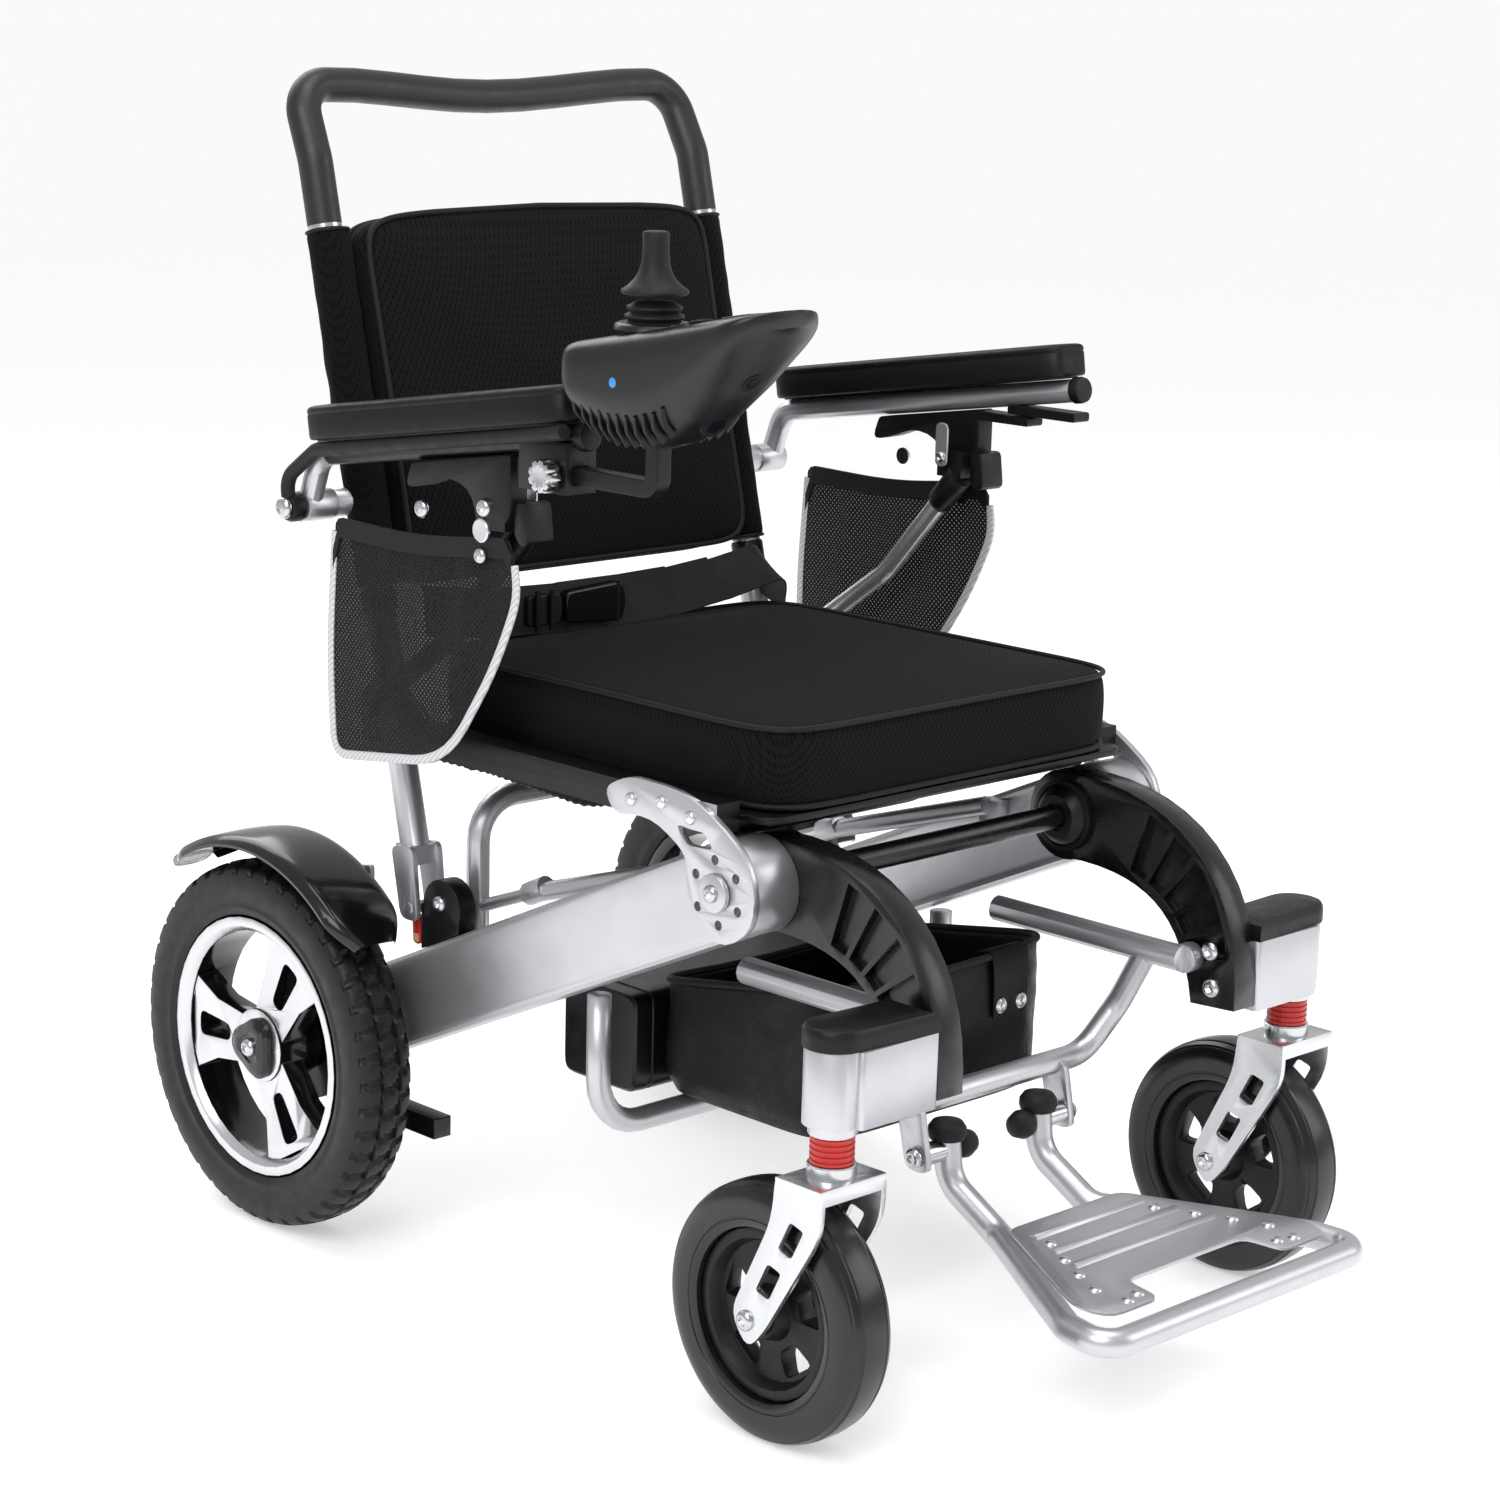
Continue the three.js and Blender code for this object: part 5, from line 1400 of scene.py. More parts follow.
@dataclass
class RearFrame:
    """Side beams, rear hoop, catches, levers, motors, mudguards, cradle and battery.

    Attributes:
        guard_sheet: Thickness of the mudguard.
        guard_arc: Angles about the wheel's axle where the mudguard ends.
        lens: Half sizes of the reflector lens.
    """

    guard_sheet: float = 2.6 * MM
    guard_arc: tuple[float, float] = (50.0, 140.0)
    lens: tuple[float, float] = (19 * MM, 12 * MM)

    def build(self) -> None:
        """Makes the rear frame."""
        dress("cradle_tube", ALUMINIUM, 0)
        dress("rear_hoop", ALUMINIUM, 0.6 * MM)
        for side in Side:
            tag = side.tag
            dress(f"side_beam_{tag}", ALUMINIUM, 0.8 * MM)
            dress(f"fold_catch_{tag}", ABS_BLACK, 0.8 * MM)
            dress(f"drive_motor_{tag}", CAST_BLACK, 1.0 * MM)
            self.lever(side)
            self.mudguard(side)
            self.catch_bolt(side)
            self.motor_fins(side)
        self.battery()

    def lever(self, side: Side) -> None:
        """The red release lever with its moulded grip and blank label."""
        tag = side.tag
        low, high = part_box(f"release_lever_{tag}")
        dress(f"release_lever_{tag}", ABS_RED, 0.8 * MM)
        faces = sorted(
            (outer_x(f"release_lever_{tag}", side) + d * side.value * MM for d in (0, 0.5))
        )
        label = slab(
            f"lever_label_{tag}",
            rounded_box(low.y + 2 * MM, low.z + 2 * MM, high.y - 2 * MM, low.z + 9 * MM, 1 * MM),
            *faces,
            Axis.X,
            LABEL_TAN,
        )
        place(label, f"release_lever_{tag}")

    def mudguard(self, side: Side) -> None:
        """The polished mudguard: a crowned strip with rolled edges and rounded ends, and its lens."""
        tag = side.tag
        low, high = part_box(f"mudguard_{tag}")
        axle = centre_of(f"tyre_{tag}")
        outer = max(abs(low.x), abs(high.x))
        inner = min(abs(low.x), abs(high.x)) + 5 * MM
        radius = high.z - axle.z - self.guard_sheet
        middle, half = (outer + inner) / 2, (outer - inner) / 2
        first, last = self.guard_arc
        profile = []
        for k in range(17):
            s = -1 + 2 * k / 16
            drop = 2.2 * MM * s * s + 6 * MM * max(0, abs(s) - 0.86) / 0.14
            profile.append((s, -drop))
        line = [(s, d + self.guard_sheet) for s, d in profile]
        line += [(s * 0.985, d) for s, d in reversed(profile)]
        rings = []
        steps = 56
        for i in range(steps + 1):
            share = i / steps
            turn = math.radians(first + (last - first) * share)
            end = min(share, 1 - share) * steps
            narrow = 1.0 if end > 7 else 0.55 + 0.45 * math.sin(math.pi / 2 * end / 7)
            lift = 3.0 * MM * (max(0, 6 - i) / 6) ** 2
            ring = []
            for s, rise in line:
                x = middle + half * narrow * s
                r = radius + rise + lift
                ring.append(
                    Vector(
                        (side.value * x, axle.y + r * math.cos(turn), axle.z + r * math.sin(turn))
                    )
                )
            rings.append(ring)
        place(
            loft(f"mudguard_shell_{tag}", rings, ABS_GLOSS, sharp=50), "rear_frame",
            f"mudguard_{tag}",
        )
        turn = math.radians(self.guard_arc[0] - 1.5)
        out = Vector((0, math.cos(turn), math.sin(turn)))
        reach = radius + 4 * MM
        tip = Vector((side.value * middle, axle.y + reach * out.y, axle.z + reach * out.z))
        along = Vector((0, math.sin(turn), -math.cos(turn)))
        lens_rings = []
        for height, grow in ((-3, 1.0), (0, 1.0), (1.8, 0.96), (3.2, 0.82), (4.0, 0.5), (4.2, 0.1)):
            lens_rings.append(
                [
                    tip + Vector((1, 0, 0)) * u * grow + along * v * grow + out * height * MM
                    for u, v in superellipse(self.lens[0], self.lens[1], 2.4, 40)
                ]
            )
        place(loft(f"reflector_lens_{tag}", lens_rings, LENS), "rear_frame")
        tab = centre_of(f"mudguard_{tag}")
        front, rear = tab.y - 64 * MM, tab.y - 34 * MM
        corners = [
            (front, axle.z + 96 * MM), (rear, axle.z + 92 * MM),
            (rear, axle.z + radius - 22 * MM), (front, axle.z + radius - 16 * MM),
        ]
        stay = slab(
            f"mudguard_stay_{tag}",
            rounded_outline(corners, 4 * MM),
            *sorted((side.value * 231 * MM, side.value * 235.5 * MM)),
            Axis.X,
            ALUMINIUM,
            0.6 * MM,
        )
        place(stay, "rear_frame")

    def catch_bolt(self, side: Side) -> None:
        """The bolt head of the fold catch."""
        node = f"fold_catch_{side.tag}"
        _, high, middle, _ = spans(node)
        at = (outer_x(node, side), middle.y, high.z - 20 * MM)
        button_bolt(f"catch_bolt_{side.tag}", at, (side.value, 0, 0), 7 * MM, "rear_frame")

    def motor_fins(self, side: Side) -> None:
        """Cooling fins round the drive motor."""
        low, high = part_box(f"drive_motor_{side.tag}")
        axle = centre_of(f"tyre_{side.tag}")
        inner = min(abs(low.x), abs(high.x))
        for i in range(5):
            x = inner + (4 + i * 7) * MM
            fin = lathe(
                f"motor_fin_{side.tag}_{i}",
                pairs_mm((-1.2, 44), (-1.2, 57.5), (1.2, 57.5), (1.2, 44)),
                (side.value * x, axle.y, axle.z),
                Axis.X,
                CAST_BLACK,
                48,
                closed=True,
            )
            place(fin, "rear_frame")

    def battery(self) -> None:
        """The battery case: a moulded box with a parting line, a handle and end caps."""
        _, high, middle, half = spans("battery_case")
        rings = []
        outline = superellipse(half.y, half.z, 10, 72)
        end = (
            (0.3, 1.0), (0.865, 1.0), (0.87, 0.975), (0.895, 0.975), (0.9, 1.0), (0.985, 0.985),
            (1, 0.93),
        )
        for x, grow in (*((-x, grow) for x, grow in reversed(end)), *end):
            at = middle + Vector((half.x * x, 0, 0))
            rings.append([at + Vector((0, u, v)) * grow for u, v in outline])
        place(loft("battery_shell", rings, ABS_SHELL), "rear_frame", "battery_case")
        corners = ((-40, -2), (-40, 14), (40, 14), (40, -2))
        base = Vector((0, high.y, middle.z + 18 * MM))
        handle = bent_path([base + mm(x, y, 0) for x, y in corners], 10 * MM)
        place(sweep("battery_handle", handle, 4.5 * MM, SOFT_RUBBER, sides=16), "rear_frame")


@dataclass
class StorageBag:
    """The coated cloth bag slung under the frame: it sags, and creases at its corners.

    Attributes:
        sag: How far the floor hangs in the middle.
        wall: Thickness of the cloth.
        straps: Distance of each strap from the middle.
    """

    sag: float = 8 * MM
    wall: float = 1.8 * MM
    straps: tuple[float, float] = (-74 * MM, 74 * MM)

    def build(self) -> None:
        """Makes the bag."""
        low, high, middle, half = spans("storage_bag")
        rings = []
        rows = 22
        outline = superellipse(half.x + 1 * MM, half.y + 1 * MM, 7, 132)
        for r in range(rows + 1):
            share = r / rows
            ring = []
            for u, v in outline:
                front = 0.5 - 0.5 * v / half.y
                rim = high.z - 1 * MM - (1 - front) * 34 * MM
                rim -= 6 * MM * (1 - (u / half.x) ** 2) * (0.4 + 0.6 * abs(v) / half.y)
                z = rim + (low.z + 6 * MM - rim) * share
                waist = 1 + 0.012 * math.sin(math.pi * share) ** 2 - 0.05 * max(
                    0, share - 0.85
                ) / 0.15
                at = Vector((middle.x + u * waist, middle.y + v * waist, z))
                crease = noise_at(Vector((at.x, at.y, at.z * 0.45)), 34 * MM, 2.0) * 4.6 * MM
                crease += noise_at(at, 15 * MM, 5.0) * 0.9 * MM
                out = Vector((u / half.x, v / half.y, 0)).normalized()
                ring.append(at + out * (crease * math.sin(math.pi * min(1, share * 1.1 + 0.05))))
            rings.append(ring)
        for shrink in (0.8, 0.55, 0.3, 0.08):
            ring = []
            for u, v in outline:
                at = Vector(
                    (
                        middle.x + u * 0.915 * shrink, middle.y + v * 0.915 * shrink,
                        low.z + 4.5 * MM - self.sag * 0.35 * (1 - shrink),
                    )
                )
                at.z += noise_at(at, 30 * MM, 1.0) * 1.5 * MM
                ring.append(at)
            rings.append(ring)
        count = len(outline)
        points = [p for ring in rings for p in ring]
        faces: list = list(ring_faces(len(rings), count))
        faces.append(tuple(range((len(rings) - 1) * count, len(rings) * count)))
        mesh = bpy.data.meshes.new("bag_body")
        mesh.from_pydata([tuple(p) for p in points], [], faces)
        mesh.update()
        body = link("bag_body", mesh, BAG_CLOTH, 180)
        work = bmesh.new()
        work.from_mesh(mesh)
        bmesh.ops.recalc_face_normals(work, faces=work.faces)
        work.to_mesh(mesh)
        work.free()
        thick = body.modifiers.new("cloth thickness", "SOLIDIFY")
        thick.thickness = self.wall
        thick.offset = -1
        place(body, "rear_frame", "storage_bag")
        self.soften(body, high.y)
        rim = closed_line([p + mm(0, 0, 1) for p in rings[0]], 3 * MM, "bag_rim_binding", NYLON)
        place(rim, "rear_frame")
        self.soften(rim, high.y)
        self.flap(low, high)

    @staticmethod
    def soften(piece: bpy.types.Object, anchor: float) -> None:
        """Gives a soft piece a mesh of its own."""
        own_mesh(piece)

    def flap(self, low: Vector, high: Vector) -> None:
        """The strap flaps over the bag's front edge, each with its snaps."""
        for i, x in enumerate(self.straps):
            rings = []
            path = (
                (-1.8, 12, 2), (-0.6, 4, 5), (0, -2.5, 3), (0, -4.5, -6), (0, -5, -20),
                (0, -5, -36), (0, -4.5, -50),
            )
            for k, (dx, dy, dz) in enumerate(path):
                at = Vector((x + dx * MM, low.y + dy * MM, high.z - 6 * MM + dz * MM))
                wide = (23 - 0.6 * k) * MM
                thick = Vector((0, -1.6 * MM, 0)) if k > 2 else Vector((0, -0.6 * MM, 1.6 * MM))
                line = [at + Vector(p) for p in ((-wide, 0, 0), (0, -1 * MM, 0), (wide, 0, 0))]
                rings.append([*line, *(p + thick for p in reversed(line))])
            strap = loft(f"bag_flap_{i}", rings, BAG_CLOTH, sharp=60)
            place(strap, "rear_frame")
            self.soften(strap, high.y)
            for k, dx in enumerate((-12, 12)):
                profile = pairs_mm((0, 6.5), (-1.4, 6.4), (-2.4, 5.2), (-2.9, 3.0), (-2.4, 2.0))
                at = (x + dx * MM, low.y - 6.4 * MM, high.z - 46 * MM)
                snap = lathe(f"bag_snap_{i}_{k}", profile, at, Axis.Y, ZINC, 32)
                place(snap, "rear_frame")
                self.soften(snap, high.y)


# ---------------------------------------------------------------- wheels


@dataclass
class DriveWheel:
    """A drive wheel: block-tread tyre and machined alloy rim with a lobed cap.

    Attributes:
        side: Which wheel.
        blocks: Tread blocks round the tyre.
        groove: Depth of the grooves.
    """

    side: Side
    blocks: int = 44
    groove: float = 3.6 * MM

    def build(self) -> None:
        """Makes the wheel."""
        self.tyre()
        self.rim()
        self.cap()

    def tyre(self) -> None:
        """The tyre, with three rows of tread blocks and a fine line on each sidewall."""
        _, _, centre, size = spans(f"tyre_{self.side.tag}")
        outer, half = size.z, size.x
        seat = spans(f"rim_{self.side.tag}")[3].z + 0.3 * MM
        tall = outer - seat
        wall = [
            (0.70, 0), (0.84, 0.03), (0.93, 0.14), (0.945, 0.2), (0.93, 0.22), (0.975, 0.34),
            (1.0, 0.5), (0.99, 0.62), (0.955, 0.74), (0.93, 0.79),
        ]
        tread = [
            (0.91, 0.83), (0.85, 0.885), (0.80, 0.91), (0.66, 0.95), (0.50, 0.975), (0.40, 0.984),
            (0.36, 0.986), (0.30, 0.99), (0.26, 0.992), (0.14, 0.998), (0.0, 1.0),
        ]
        halfway = wall + tread
        profile = [(-half * a, seat + tall * r) for a, r in halfway]
        profile += [(half * a, seat + tall * r) for a, r in reversed(halfway[:-1])]

        def cut(turn: float, along: float, radius: float) -> float:
            """Lowers the tyre's surface in the grooves between its blocks."""
            share = abs(along) / half
            if radius < seat + tall * 0.80:
                return radius
            cell = turn / (2 * math.pi) * self.blocks
            deep = self.groove
            if 0.285 < share < 0.37:
                return radius - deep
            if share <= 0.285:
                skew = cell + 0.5 * along / half
                return radius - (deep if skew % 1 < 0.26 else 0)
            skew = cell + 0.5 + 0.35 * math.copysign(share, along)
            return radius - (deep * (1.15 if share > 0.75 else 0.9) if skew % 1 < 0.3 else 0)

        tyre = lathe(
            f"tyre_tread_{self.side.tag}", profile, centre, Axis.X, TYRE, self.blocks * 8, 40, cut,
            closed=True,
        )
        place(tyre, f"rear_wheel_{self.side.tag}", f"tyre_{self.side.tag}")

    def rim(self) -> None:
        """The rim: bare machined faces, with the pockets and the barrel in black."""
        low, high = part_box(f"rim_{self.side.tag}")
        outer = high.x if self.side is Side.LEFT else low.x
        centre = (low + high) / 2

        def rule(middle: Vector, normal: Vector) -> int:
            """Machined on the faces that the lathe reached, black elsewhere."""
            reach = math.hypot(middle.y - centre.y, middle.z - centre.z)
            facing = normal.x * self.side.value > 0.5
            return 0 if facing and (abs(middle.x - outer) < 16 * MM or reach > 98 * MM) else 1

        dress_faces(f"rim_{self.side.tag}", (BRIGHT_ALUMINIUM, ABS_GLOSS), rule, 0.8 * MM)

    def cap(self) -> None:
        """The three-lobed hub cap with its bolt."""
        low, high, centre, _ = spans(f"rim_{self.side.tag}")
        face = max(abs(low.x), abs(high.x)) - 3 * MM

        def lobes(turn: float, along: float, radius: float) -> float:
            """Swells the cap towards its three arms."""
            return radius * (1 + 0.14 * math.cos(3 * turn)) if radius > 12 * MM else radius

        profile = pairs_mm((0, 25), (4, 25), (7, 22), (8, 17), (8.4, 13), (7.2, 11.5), (7.2, 9))
        origin = Vector((self.side.value * face, centre.y, centre.z))
        cap = lathe(
            f"hub_cap_{self.side.tag}", [(a * self.side.value, r) for a, r in profile], origin,
            Axis.X, ABS_GLOSS, 72, 32, lobes,
        )
        body = f"rear_wheel_{self.side.tag}"
        place(cap, body)
        button_bolt(
            f"hub_cap_bolt_{self.side.tag}", origin + Vector((self.side.value * 7 * MM, 0, 0)),
            (self.side.value, 0, 0), 8 * MM, body, ZINC,
        )


@dataclass
class Caster:
    """A swivel caster: stem cap, ribbed sleeve and collars, fork, tyre and stepped rim.

    Attributes:
        side: Which caster.
        ribs: Ribs on the red sleeve.
    """

    side: Side
    ribs: int = 5

    def build(self) -> None:
        """Makes the caster."""
        tag = self.side.tag
        dress(f"caster_fork_{tag}", BRIGHT_ALUMINIUM, 1.0 * MM)
        dress(f"caster_rim_{tag}", ABS_BLACK, 1.2 * MM)
        self.tyre()
        self.sleeve()
        self.cap()
        self.axle()

    def tyre(self) -> None:
        """The solid tyre: glossy, with two fine grooves round each shoulder."""
        _, _, centre, size = spans(f"caster_tyre_{self.side.tag}")
        outer, half = size.z, size.x
        seat = spans(f"caster_rim_{self.side.tag}")[3].z + 0.3 * MM
        tall = outer - seat
        line = [
            (0.70, 0), (0.9, 0.03), (0.97, 0.12), (0.985, 0.2), (0.955, 0.215), (0.955, 0.245),
            (0.99, 0.26), (1.0, 0.45), (0.985, 0.6), (0.93, 0.76), (0.86, 0.845), (0.80, 0.855),
            (0.77, 0.905), (0.60, 0.965), (0.56, 0.945), (0.50, 0.945), (0.46, 0.982),
            (0.25, 0.997), (0.0, 1.0),
        ]
        profile = [(-half * a, seat + tall * r) for a, r in line]
        profile += [(half * a, seat + tall * r) for a, r in reversed(line[:-1])]
        tyre = lathe(
            f"caster_tread_{self.side.tag}", profile, centre, Axis.X, SOLID_TYRE, 112, 35,
            closed=True,
        )
        place(tyre, f"caster_wheel_{self.side.tag}", f"caster_tyre_{self.side.tag}")

    def sleeve(self) -> None:
        """The red ribbed sleeve between two bright collars, over the fork's plain stem."""
        x, y = self.stem_x(), self.stem_y()
        origin = (x, y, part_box(f"stem_block_{self.side.tag}")[0].z)
        body = f"caster_{self.side.tag}"
        profile = [(-30 * MM, 14.4 * MM)]
        step = 22 * MM / self.ribs
        for i in range(self.ribs):
            z = -29.8 * MM + i * step
            profile += [
                (z, 15.4 * MM), (z + step * 0.15, 16.6 * MM), (z + step * 0.6, 16.6 * MM),
                (z + step * 0.75, 15.4 * MM),
            ]
        profile.append((-7.9 * MM, 14.4 * MM))
        place(lathe(f"stem_sleeve_{self.side.tag}", profile, origin, Axis.Z, ABS_RED, 48, 25), body)
        for name, start, end in (("upper", -8, -0.6), ("lower", -41, -30)):
            ring = pairs_mm((start, 17), (start + 1, 18.4), (end - 1, 18.4), (end, 17))
            place(
                lathe(f"stem_collar_{name}_{self.side.tag}", ring, origin, Axis.Z, ZINC, 48, 25),
                body,
            )

    def stem_x(self) -> float:
        """The stem's X, under the middle of the caster tyre."""
        return centre_of(f"caster_tyre_{self.side.tag}").x

    def stem_y(self) -> float:
        """The stem's Y, in the middle of the stem block's barrel."""
        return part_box(f"stem_block_{self.side.tag}")[1].y - STEM_BACK

    def cap(self) -> None:
        """The black cover over the stem block: a flat lid with an eased edge."""
        tag = self.side.tag
        low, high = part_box(f"stem_block_{tag}")
        sign = self.side.value
        dress(f"stem_block_{tag}", ALUMINIUM, 1.0 * MM)
        x, y = self.stem_x(), self.stem_y()
        inner = min(abs(low.x), abs(high.x)) * sign
        radius = 24.5 * MM
        points = []
        for i in range(25):
            turn = math.pi * (i / 24 - 0.5)
            points.append((x + sign * radius * math.cos(turn), y + radius * math.sin(turn)))
        points += [(inner, y + 20 * MM), (inner, low.y - 0.8 * MM)]
        rings = []
        for z, grow in ((0.2, 1.0), (9, 1.0), (13, 0.98), (15.5, 0.92), (16.5, 0.82), (16.7, 0.2)):
            level = high.z + z * MM
            rings.append(
                [Vector((x + (u - x) * grow, y + (v - y) * grow, level)) for u, v in points]
            )
        place(loft(f"stem_cap_{tag}", rings, ABS_BLACK), "front_frame")

    def axle(self) -> None:
        """The axle bolt's head and nut on the fork's two ends."""
        tag = self.side.tag
        low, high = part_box(f"caster_fork_{tag}")
        tyre = centre_of(f"caster_tyre_{tag}")
        for name, x, way in (("outer", high.x, 1), ("inner", low.x, -1)):
            at = (x - way * 3 * MM, tyre.y, tyre.z)
            button_bolt(f"caster_axle_{name}_{tag}", at, (way, 0, 0), 8 * MM, f"caster_{tag}")


@dataclass
class FrontFrame:
    """The cast front arms with their pivots and bolts, and the tube frame under the seat's front.

    Attributes:
        knob: Radius of the pivot's cover at the arm's head.
    """

    knob: float = 22 * MM

    def build(self) -> None:
        """Makes the front frame."""
        dress("bag_rail_frame", ALUMINIUM, 0.5 * MM)
        hub = centre_of("pivot_shaft")
        for side in Side:
            tag, sign = side.tag, side.value
            dress(f"front_arm_{tag}", CAST_BLACK, 1.2 * MM)
            low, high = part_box(f"front_arm_{tag}")
            inner = min(abs(low.x), abs(high.x))
            profile = [
                (1 * MM, 30 * MM), (-4 * MM, 30 * MM), (-5 * MM, 26 * MM), (-4 * MM, 25 * MM),
                (-9 * MM, self.knob), (-12 * MM, 18 * MM), (-12.5 * MM, 12 * MM),
                (-11 * MM, 11 * MM), (-11 * MM, 6 * MM),
            ]
            knob = lathe(
                f"arm_pivot_knob_{tag}", [(a * sign, r) for a, r in profile],
                (sign * inner, hub.y, hub.z), Axis.X, ABS_BLACK, 56, 25,
            )
            place(knob, "front_frame")
            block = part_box(f"stem_block_{tag}")
            for i, (dy, dz) in enumerate(((27, 50), (24, 20))):
                at = Vector((sign * inner, block[0].y + dy * MM, block[0].z + dz * MM))
                button_bolt(f"arm_bolt_{tag}_{i}", at, (-sign, 0, 0), 8 * MM, "front_frame")


@dataclass
class Footrest:
    """The flip-up footrest: one bent tube, a pressed plate and rubber bumpers.

    Attributes:
        leg: Distance of each leg from the middle.
        half_width: Distance of the loop's sides from the middle.
        radius: The tube's radius, in metres; the other sizes are in millimetres.
        bend_y: Y of the bend between each leg and the loop.
        rear_z: Height of the tube's middle at the bend.
        front_y: Y of the loop's front.
        front_z: Height of the tube's middle at the front.
    """

    leg: float = 54
    half_width: float = 153
    radius: float = 11 * MM
    bend_y: float = -317
    rear_z: float = 111
    front_y: float = -488
    front_z: float = 106

    def height(self, y: float) -> float:
        """Height of the tube's middle at a distance along it."""
        return self.rear_z - (self.rear_z - self.front_z) * (self.bend_y - y) / (
            self.bend_y - self.front_y
        )

    def build(self) -> None:
        """Makes the footrest."""
        flare = self.front_y + 42

        def half(sign: int) -> list[Vector]:
            """The corners of one leg."""
            return [
                mm(sign * self.leg, FOOT_PIVOT[0], FOOT_PIVOT[1] + 12),
                mm(sign * self.leg, FOOT_PIVOT[0] - 4, FOOT_PIVOT[1] - 26),
                mm(sign * self.leg, self.bend_y + 20, self.height(self.bend_y + 20)),
                mm(sign * (self.half_width - 6), flare, self.height(flare)),
            ]

        front = [
            mm(-self.half_width, self.front_y, self.front_z),
            mm(self.half_width, self.front_y, self.front_z),
        ]
        path = bent_path([*half(-1), *front, *reversed(half(1))], 30 * MM, 12)
        place(
            sweep("footrest_loop", path, self.radius, ALUMINIUM, sides=28, up=(1, 0, 0)),
            "footrest", "footrest_tube",
        )
        dress("footrest_plate", ALUMINIUM, 0.8 * MM)
        self.studs()
        for side in Side:
            self.joint(side)

    def studs(self) -> None:
        """The round tread studs pressed along both sides of the plate."""
        slope = (self.rear_z - self.front_z) / (self.bend_y - self.front_y)
        top = self.rear_z + 14.3
        spots = ((62, 38), (78, 66), (92, 92), (104, 118), (100, 146), (84, 142))
        profile = pairs_mm((-0.5, 5.6), (0.9, 5.2), (2.1, 3.8), (2.5, 1.6))
        for side in Side:
            for i, (x, back) in enumerate(spots):
                at = mm(side.value * x, self.bend_y - back, top - slope * back)
                name = f"plate_stud_{side.tag}_{i}"
                place(lathe(name, profile, at, Axis.Z, BRIGHT_ALUMINIUM, 24, 60), "footrest")

    def joint(self, side: Side) -> None:
        """One leg's pivot: pin with bolt head, sleeve ring and its two rubber bumpers."""
        tag, sign = side.tag, side.value
        for i, (a, b, r) in enumerate(((54, 81.6, 9), (54, 92, 5.6))):
            pin = sweep(
                f"footrest_pin_{tag}_{i}", [mm(sign * x, *FOOT_PIVOT) for x in (a, b)], r * MM,
                ZINC, sides=32,
            )
            ease(pin, 0.8 * MM)
            place(pin, "footrest")
        button_bolt(
            f"footrest_bolt_{tag}", mm(sign * 91, *FOOT_PIVOT), (sign, 0, 0), 8 * MM, "footrest"
        )
        profile = pairs_mm((0, 11.2), (0.5, 14), (5, 15.5), (10, 15.2), (14.5, 12), (16, 6))
        place(
            lathe(
                f"footrest_bumper_{tag}", profile, mm(sign * self.leg, *FOOT_PIVOT) + mm(0, 0, 8),
                Axis.Z, SOFT_RUBBER, 40, 50,
            ),
            "footrest",
        )
        profile = pairs_mm(
            *((a * sign, r) for a, r in ((-30, 4), (-28, 9), (-20, 12), (-13, 11), (-9, 7)))
        )
        origin = mm(sign * self.leg, *FOOT_PIVOT)
        place(
            lathe(f"footrest_stop_{tag}", profile, origin, Axis.X, SOFT_RUBBER, 36, 50), "footrest"
        )


# ---------------------------------------------------------------- backrest


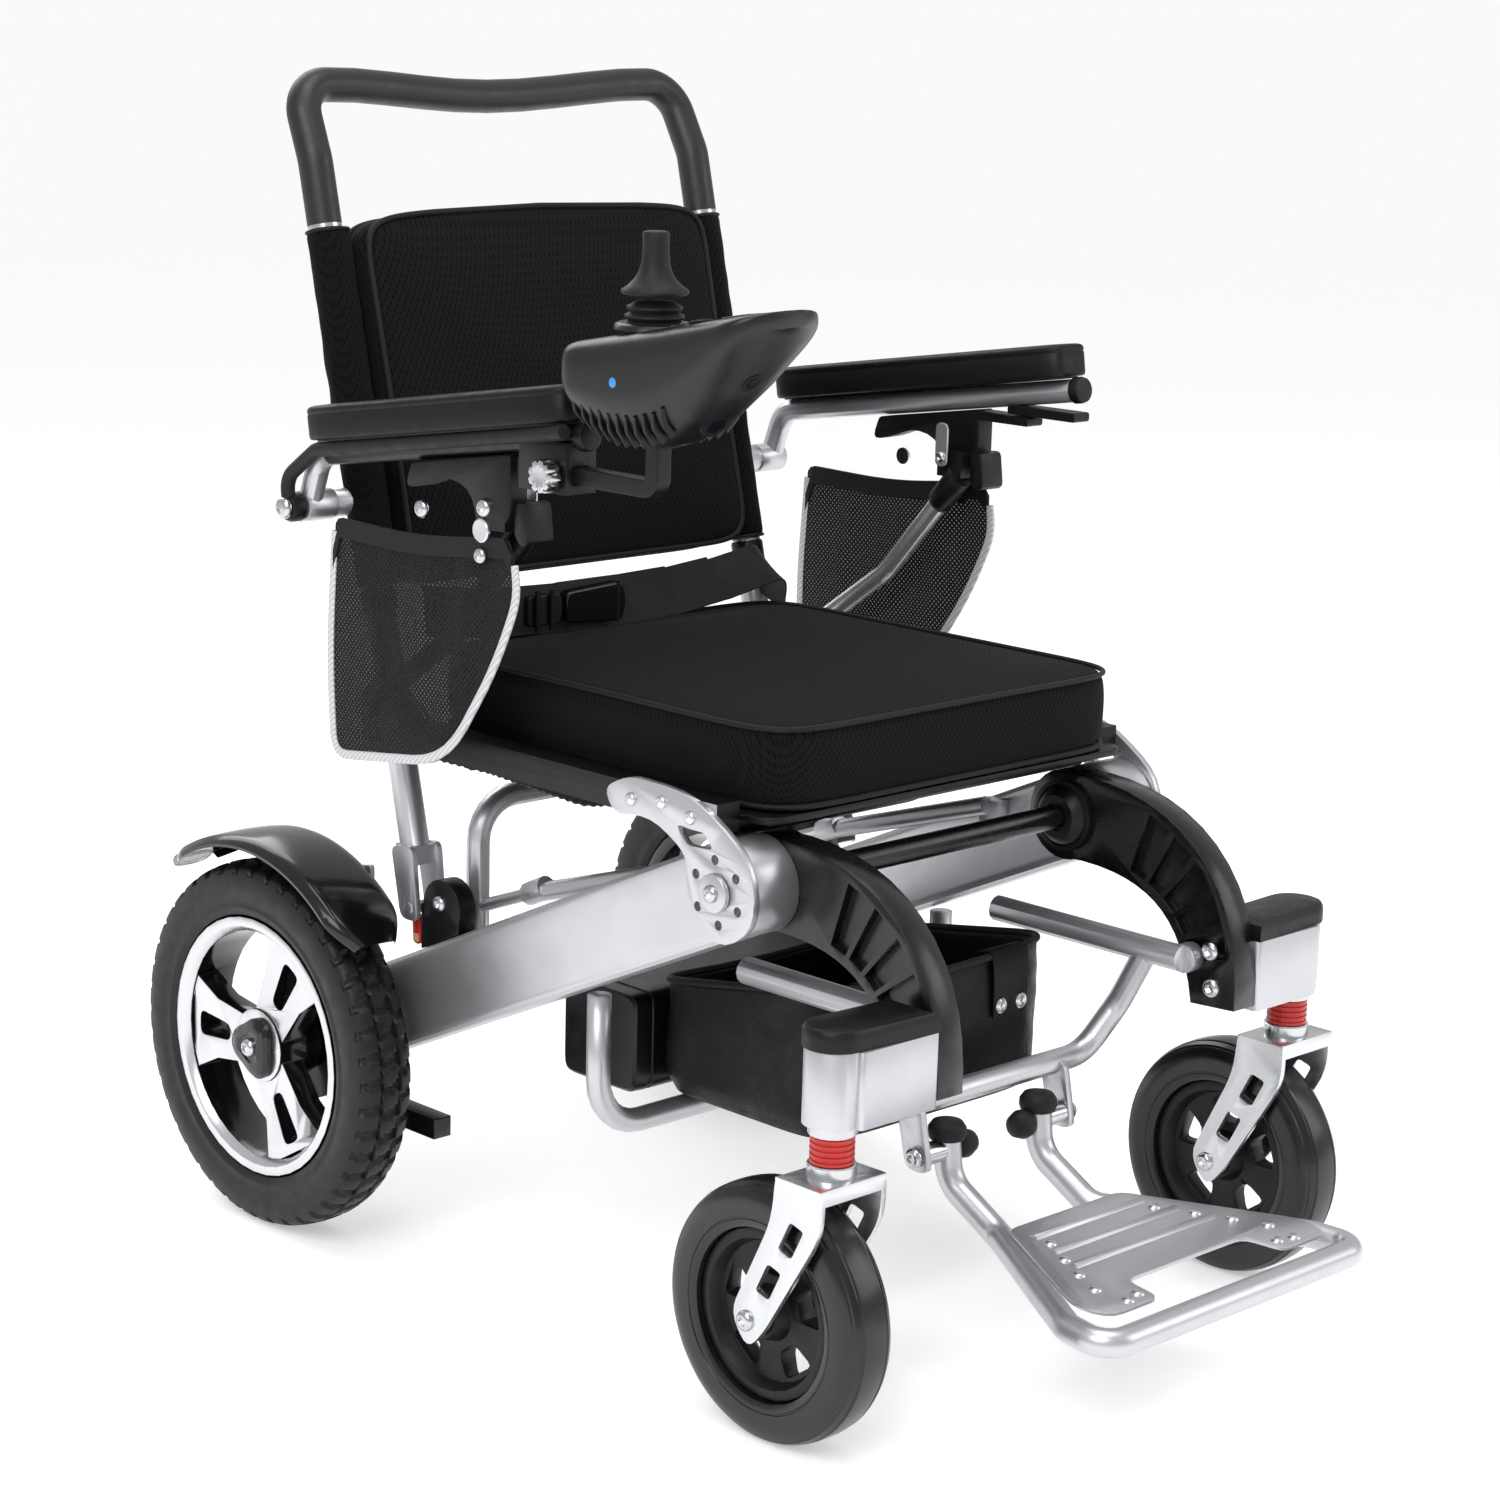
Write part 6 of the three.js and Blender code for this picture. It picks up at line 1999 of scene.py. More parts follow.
@dataclass
class Backrest:
    """The folding backrest: tubes, foam push handle, padded back and the sleeves that hold it.

    Attributes:
        recline: The backrest's lean, in degrees.
        pin: Where the tube's line starts, as Y and Z in millimetres.
        tube_x: Distance of each tube from the middle, in millimetres.
    """

    recline: float = 13.6
    pin: tuple[float, float] = (215.0, 295.99)
    tube_x: float = 214.0

    def at(self, x: float, z: float, behind: float = 0.0) -> Vector:
        """A point beside the tube's line, in metres, from millimetres."""
        lean = math.radians(self.recline)
        y = self.pin[0] + math.tan(lean) * (z - self.pin[1])
        return mm(x, y + behind * math.cos(lean), z - behind * math.sin(lean))

    def build(self) -> None:
        """Makes the backrest."""
        for side in Side:
            dress(f"back_tube_{side.tag}", ALUMINIUM, 0.8 * MM)
            self.sleeve(side)
            self.collars(side)
        self.handle()
        self.pad()

    def handle(self) -> None:
        """The push handle under its foam grip, with a bright ring at each end."""
        top, low = 961, 851

        def half(sign: int) -> list[Vector]:
            """The corners of one side."""
            over = self.at(0, top).y / MM + 16
            return [
                self.at(sign * self.tube_x, low), self.at(sign * self.tube_x, low + 52),
                mm(sign * (self.tube_x - 4), over, top + 3),
            ]

        crown = []
        for i in range(9):
            x = -150 + 300 * i / 8
            dip = math.cos(math.pi / 2 * x / 190) ** 2
            crown.append(mm(x, self.at(0, top).y / MM + 16 + 6 * dip, top + 3 - 11 * dip))
        path = bent_path([*half(-1), *crown, *reversed(half(1))], 44 * MM, 14)
        place(
            sweep("handle_grip", path, 14.5 * MM, FOAM, sides=32, up=(0, 1, 0)), "backrest",
            "push_handle",
        )
        for side in Side:
            start = self.at(side.value * self.tube_x, low - 3)
            end = self.at(side.value * self.tube_x, low + 2)
            place(
                sweep(f"handle_ring_{side.tag}", [start, end], 14.1 * MM, ZINC, sides=36),
                "backrest",
            )

    def sleeve(self, side: Side) -> None:
        """The cloth sleeve sewn to the back's edge and drawn over the tube."""
        foot, head = 560, 846
        rings = []
        steps = 60
        for i in range(steps + 1):
            z = foot + (head - foot) * i / steps
            ring = []
            for k in range(40):
                turn = 2 * math.pi * k / 40
                c, s = math.cos(turn), math.sin(turn)
                reach = 16.2 + 5.5 * max(0.0, c) ** 3
                wrinkle = noise_at(mm(c * 30, s * 30, z), 22 * MM, 3.0 + side.value) * 1.2
                r = (reach + wrinkle) * (1.0 if 0 < i < steps else 0.94)
                ring.append(self.at(side.value * (self.tube_x - r * c), z, r * s))
            rings.append(ring)
        sleeve = loft(f"back_sleeve_{side.tag}", rings, SPACER_SIDE, caps=False, sharp=180)
        thick = sleeve.modifiers.new("cloth thickness", "SOLIDIFY")
        thick.thickness = 1.2 * MM
        place(sleeve, "backrest")
        for name, z in (("upper", head), ("lower", foot)):
            ring = []
            for k in range(40):
                turn = 2 * math.pi * k / 40
                c, s = math.cos(turn), math.sin(turn)
                r = 15.6 + 5.2 * max(0.0, c) ** 3
                ring.append(self.at(side.value * (self.tube_x - r * c), z, r * s))
            place(
                closed_line(ring, 1.6 * MM, f"back_sleeve_hem_{name}_{side.tag}", NYLON), "backrest"
            )

    def collars(self, side: Side) -> None:
        """The black plastic collar on each tube just under its sleeve."""
        low, high = (self.at(side.value * self.tube_x, z) for z in (536, 556))
        collar = sweep(
            f"tube_collar_{side.tag}", [low, low.lerp(high, 0.1), low.lerp(high, 0.9), high],
            14.6 * MM, ABS_BLACK, sides=36, taper=lambda t: 0.94 if t in (0, 1) else 1.0,
        )
        place(collar, "backrest")

    def pad(self) -> None:
        """The padded back: a crowned front, a flat rear, an arched top and a piped edge."""
        low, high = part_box("back_cushion")
        half = (high.x - low.x) / 2
        z_low, z_high = 556.0, 852.0

        def ring(scale: float, depth: float, grow: float = 0.0) -> list[Vector]:
            """One ring of the pad at a depth in front of the tube's line, in millimetres."""
            points = []
            centre = (z_low + z_high) / 2
            tall = (z_high - z_low) / 2
            for u, v in superellipse(half / MM - 3, tall, 13, 160):
                arch = 7 * (1 - (u * MM / half) ** 2) * max(0, v / tall)
                pull = 1 - 0.014 * (1 - (v / tall) ** 2)
                points.append(
                    self.at(
                        (u * pull + math.copysign(grow, u)) * scale, centre + (v + arch) * scale,
                        -depth,
                    )
                )
            return points

        rings = [ring(s, -9) for s in (0.06, 0.4, 0.8, 0.96)]
        rings += [
            ring(0.99, -8), ring(1, -2, 0.6), ring(1, 12, 1.6), ring(0.995, 20, 0.8),
            ring(0.985, 24),
        ]
        rings += [ring(0.93, 27), ring(0.84, 29.5), ring(0.6, 33), ring(0.3, 35), ring(0.05, 35.4)]
        cover = loft("back_cover", rings, SPACER, sharp=180)
        seam = Seat.dense(ring(0.985, 24))
        rear = Seat.dense(ring(0.99, -8))
        plump(cover, [seam, rear], 6 * MM)
        place(cover, "backrest", "back_cushion")
        for name, line in (("front", ring(0.99, 24)), ("rear", ring(0.994, -8))):
            place(closed_line(line, 2.4 * MM, f"back_piping_{name}", NYLON), "backrest")


# ---------------------------------------------------------------- armrests


@dataclass
class Armrest:
    """One flip-up armrest: tube, pad, latch and net guard.

    Attributes:
        side: Which armrest.
        wrinkles: Depth of the net's folds.
    """

    side: Side
    wrinkles: float = 2.2 * MM

    def build(self) -> None:
        """Makes the armrest."""
        tag = self.side.tag
        self.tube()
        dress(f"latch_body_{tag}", ABS_BLACK, 0.9 * MM)
        dress(f"latch_lever_{tag}", ABS_BLACK, 0.9 * MM)
        self.pad()
        self.guard()
        self.fittings()

    def tube(self) -> None:
        """The armrest's tube: bare metal, and black where the controller is mounted."""
        covered = self.side is Side.RIGHT

        def rule(middle: Vector, normal: Vector) -> int:
            """Black ahead of the rear bend on the controller's side."""
            return 1 if covered and middle.y < 262 * MM else 0

        dress_faces(f"arm_tube_{self.side.tag}", (ALUMINIUM, ABS_BLACK), rule)

    def pad(self) -> None:
        """The arm pad: textured skin foam with eased edges and a moulded seam."""
        tag = self.side.tag
        _, high, centre, size = spans(f"arm_pad_{tag}")
        lean = math.atan(PAD_SLOPE)
        half_w, half_l = size.x, size.y / math.cos(lean) - 2 * MM
        pivot = Vector((centre.x, high.y, PAD_REAR[1] * MM))
        along = Vector((0, -math.cos(lean), math.sin(lean)))
        up = Vector((0, math.sin(lean), math.cos(lean)))
        middle = pivot + along * half_l
        rows = [
            (0.0, 0.90), (0.4, 0.955), (1.5, 0.985), (4, 1.0), (20.0, 1.0), (20.6, 0.985),
            (21.6, 0.985), (22.2, 1.0), (24.6, 0.99), (26.2, 0.955), (27.2, 0.89), (27.8, 0.78),
            (28.2, 0.5), (28.4, 0.05),
        ]
        rings = []
        for height, grow in rows:
            shrink = (1 - grow) * half_w
            ring = []
            for u, v in superellipse(half_w - shrink, half_l - shrink, 5.5, 96):
                ring.append(middle + Vector((u, 0, 0)) + along * v + up * height * MM)
            rings.append(ring)
        body = f"armrest_{tag}"
        pad = loft(f"pad_{tag}", rings, PAD_SKIN, sharp=50)
        place(pad, body, f"arm_pad_{tag}")
        base = slab(
            f"pad_base_{tag}", superellipse(half_w * 0.86, half_l * 0.965, 5, 64), -1.5 * MM,
            0.6 * MM, Axis.Z, ABS_BLACK,
        )
        turn = Matrix((Vector((1, 0, 0)), -along, up)).transposed()
        for vertex in base.data.vertices:
            vertex.co = middle + turn @ vertex.co
        place(base, body)

    def guard(self) -> None:
        """The net side guard: a stretched sheet with soft folds, a bound edge and a top band."""
        tag = self.side.tag
        node = f"side_guard_{tag}"
        low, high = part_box(node)
        outline = resample(outline_of(node, Axis.X), 120)
        middle_x = (low.x + high.x) / 2
        cy = sum(p[0] for p in outline) / len(outline)
        cz = sum(p[1] for p in outline) / len(outline)

        def fold(y: float, z: float, share: float) -> float:
            """How far the net stands out at a place, from the middle to the edge."""
            slack = 1 - share**4
            wave = math.sin((y + (z - cz) * 0.25) / (9 * MM)) * 0.45
            wave += noise_at(Vector((y, z * 0.3, 0)), 26 * MM, 4.0)
            return self.wrinkles * slack * wave

        rings = []
        for k in range(25):
            share = 0.02 + 0.98 * k / 24
            spots = [(cy + (y - cy) * share, cz + (z - cz) * share) for y, z in outline]
            rings.append([Vector((middle_x + fold(y, z, share), y, z)) for y, z in spots])
        count = len(outline)
        faces: list = list(ring_faces(len(rings), count))
        faces.append(tuple(range(count)))
        net = from_faces(f"guard_net_{tag}", [p for r in rings for p in r], faces, NET, 180)
        thick = net.modifiers.new("net thickness", "SOLIDIFY")
        thick.thickness = 0.8 * MM
        body = f"armrest_{tag}"
        place(net, body, node)
        sides = list(zip(outline, [*outline[1:], outline[0]]))
        edge = [Vector((middle_x, y, z)) for y, z in outline]
        hem = max(z for _, z in outline) - 16 * MM
        crossed = [i for i in range(len(edge)) if (edge[i].z >= hem) != (edge[i - 1].z >= hem)]
        start = max(crossed, key=lambda i: (edge[i] - edge[i - 1]).length)
        bound = [p for p in edge[start:] + edge[:start] if p.z < hem]
        jump = max(range(1, len(bound)), key=lambda i: (bound[i] - bound[i - 1]).length)
        if (bound[jump] - bound[jump - 1]).length > 30 * MM:
            bound = bound[jump:] + bound[:jump]
        flat = [(u * 3.9 * MM, v * 1.7 * MM) for u, v in superellipse(1, 1, 3, 14)]
        place(sweep(f"guard_edge_{tag}", bound, flat, PIPING_LIGHT, up=(1, 0, 0)), body)
        rows = []
        ys = sorted(p[0] for p in outline)
        for i in range(25):
            y = ys[0] + (ys[-1] - ys[0]) * (0.02 + 0.96 * i / 24)
            crossing = [
                a[1] + (b[1] - a[1]) * (y - a[0]) / (b[0] - a[0])
                for a, b in sides
                if (a[0] - y) * (b[0] - y) < 0
            ]
            z = max(crossing)
            tall = min(15 * MM, (z - min(crossing)) * 0.8)
            corners = ((-1.8, 1 * MM), (1.8, 1 * MM), (1.8, -tall), (-1.8, -tall))
            rows.append([Vector((middle_x + u * MM, y, z + v)) for u, v in corners])
        place(loft(f"guard_band_{tag}", rows, NYLON, sharp=60), body)

    def fittings(self) -> None:
        """Bolts of the latch and pivot, the slotted plate, the disc and the tube's end plug."""
        tag, sign = self.side.tag, self.side.value
        body = f"armrest_{tag}"
        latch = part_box(f"latch_body_{tag}")
        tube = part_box(f"arm_tube_{tag}")
        inner = min(abs(latch[0].x), abs(latch[1].x)) * sign
        outer = max(abs(latch[0].x), abs(latch[1].x)) * sign
        spots = (("rear", 106, 38, 7.5), ("front", 30, 48, 7.5), ("foot", 34, 10, 6.5))
        for name, dy, dz, radius in spots:
            y, z = latch[0].y + dy * MM, latch[0].z + dz * MM
            button_bolt(f"latch_bolt_{name}_{tag}", (outer, y, z), (sign, 0, 0), radius * MM, body)
        disc = lathe(
            f"latch_disc_{tag}",
            [
                (a * sign, r)
                for a, r in (
                    (0, 9.5 * MM), (1.8 * MM, 9.5 * MM), (2.6 * MM, 8.4 * MM), (2.4 * MM, 2 * MM)
                )
            ],
            (outer, latch[0].y + 33 * MM, latch[0].z + 30 * MM),
            Axis.X,
            BRIGHT_ALUMINIUM,
            40,
        )
        place(disc, body)
        plate_y, plate_z = latch[0].y + 22 * MM, latch[1].z - 30 * MM
        slot = rounded_box(
            plate_y - 7 * MM, plate_z - 20 * MM, plate_y + 7 * MM, plate_z + 18 * MM, 6 * MM
        )
        plate = slab(
            f"latch_plate_{tag}", slot, *sorted((inner, inner - sign * 2 * MM)), Axis.X, ALUMINIUM,
            0.6 * MM,
        )
        place(plate, body)
        button_bolt(
            f"latch_plate_bolt_{tag}", (inner - sign * 2 * MM, plate_y, plate_z - 12 * MM),
            (-sign, 0, 0), 5 * MM, body,
        )
        pivot = mm(sign * (275.2 if sign > 0 else 290.6), *ARM_PIVOT)
        button_bolt(f"arm_pivot_bolt_{tag}", pivot, (sign, 0, 0), 9 * MM, body)
        lean = math.atan(PAD_SLOPE)
        along = Vector((0, -math.cos(lean), math.sin(lean)))
        front = Vector((sign * 266 * MM, tube[0].y, 0))
        front.z = PAD_REAR[1] * MM + PAD_SLOPE * (PAD_REAR[0] * MM - front.y) - 11.5 * MM
        plug = sweep(
            f"tube_plug_{tag}", [front + along * d * MM for d in (-5, 1, 3.4, 4.4)], 11.4 * MM,
            ABS_BLACK, sides=32, taper=lambda t: (1.0, 1.0, 0.93, 0.6)[round(t * 3)],
        )
        place(plug, body)
        if self.side is Side.LEFT:
            self.spare_bar()

    def spare_bar(self) -> None:
        """The flat bar under the pad's front, where a controller would go on this side."""
        for i, (y, z, length) in enumerate(((-34, 703, 76), (10, 694, 60))):
            outline = rounded_box(y - length / 2, z - 4, y + length / 2, z + 4, 2.5)
            bar = slab(
                f"spare_bar_{i}", pairs_mm(*outline), 256 * MM, 276 * MM, Axis.X, ABS_BLACK, 1 * MM
            )
            place(bar, "armrest_left")


# ---------------------------------------------------------------- controller


@dataclass
class Controller:
    """The joystick controller: lofted shell, keys, boot, knob, clamp bar, clamp knob and cable.

    Attributes:
        stick: The stick's Y and the panel's Z there, in millimetres.
        slope: Rise of the panel towards the front.
        x: The middle of the shell, in millimetres.
        half_width: Half the shell's width, in millimetres.
    """

    stick: tuple[float, float] = (-111.81, 807.0)
    slope: float = 0.19
    x: float = -266.0
    half_width: float = 44.0

    def panel(self, y: float) -> float:
        """Height of the panel at a place along it, in millimetres."""
        return self.stick[1] + self.slope * (self.stick[0] - y)

    def build(self) -> None:
        """Makes the controller."""
        self.shell()
        self.top()
        self.joystick()
        self.clamp()
        self.cable()
        dress("power_key", ABS_BLACK, 0.5 * MM)
        dress("horn_key", ABS_BLACK, 0.5 * MM)

    def belly(self, y: float) -> float:
        """Height of the shell's underside at a place along it, in millimetres."""
        s, z = self.stick
        line = [
            (s + 70, z - 30), (s + 64, z - 54), (s + 50, z - 69), (s + 26, z - 80), (s + 4, z - 85),
            (s - 20, z - 84), (s - 44, z - 77), (s - 68, z - 62), (s - 92, z - 41),
            (s - 116, z - 14), (s - 140, z + 14),
        ]
        for (y0, z0), (y1, z1) in zip(line, line[1:]):
            if y1 <= y <= y0:
                return z0 + (z1 - z0) * (y0 - y) / (y0 - y1)
        return line[0][1] if y > line[0][0] else line[-1][1]

    def shell(self) -> None:
        """The bulbous shell, in one skin from the rounded rear to the thin front lip."""
        s = self.stick[0]
        rings = []
        for i in range(61):
            share = i / 60
            y = s + 70 - 212 * share
            top, base = self.panel(y) - 0.4, self.belly(y)
            rear = min(1.0, (s + 72.5 - y) / 30)
            front = min(1.0, (y - (s - 144)) / 34)
            wide = self.half_width * math.sqrt(max(0.0, 1 - (1 - rear) ** 2.2)) * math.sqrt(
                max(0.02, 1 - (1 - front) ** 2.4)
            )
            middle, tall = (top + base) / 2, (top - base) / 2 * math.sqrt(
                max(0.02, 1 - (1 - min(1, rear * 1.4)) ** 2.4)
            )
            ring = []
            for k in range(72):
                turn = 2 * math.pi * k / 72
                c, q = math.cos(turn), math.sin(turn)
                power = 5.0 if q > 0 else 2.3
                u = wide * math.copysign(abs(c) ** (2 / power), c)
                v = tall * math.copysign(abs(q) ** (2 / power), q)
                waist = 1 - 0.16 * max(0.0, -v / max(tall, 1)) ** 1.5
                ring.append(mm(self.x + u * waist, y, middle + v))
            rings.append(ring)
        shell = loft("controller_case", rings, ABS_SHELL, sharp=60)
        place(shell, "controller", "controller_shell")
        self.fins()
        dot = lathe(
            "status_dot", pairs_mm((0, 4.6), (-0.8, 4.4), (-1.4, 3.2), (-1.5, 1)),
            mm(self.x - self.half_width + 1.2, -116, 772), Axis.X, ABS_BLUE, 32, 60,
        )
        place(dot, "controller")

    def fins(self) -> None:
        """The vent fins round the underside, and the sockets' surround at the front."""
        s = self.stick[0]
        for side in Side:
            sign = side.value
            for i in range(11):
                y = s + 44 - i * 9.5
                base = self.belly(y)
                tall = 15 - 0.5 * abs(i - 5)
                x = self.x + sign * (self.half_width * 0.86)
                path = [
                    mm(x + sign * 1.0, y - 2, base + tall + 12), mm(x - sign * 2.2, y, base + tall),
                    mm(x - sign * 12, y + 1, base + 3),
                ]
                fin = sweep(
                    f"vent_fin_{side.tag}_{i}", bent_path(path, 10 * MM, 4),
                    [(u * 1.5 * MM, v * 2.6 * MM) for u, v in superellipse(1, 1, 4, 12)], ABS_BLACK,
                    up=(sign, 0, 0),
                )
                place(fin, "controller")
        for i, (y, z, r) in enumerate(((s - 64, 748, 12.5), (s - 100, 782, 9))):
            away = Vector((0, -0.72, -0.69))
            origin = mm(self.x, y, z)
            place(
                sweep(
                    f"socket_ring_{i}", [origin, origin + away * 5 * MM], r * MM, ABS_BLACK,
                    sides=36,
                ),
                "controller",
            )
            place(
                sweep(
                    f"socket_core_{i}", [origin + away * 4 * MM, origin + away * 5.6 * MM],
                    r * 0.62 * MM, SCREEN, sides=36,
                ),
                "controller",
            )

    def top(self) -> None:
        """The dark panel window between the stick and the keys, and the rings round the keys."""
        lean = math.atan(self.slope)
        along = Vector((0, -math.cos(lean), math.sin(lean)))
        up = Vector((0, math.sin(lean), math.cos(lean)))

        def lay(
            name: str, y: float, half_u: float, half_v: float, low: float, high: float,
            finish: Finish, power: float = 5,
        ) -> None:
            """Lays a plate on the sloping panel."""
            middle = mm(self.x, y, self.panel(y))
            edge = superellipse(half_u * MM, half_v * MM, power, 48)
            rings = [
                [middle + Vector((u * g, 0, 0)) + along * v * g + up * h * MM for u, v in edge]
                for h, g in ((low, 1), (high - 0.4, 1), (high, 0.97))
            ]
            place(loft(name, rings, finish), "controller")

        lay("battery_gauge", self.stick[0] - 44, 22, 7, -1, 0.8, SCREEN)
        lay("panel_trim", self.stick[0] - 104, 24, 14, -1, 0.5, ABS_BLACK)
        colours = (ABS_RED, LENS, LENS, LENS, ABS_BLUE)
        for i, finish in enumerate(colours):
            y = self.stick[0] - 44 + 0.01
            middle = mm(self.x - 14 + i * 7, y, self.panel(self.stick[0] - 44))
            ends = [middle + up * h * MM for h in (0.4, 1.2)]
            place(sweep(f"gauge_light_{i}", ends, 1.7 * MM, finish, sides=16), "controller")
        for name in ("power_key", "horn_key"):
            at = centre_of(name)
            seat = mm(at.x / MM, at.y / MM, self.panel(at.y / MM))
            ring = []
            for i in range(32):
                turn = 2 * math.pi * i / 32
                across = Vector((math.cos(turn), 0, 0))
                ring.append(seat + (across + along * math.sin(turn)) * 8.2 * MM)
            place(closed_line(ring, 0.8 * MM, f"{name}_ring", ABS_BLACK), "controller")

    def joystick(self) -> None:
        """The flared knob, its ringed boot and the collar that the boot sits in."""
        pivot = mm(self.x, self.stick[0], self.stick[1] - 2)
        collar = pairs_mm((3, 30), (6.5, 29), (8, 26), (7, 22), (3, 20))
        place(lathe("stick_collar", collar, pivot, Axis.Z, ABS_SHELL, 56, 60), "controller")
        boot = [(0, 20.5 * MM)]
        for i in range(3):
            z = (4 + i * 6.2) * MM
            boot += [
                (z, (21.5 - 1.2 * i) * MM), (z + 1.6 * MM, (23.6 - 1.5 * i) * MM),
                (z + 3.2 * MM, (23.4 - 1.5 * i) * MM), (z + 4.8 * MM, (19.4 - 1.2 * i) * MM),
            ]
        boot += [(23.2 * MM, 14 * MM), (24 * MM, 6 * MM)]
        place(
            lathe("stick_boot", boot, pivot, Axis.Z, SOFT_RUBBER, 56, 50), "stick_gimbal",
            "stick_dome",
        )
        base = 28 * MM
        knob = pairs_mm(
            (0, 5), (0.2, 24), (1.6, 25), (3.4, 24.6), (7, 19.5), (11, 15.6), (16, 12.4),
            (22, 10.6), (30, 9.9), (38, 9.8), (43, 10), (45.2, 9), (46, 6), (45.6, 2),
        )
        place(
            lathe(
                "stick_grip", [(z + base, r) for z, r in knob], pivot, Axis.Z, SOFT_RUBBER, 56, 50
            ),
            "stick",
            "stick_knob",
        )

    def clamp(self) -> None:
        """The bar that slides in the armrest's receiver, and the scalloped clamp knob."""
        bar_z = 691.3
        section = pairs_mm(*rounded_box(-7, -7, 7, 7, 1.5))
        path = bent_path(
            [mm(self.x, 31, bar_z), mm(self.x, -118.8, bar_z), mm(self.x, -118.8, 748)], 9 * MM, 6
        )
        place(sweep("clamp_bar", path, section, ABS_BLACK, up=(1, 0, 0)), "controller")
        low, _, middle, _ = spans("thumb_knob")

        def grips(turn: float, along: float, radius: float) -> float:
            """Cuts finger flutes round the knob."""
            return radius - (1.8 * MM * max(0.0, math.cos(9 * turn)) if radius > 9 * MM else 0)

        profile = pairs_mm(
            (15, 5), (12, 7.8), (11.6, 12.6), (9, 13), (3, 13), (0.8, 12.2), (0, 10), (0.6, 6)
        )
        place(
            lathe("clamp_knob", profile, (low.x, middle.y, middle.z), Axis.X, ZINC, 108, 35, grips),
            "thumb_knob", "thumb_knob",
        )

    def cable(self) -> None:
        """The controller's cable: under the pad, down to the eye on the armrest's pivot."""
        x = -286.0

        def under(y: float) -> tuple[float, float, float]:
            """A point under the pad."""
            return (x, y, PAD_REAR[1] + PAD_SLOPE * (PAD_REAR[0] - y) - 7)

        points = [under(-37.1), under(100), under(266.08), (x, 306.08, 651), (x, 302.08, 627)]
        path = bent_path([mm(*p) for p in points], 18 * MM, 8)
        fine = [*spaced(path, 12 * MM), path[-1]]
        cable = sweep("controller_lead", fine, 6 * MM, SOFT_RUBBER, sides=16, up=(1, 0, 0))
        place(cable, "armrest_right", "controller_cable")
        profile = pairs_mm((0, 9), (-1, 12), (-9, 12), (-13, 10), (-13.6, 6))
        at = mm(-276.6, 302.08, 627)
        eye = lathe("controller_lead_eye", profile, at, Axis.X, ABS_BLACK, 36, 40)
        place(eye, "armrest_right")
        tuple(fine[0])
        run_of(fine)
        [tuple(p) for p in fine]


# ---------------------------------------------------------------- studio


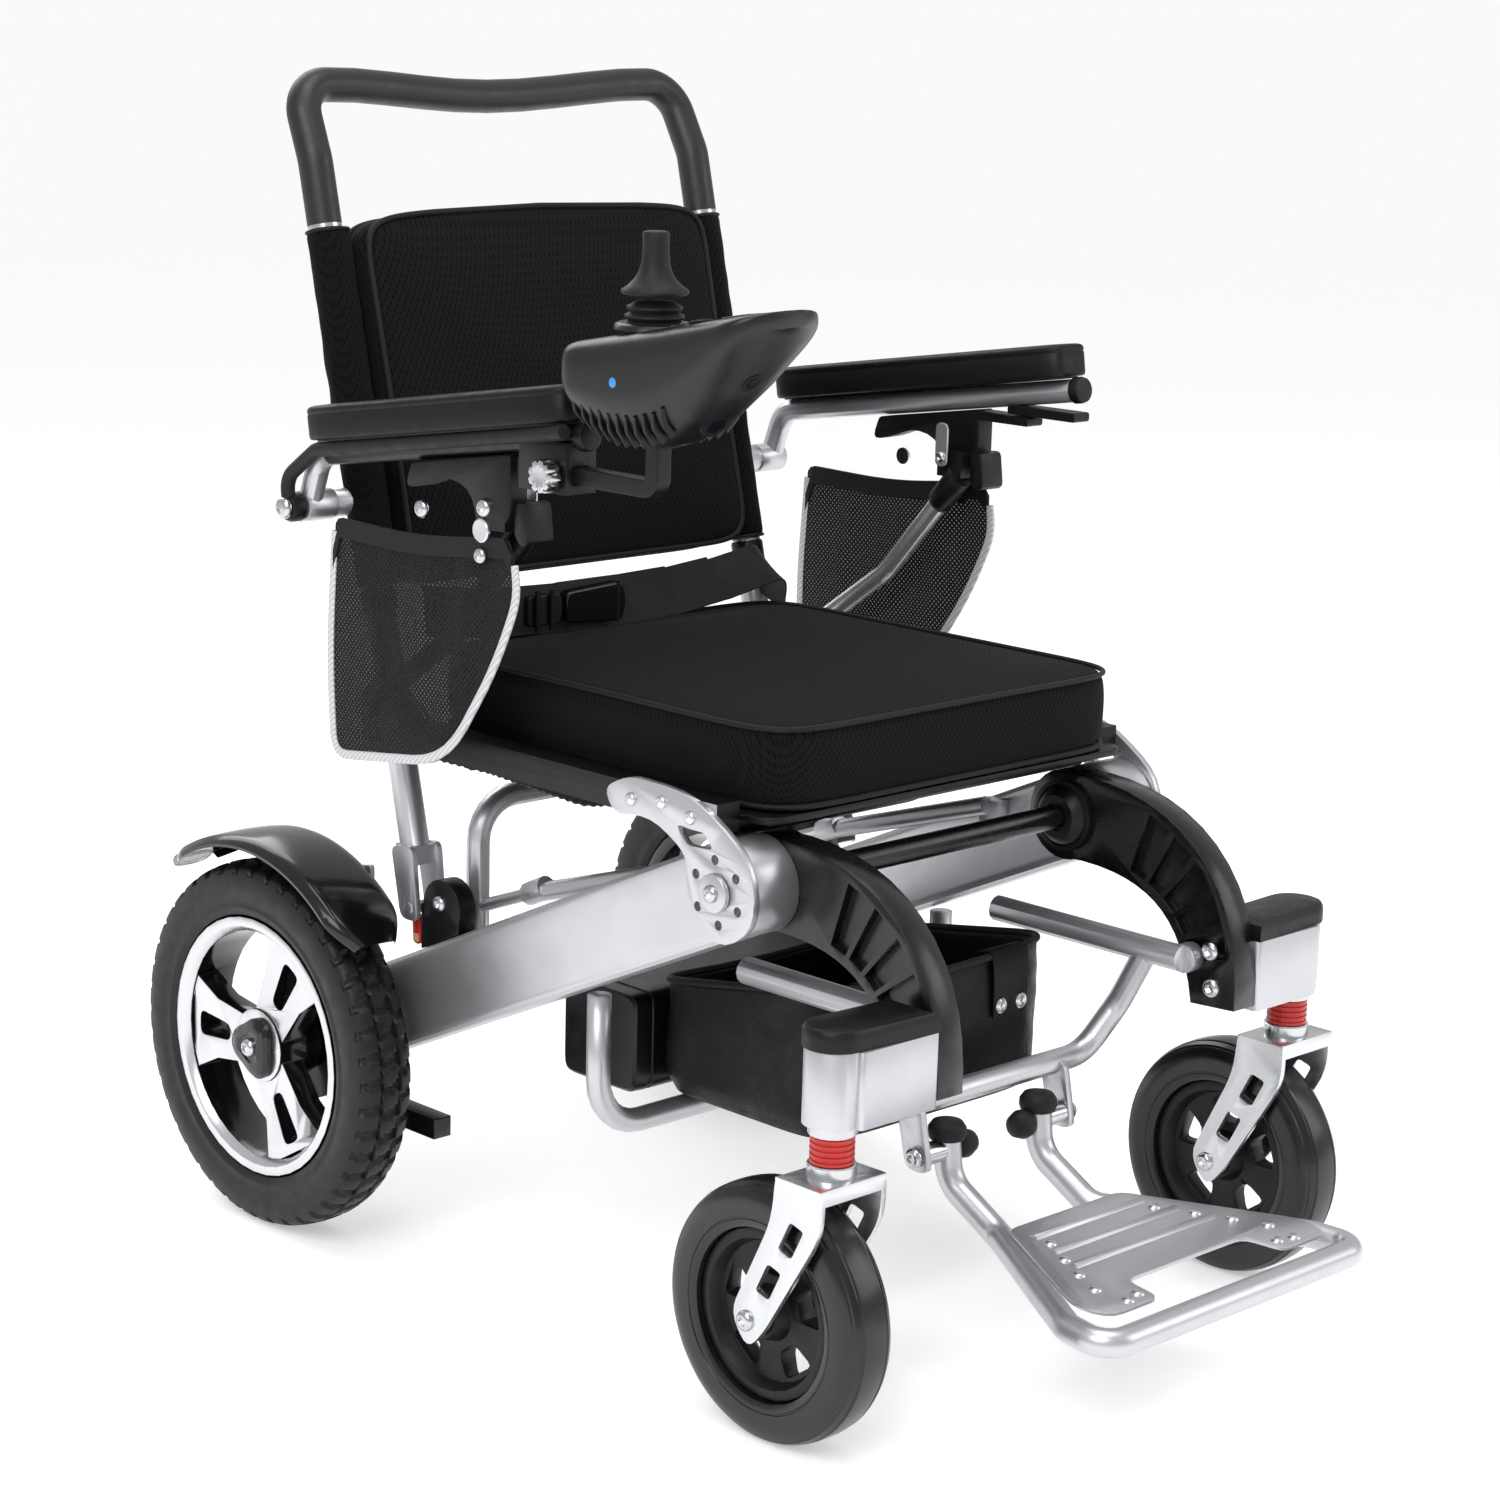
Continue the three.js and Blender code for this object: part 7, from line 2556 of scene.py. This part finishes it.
@dataclass
class Studio:
    """A pale floor, soft lights and the camera.

    Attributes:
        azimuth: Degrees that the camera looks round from +Y.
        elevation: Degrees that it looks down.
        roll: Degrees that it is tilted.
        lens: Focal length on a 36 mm sensor.
        position: Where the camera stands.
        floor: Half the floor's side.
    """

    azimuth: float = -44.5
    elevation: float = 12.6
    roll: float = 1.5
    lens: float = 81.87
    position: tuple[float, float, float] = (-1.9523, -1.9383, 1.0520)
    floor: float = 9.0

    def camera(self) -> None:
        """Sets up the camera."""
        az, el, ro = (math.radians(v) for v in (self.azimuth, self.elevation, self.roll))
        look = Vector((-math.sin(az) * math.cos(el), math.cos(az) * math.cos(el), -math.sin(el)))
        right = look.cross(Vector((0, 0, 1))).normalized()
        up = right.cross(look)
        across = right * math.cos(ro) + up * math.sin(ro)
        upward = -right * math.sin(ro) + up * math.cos(ro)
        data = bpy.data.cameras.new("camera")
        data.lens = self.lens
        data.sensor_width = 36
        camera = bpy.data.objects.new("camera", data)
        camera.matrix_world = Matrix((across, upward, -look)).transposed().to_4x4()
        camera.location = self.position
        bpy.context.scene.collection.objects.link(camera)
        bpy.context.scene.camera = camera

    def build(self) -> None:
        """Makes the floor and the lights."""
        paper = MouldedPlastic(
            "white_paper", "silver", "#F4F4F4", "#EFEFF0", 0.75, 3 * MM, 0.01 * MM
        )
        mesh = bpy.data.meshes.new("floor")
        corners = ((-1, -1, 0), (1, -1, 0), (1, 1, 0), (-1, 1, 0))
        mesh.from_pydata([Vector(c) * self.floor for c in corners], [], [(0, 1, 2, 3)])
        floor = bpy.data.objects.new("floor", mesh)
        mesh.materials.append(paper.material())
        glow = next(n for n in mesh.materials[0].node_tree.nodes if n.type == "BSDF_PRINCIPLED")
        glow.inputs["Emission Color"].default_value = linear("#FFFFFF")
        glow.inputs["Emission Strength"].default_value = 0.42
        bpy.context.scene.collection.objects.link(floor)
        world = bpy.data.worlds.new("studio")
        world.use_nodes = True
        backdrop = world.node_tree.nodes["Background"]
        backdrop.inputs["Color"].default_value = linear("#FAFAFB")
        seen = add(world.node_tree, "ShaderNodeLightPath").outputs["Is Camera Ray"]
        strength = add(
            world.node_tree, "ShaderNodeMapRange", {"Value": seen, "To Min": 0.62, "To Max": 1.0}
        )
        world.node_tree.links.new(strength.outputs["Result"], backdrop.inputs["Strength"])
        bpy.context.scene.world = world
        bpy.context.scene.view_settings.view_transform = "Standard"
        self.light("key", (-2.6, -1.2, 2.8), 2.2, 62)
        self.light("fill", (2.4, -2.8, 1.9), 2.0, 26)
        self.light("back", (0.6, 2.8, 2.6), 2.2, 36)
        self.light("top", (0.0, -0.3, 3.4), 1.8, 34)

    @staticmethod
    def light(name: str, at: Sequence[float], size: float, power: float) -> None:
        """One soft square light that faces the chair."""
        data = bpy.data.lights.new(name, "AREA")
        data.size = size
        data.energy = power
        lamp = bpy.data.objects.new(name, data)
        lamp.location = at
        aim = Vector((0, 0, 0.45)) - Vector(at)
        lamp.rotation_euler = aim.to_track_quat("-Z", "Y").to_euler()
        bpy.context.scene.collection.objects.link(lamp)


def main() -> None:
    """Builds the chair, one sub-assembly after another."""
    studio = Studio()
    studio.camera()
    parts = [
        Controller(),
        Seat(),
        RearFrame(),
        StorageBag(),
        *(DriveWheel(side) for side in Side),
        *(Caster(side) for side in Side),
        FrontFrame(),
        Footrest(),
        Backrest(),
        *(Armrest(side) for side in Side),
    ]
    for part in parts:
        log.info("building %s", part)
        part.build()
    studio.build()


if __name__ == "__main__":
    main()
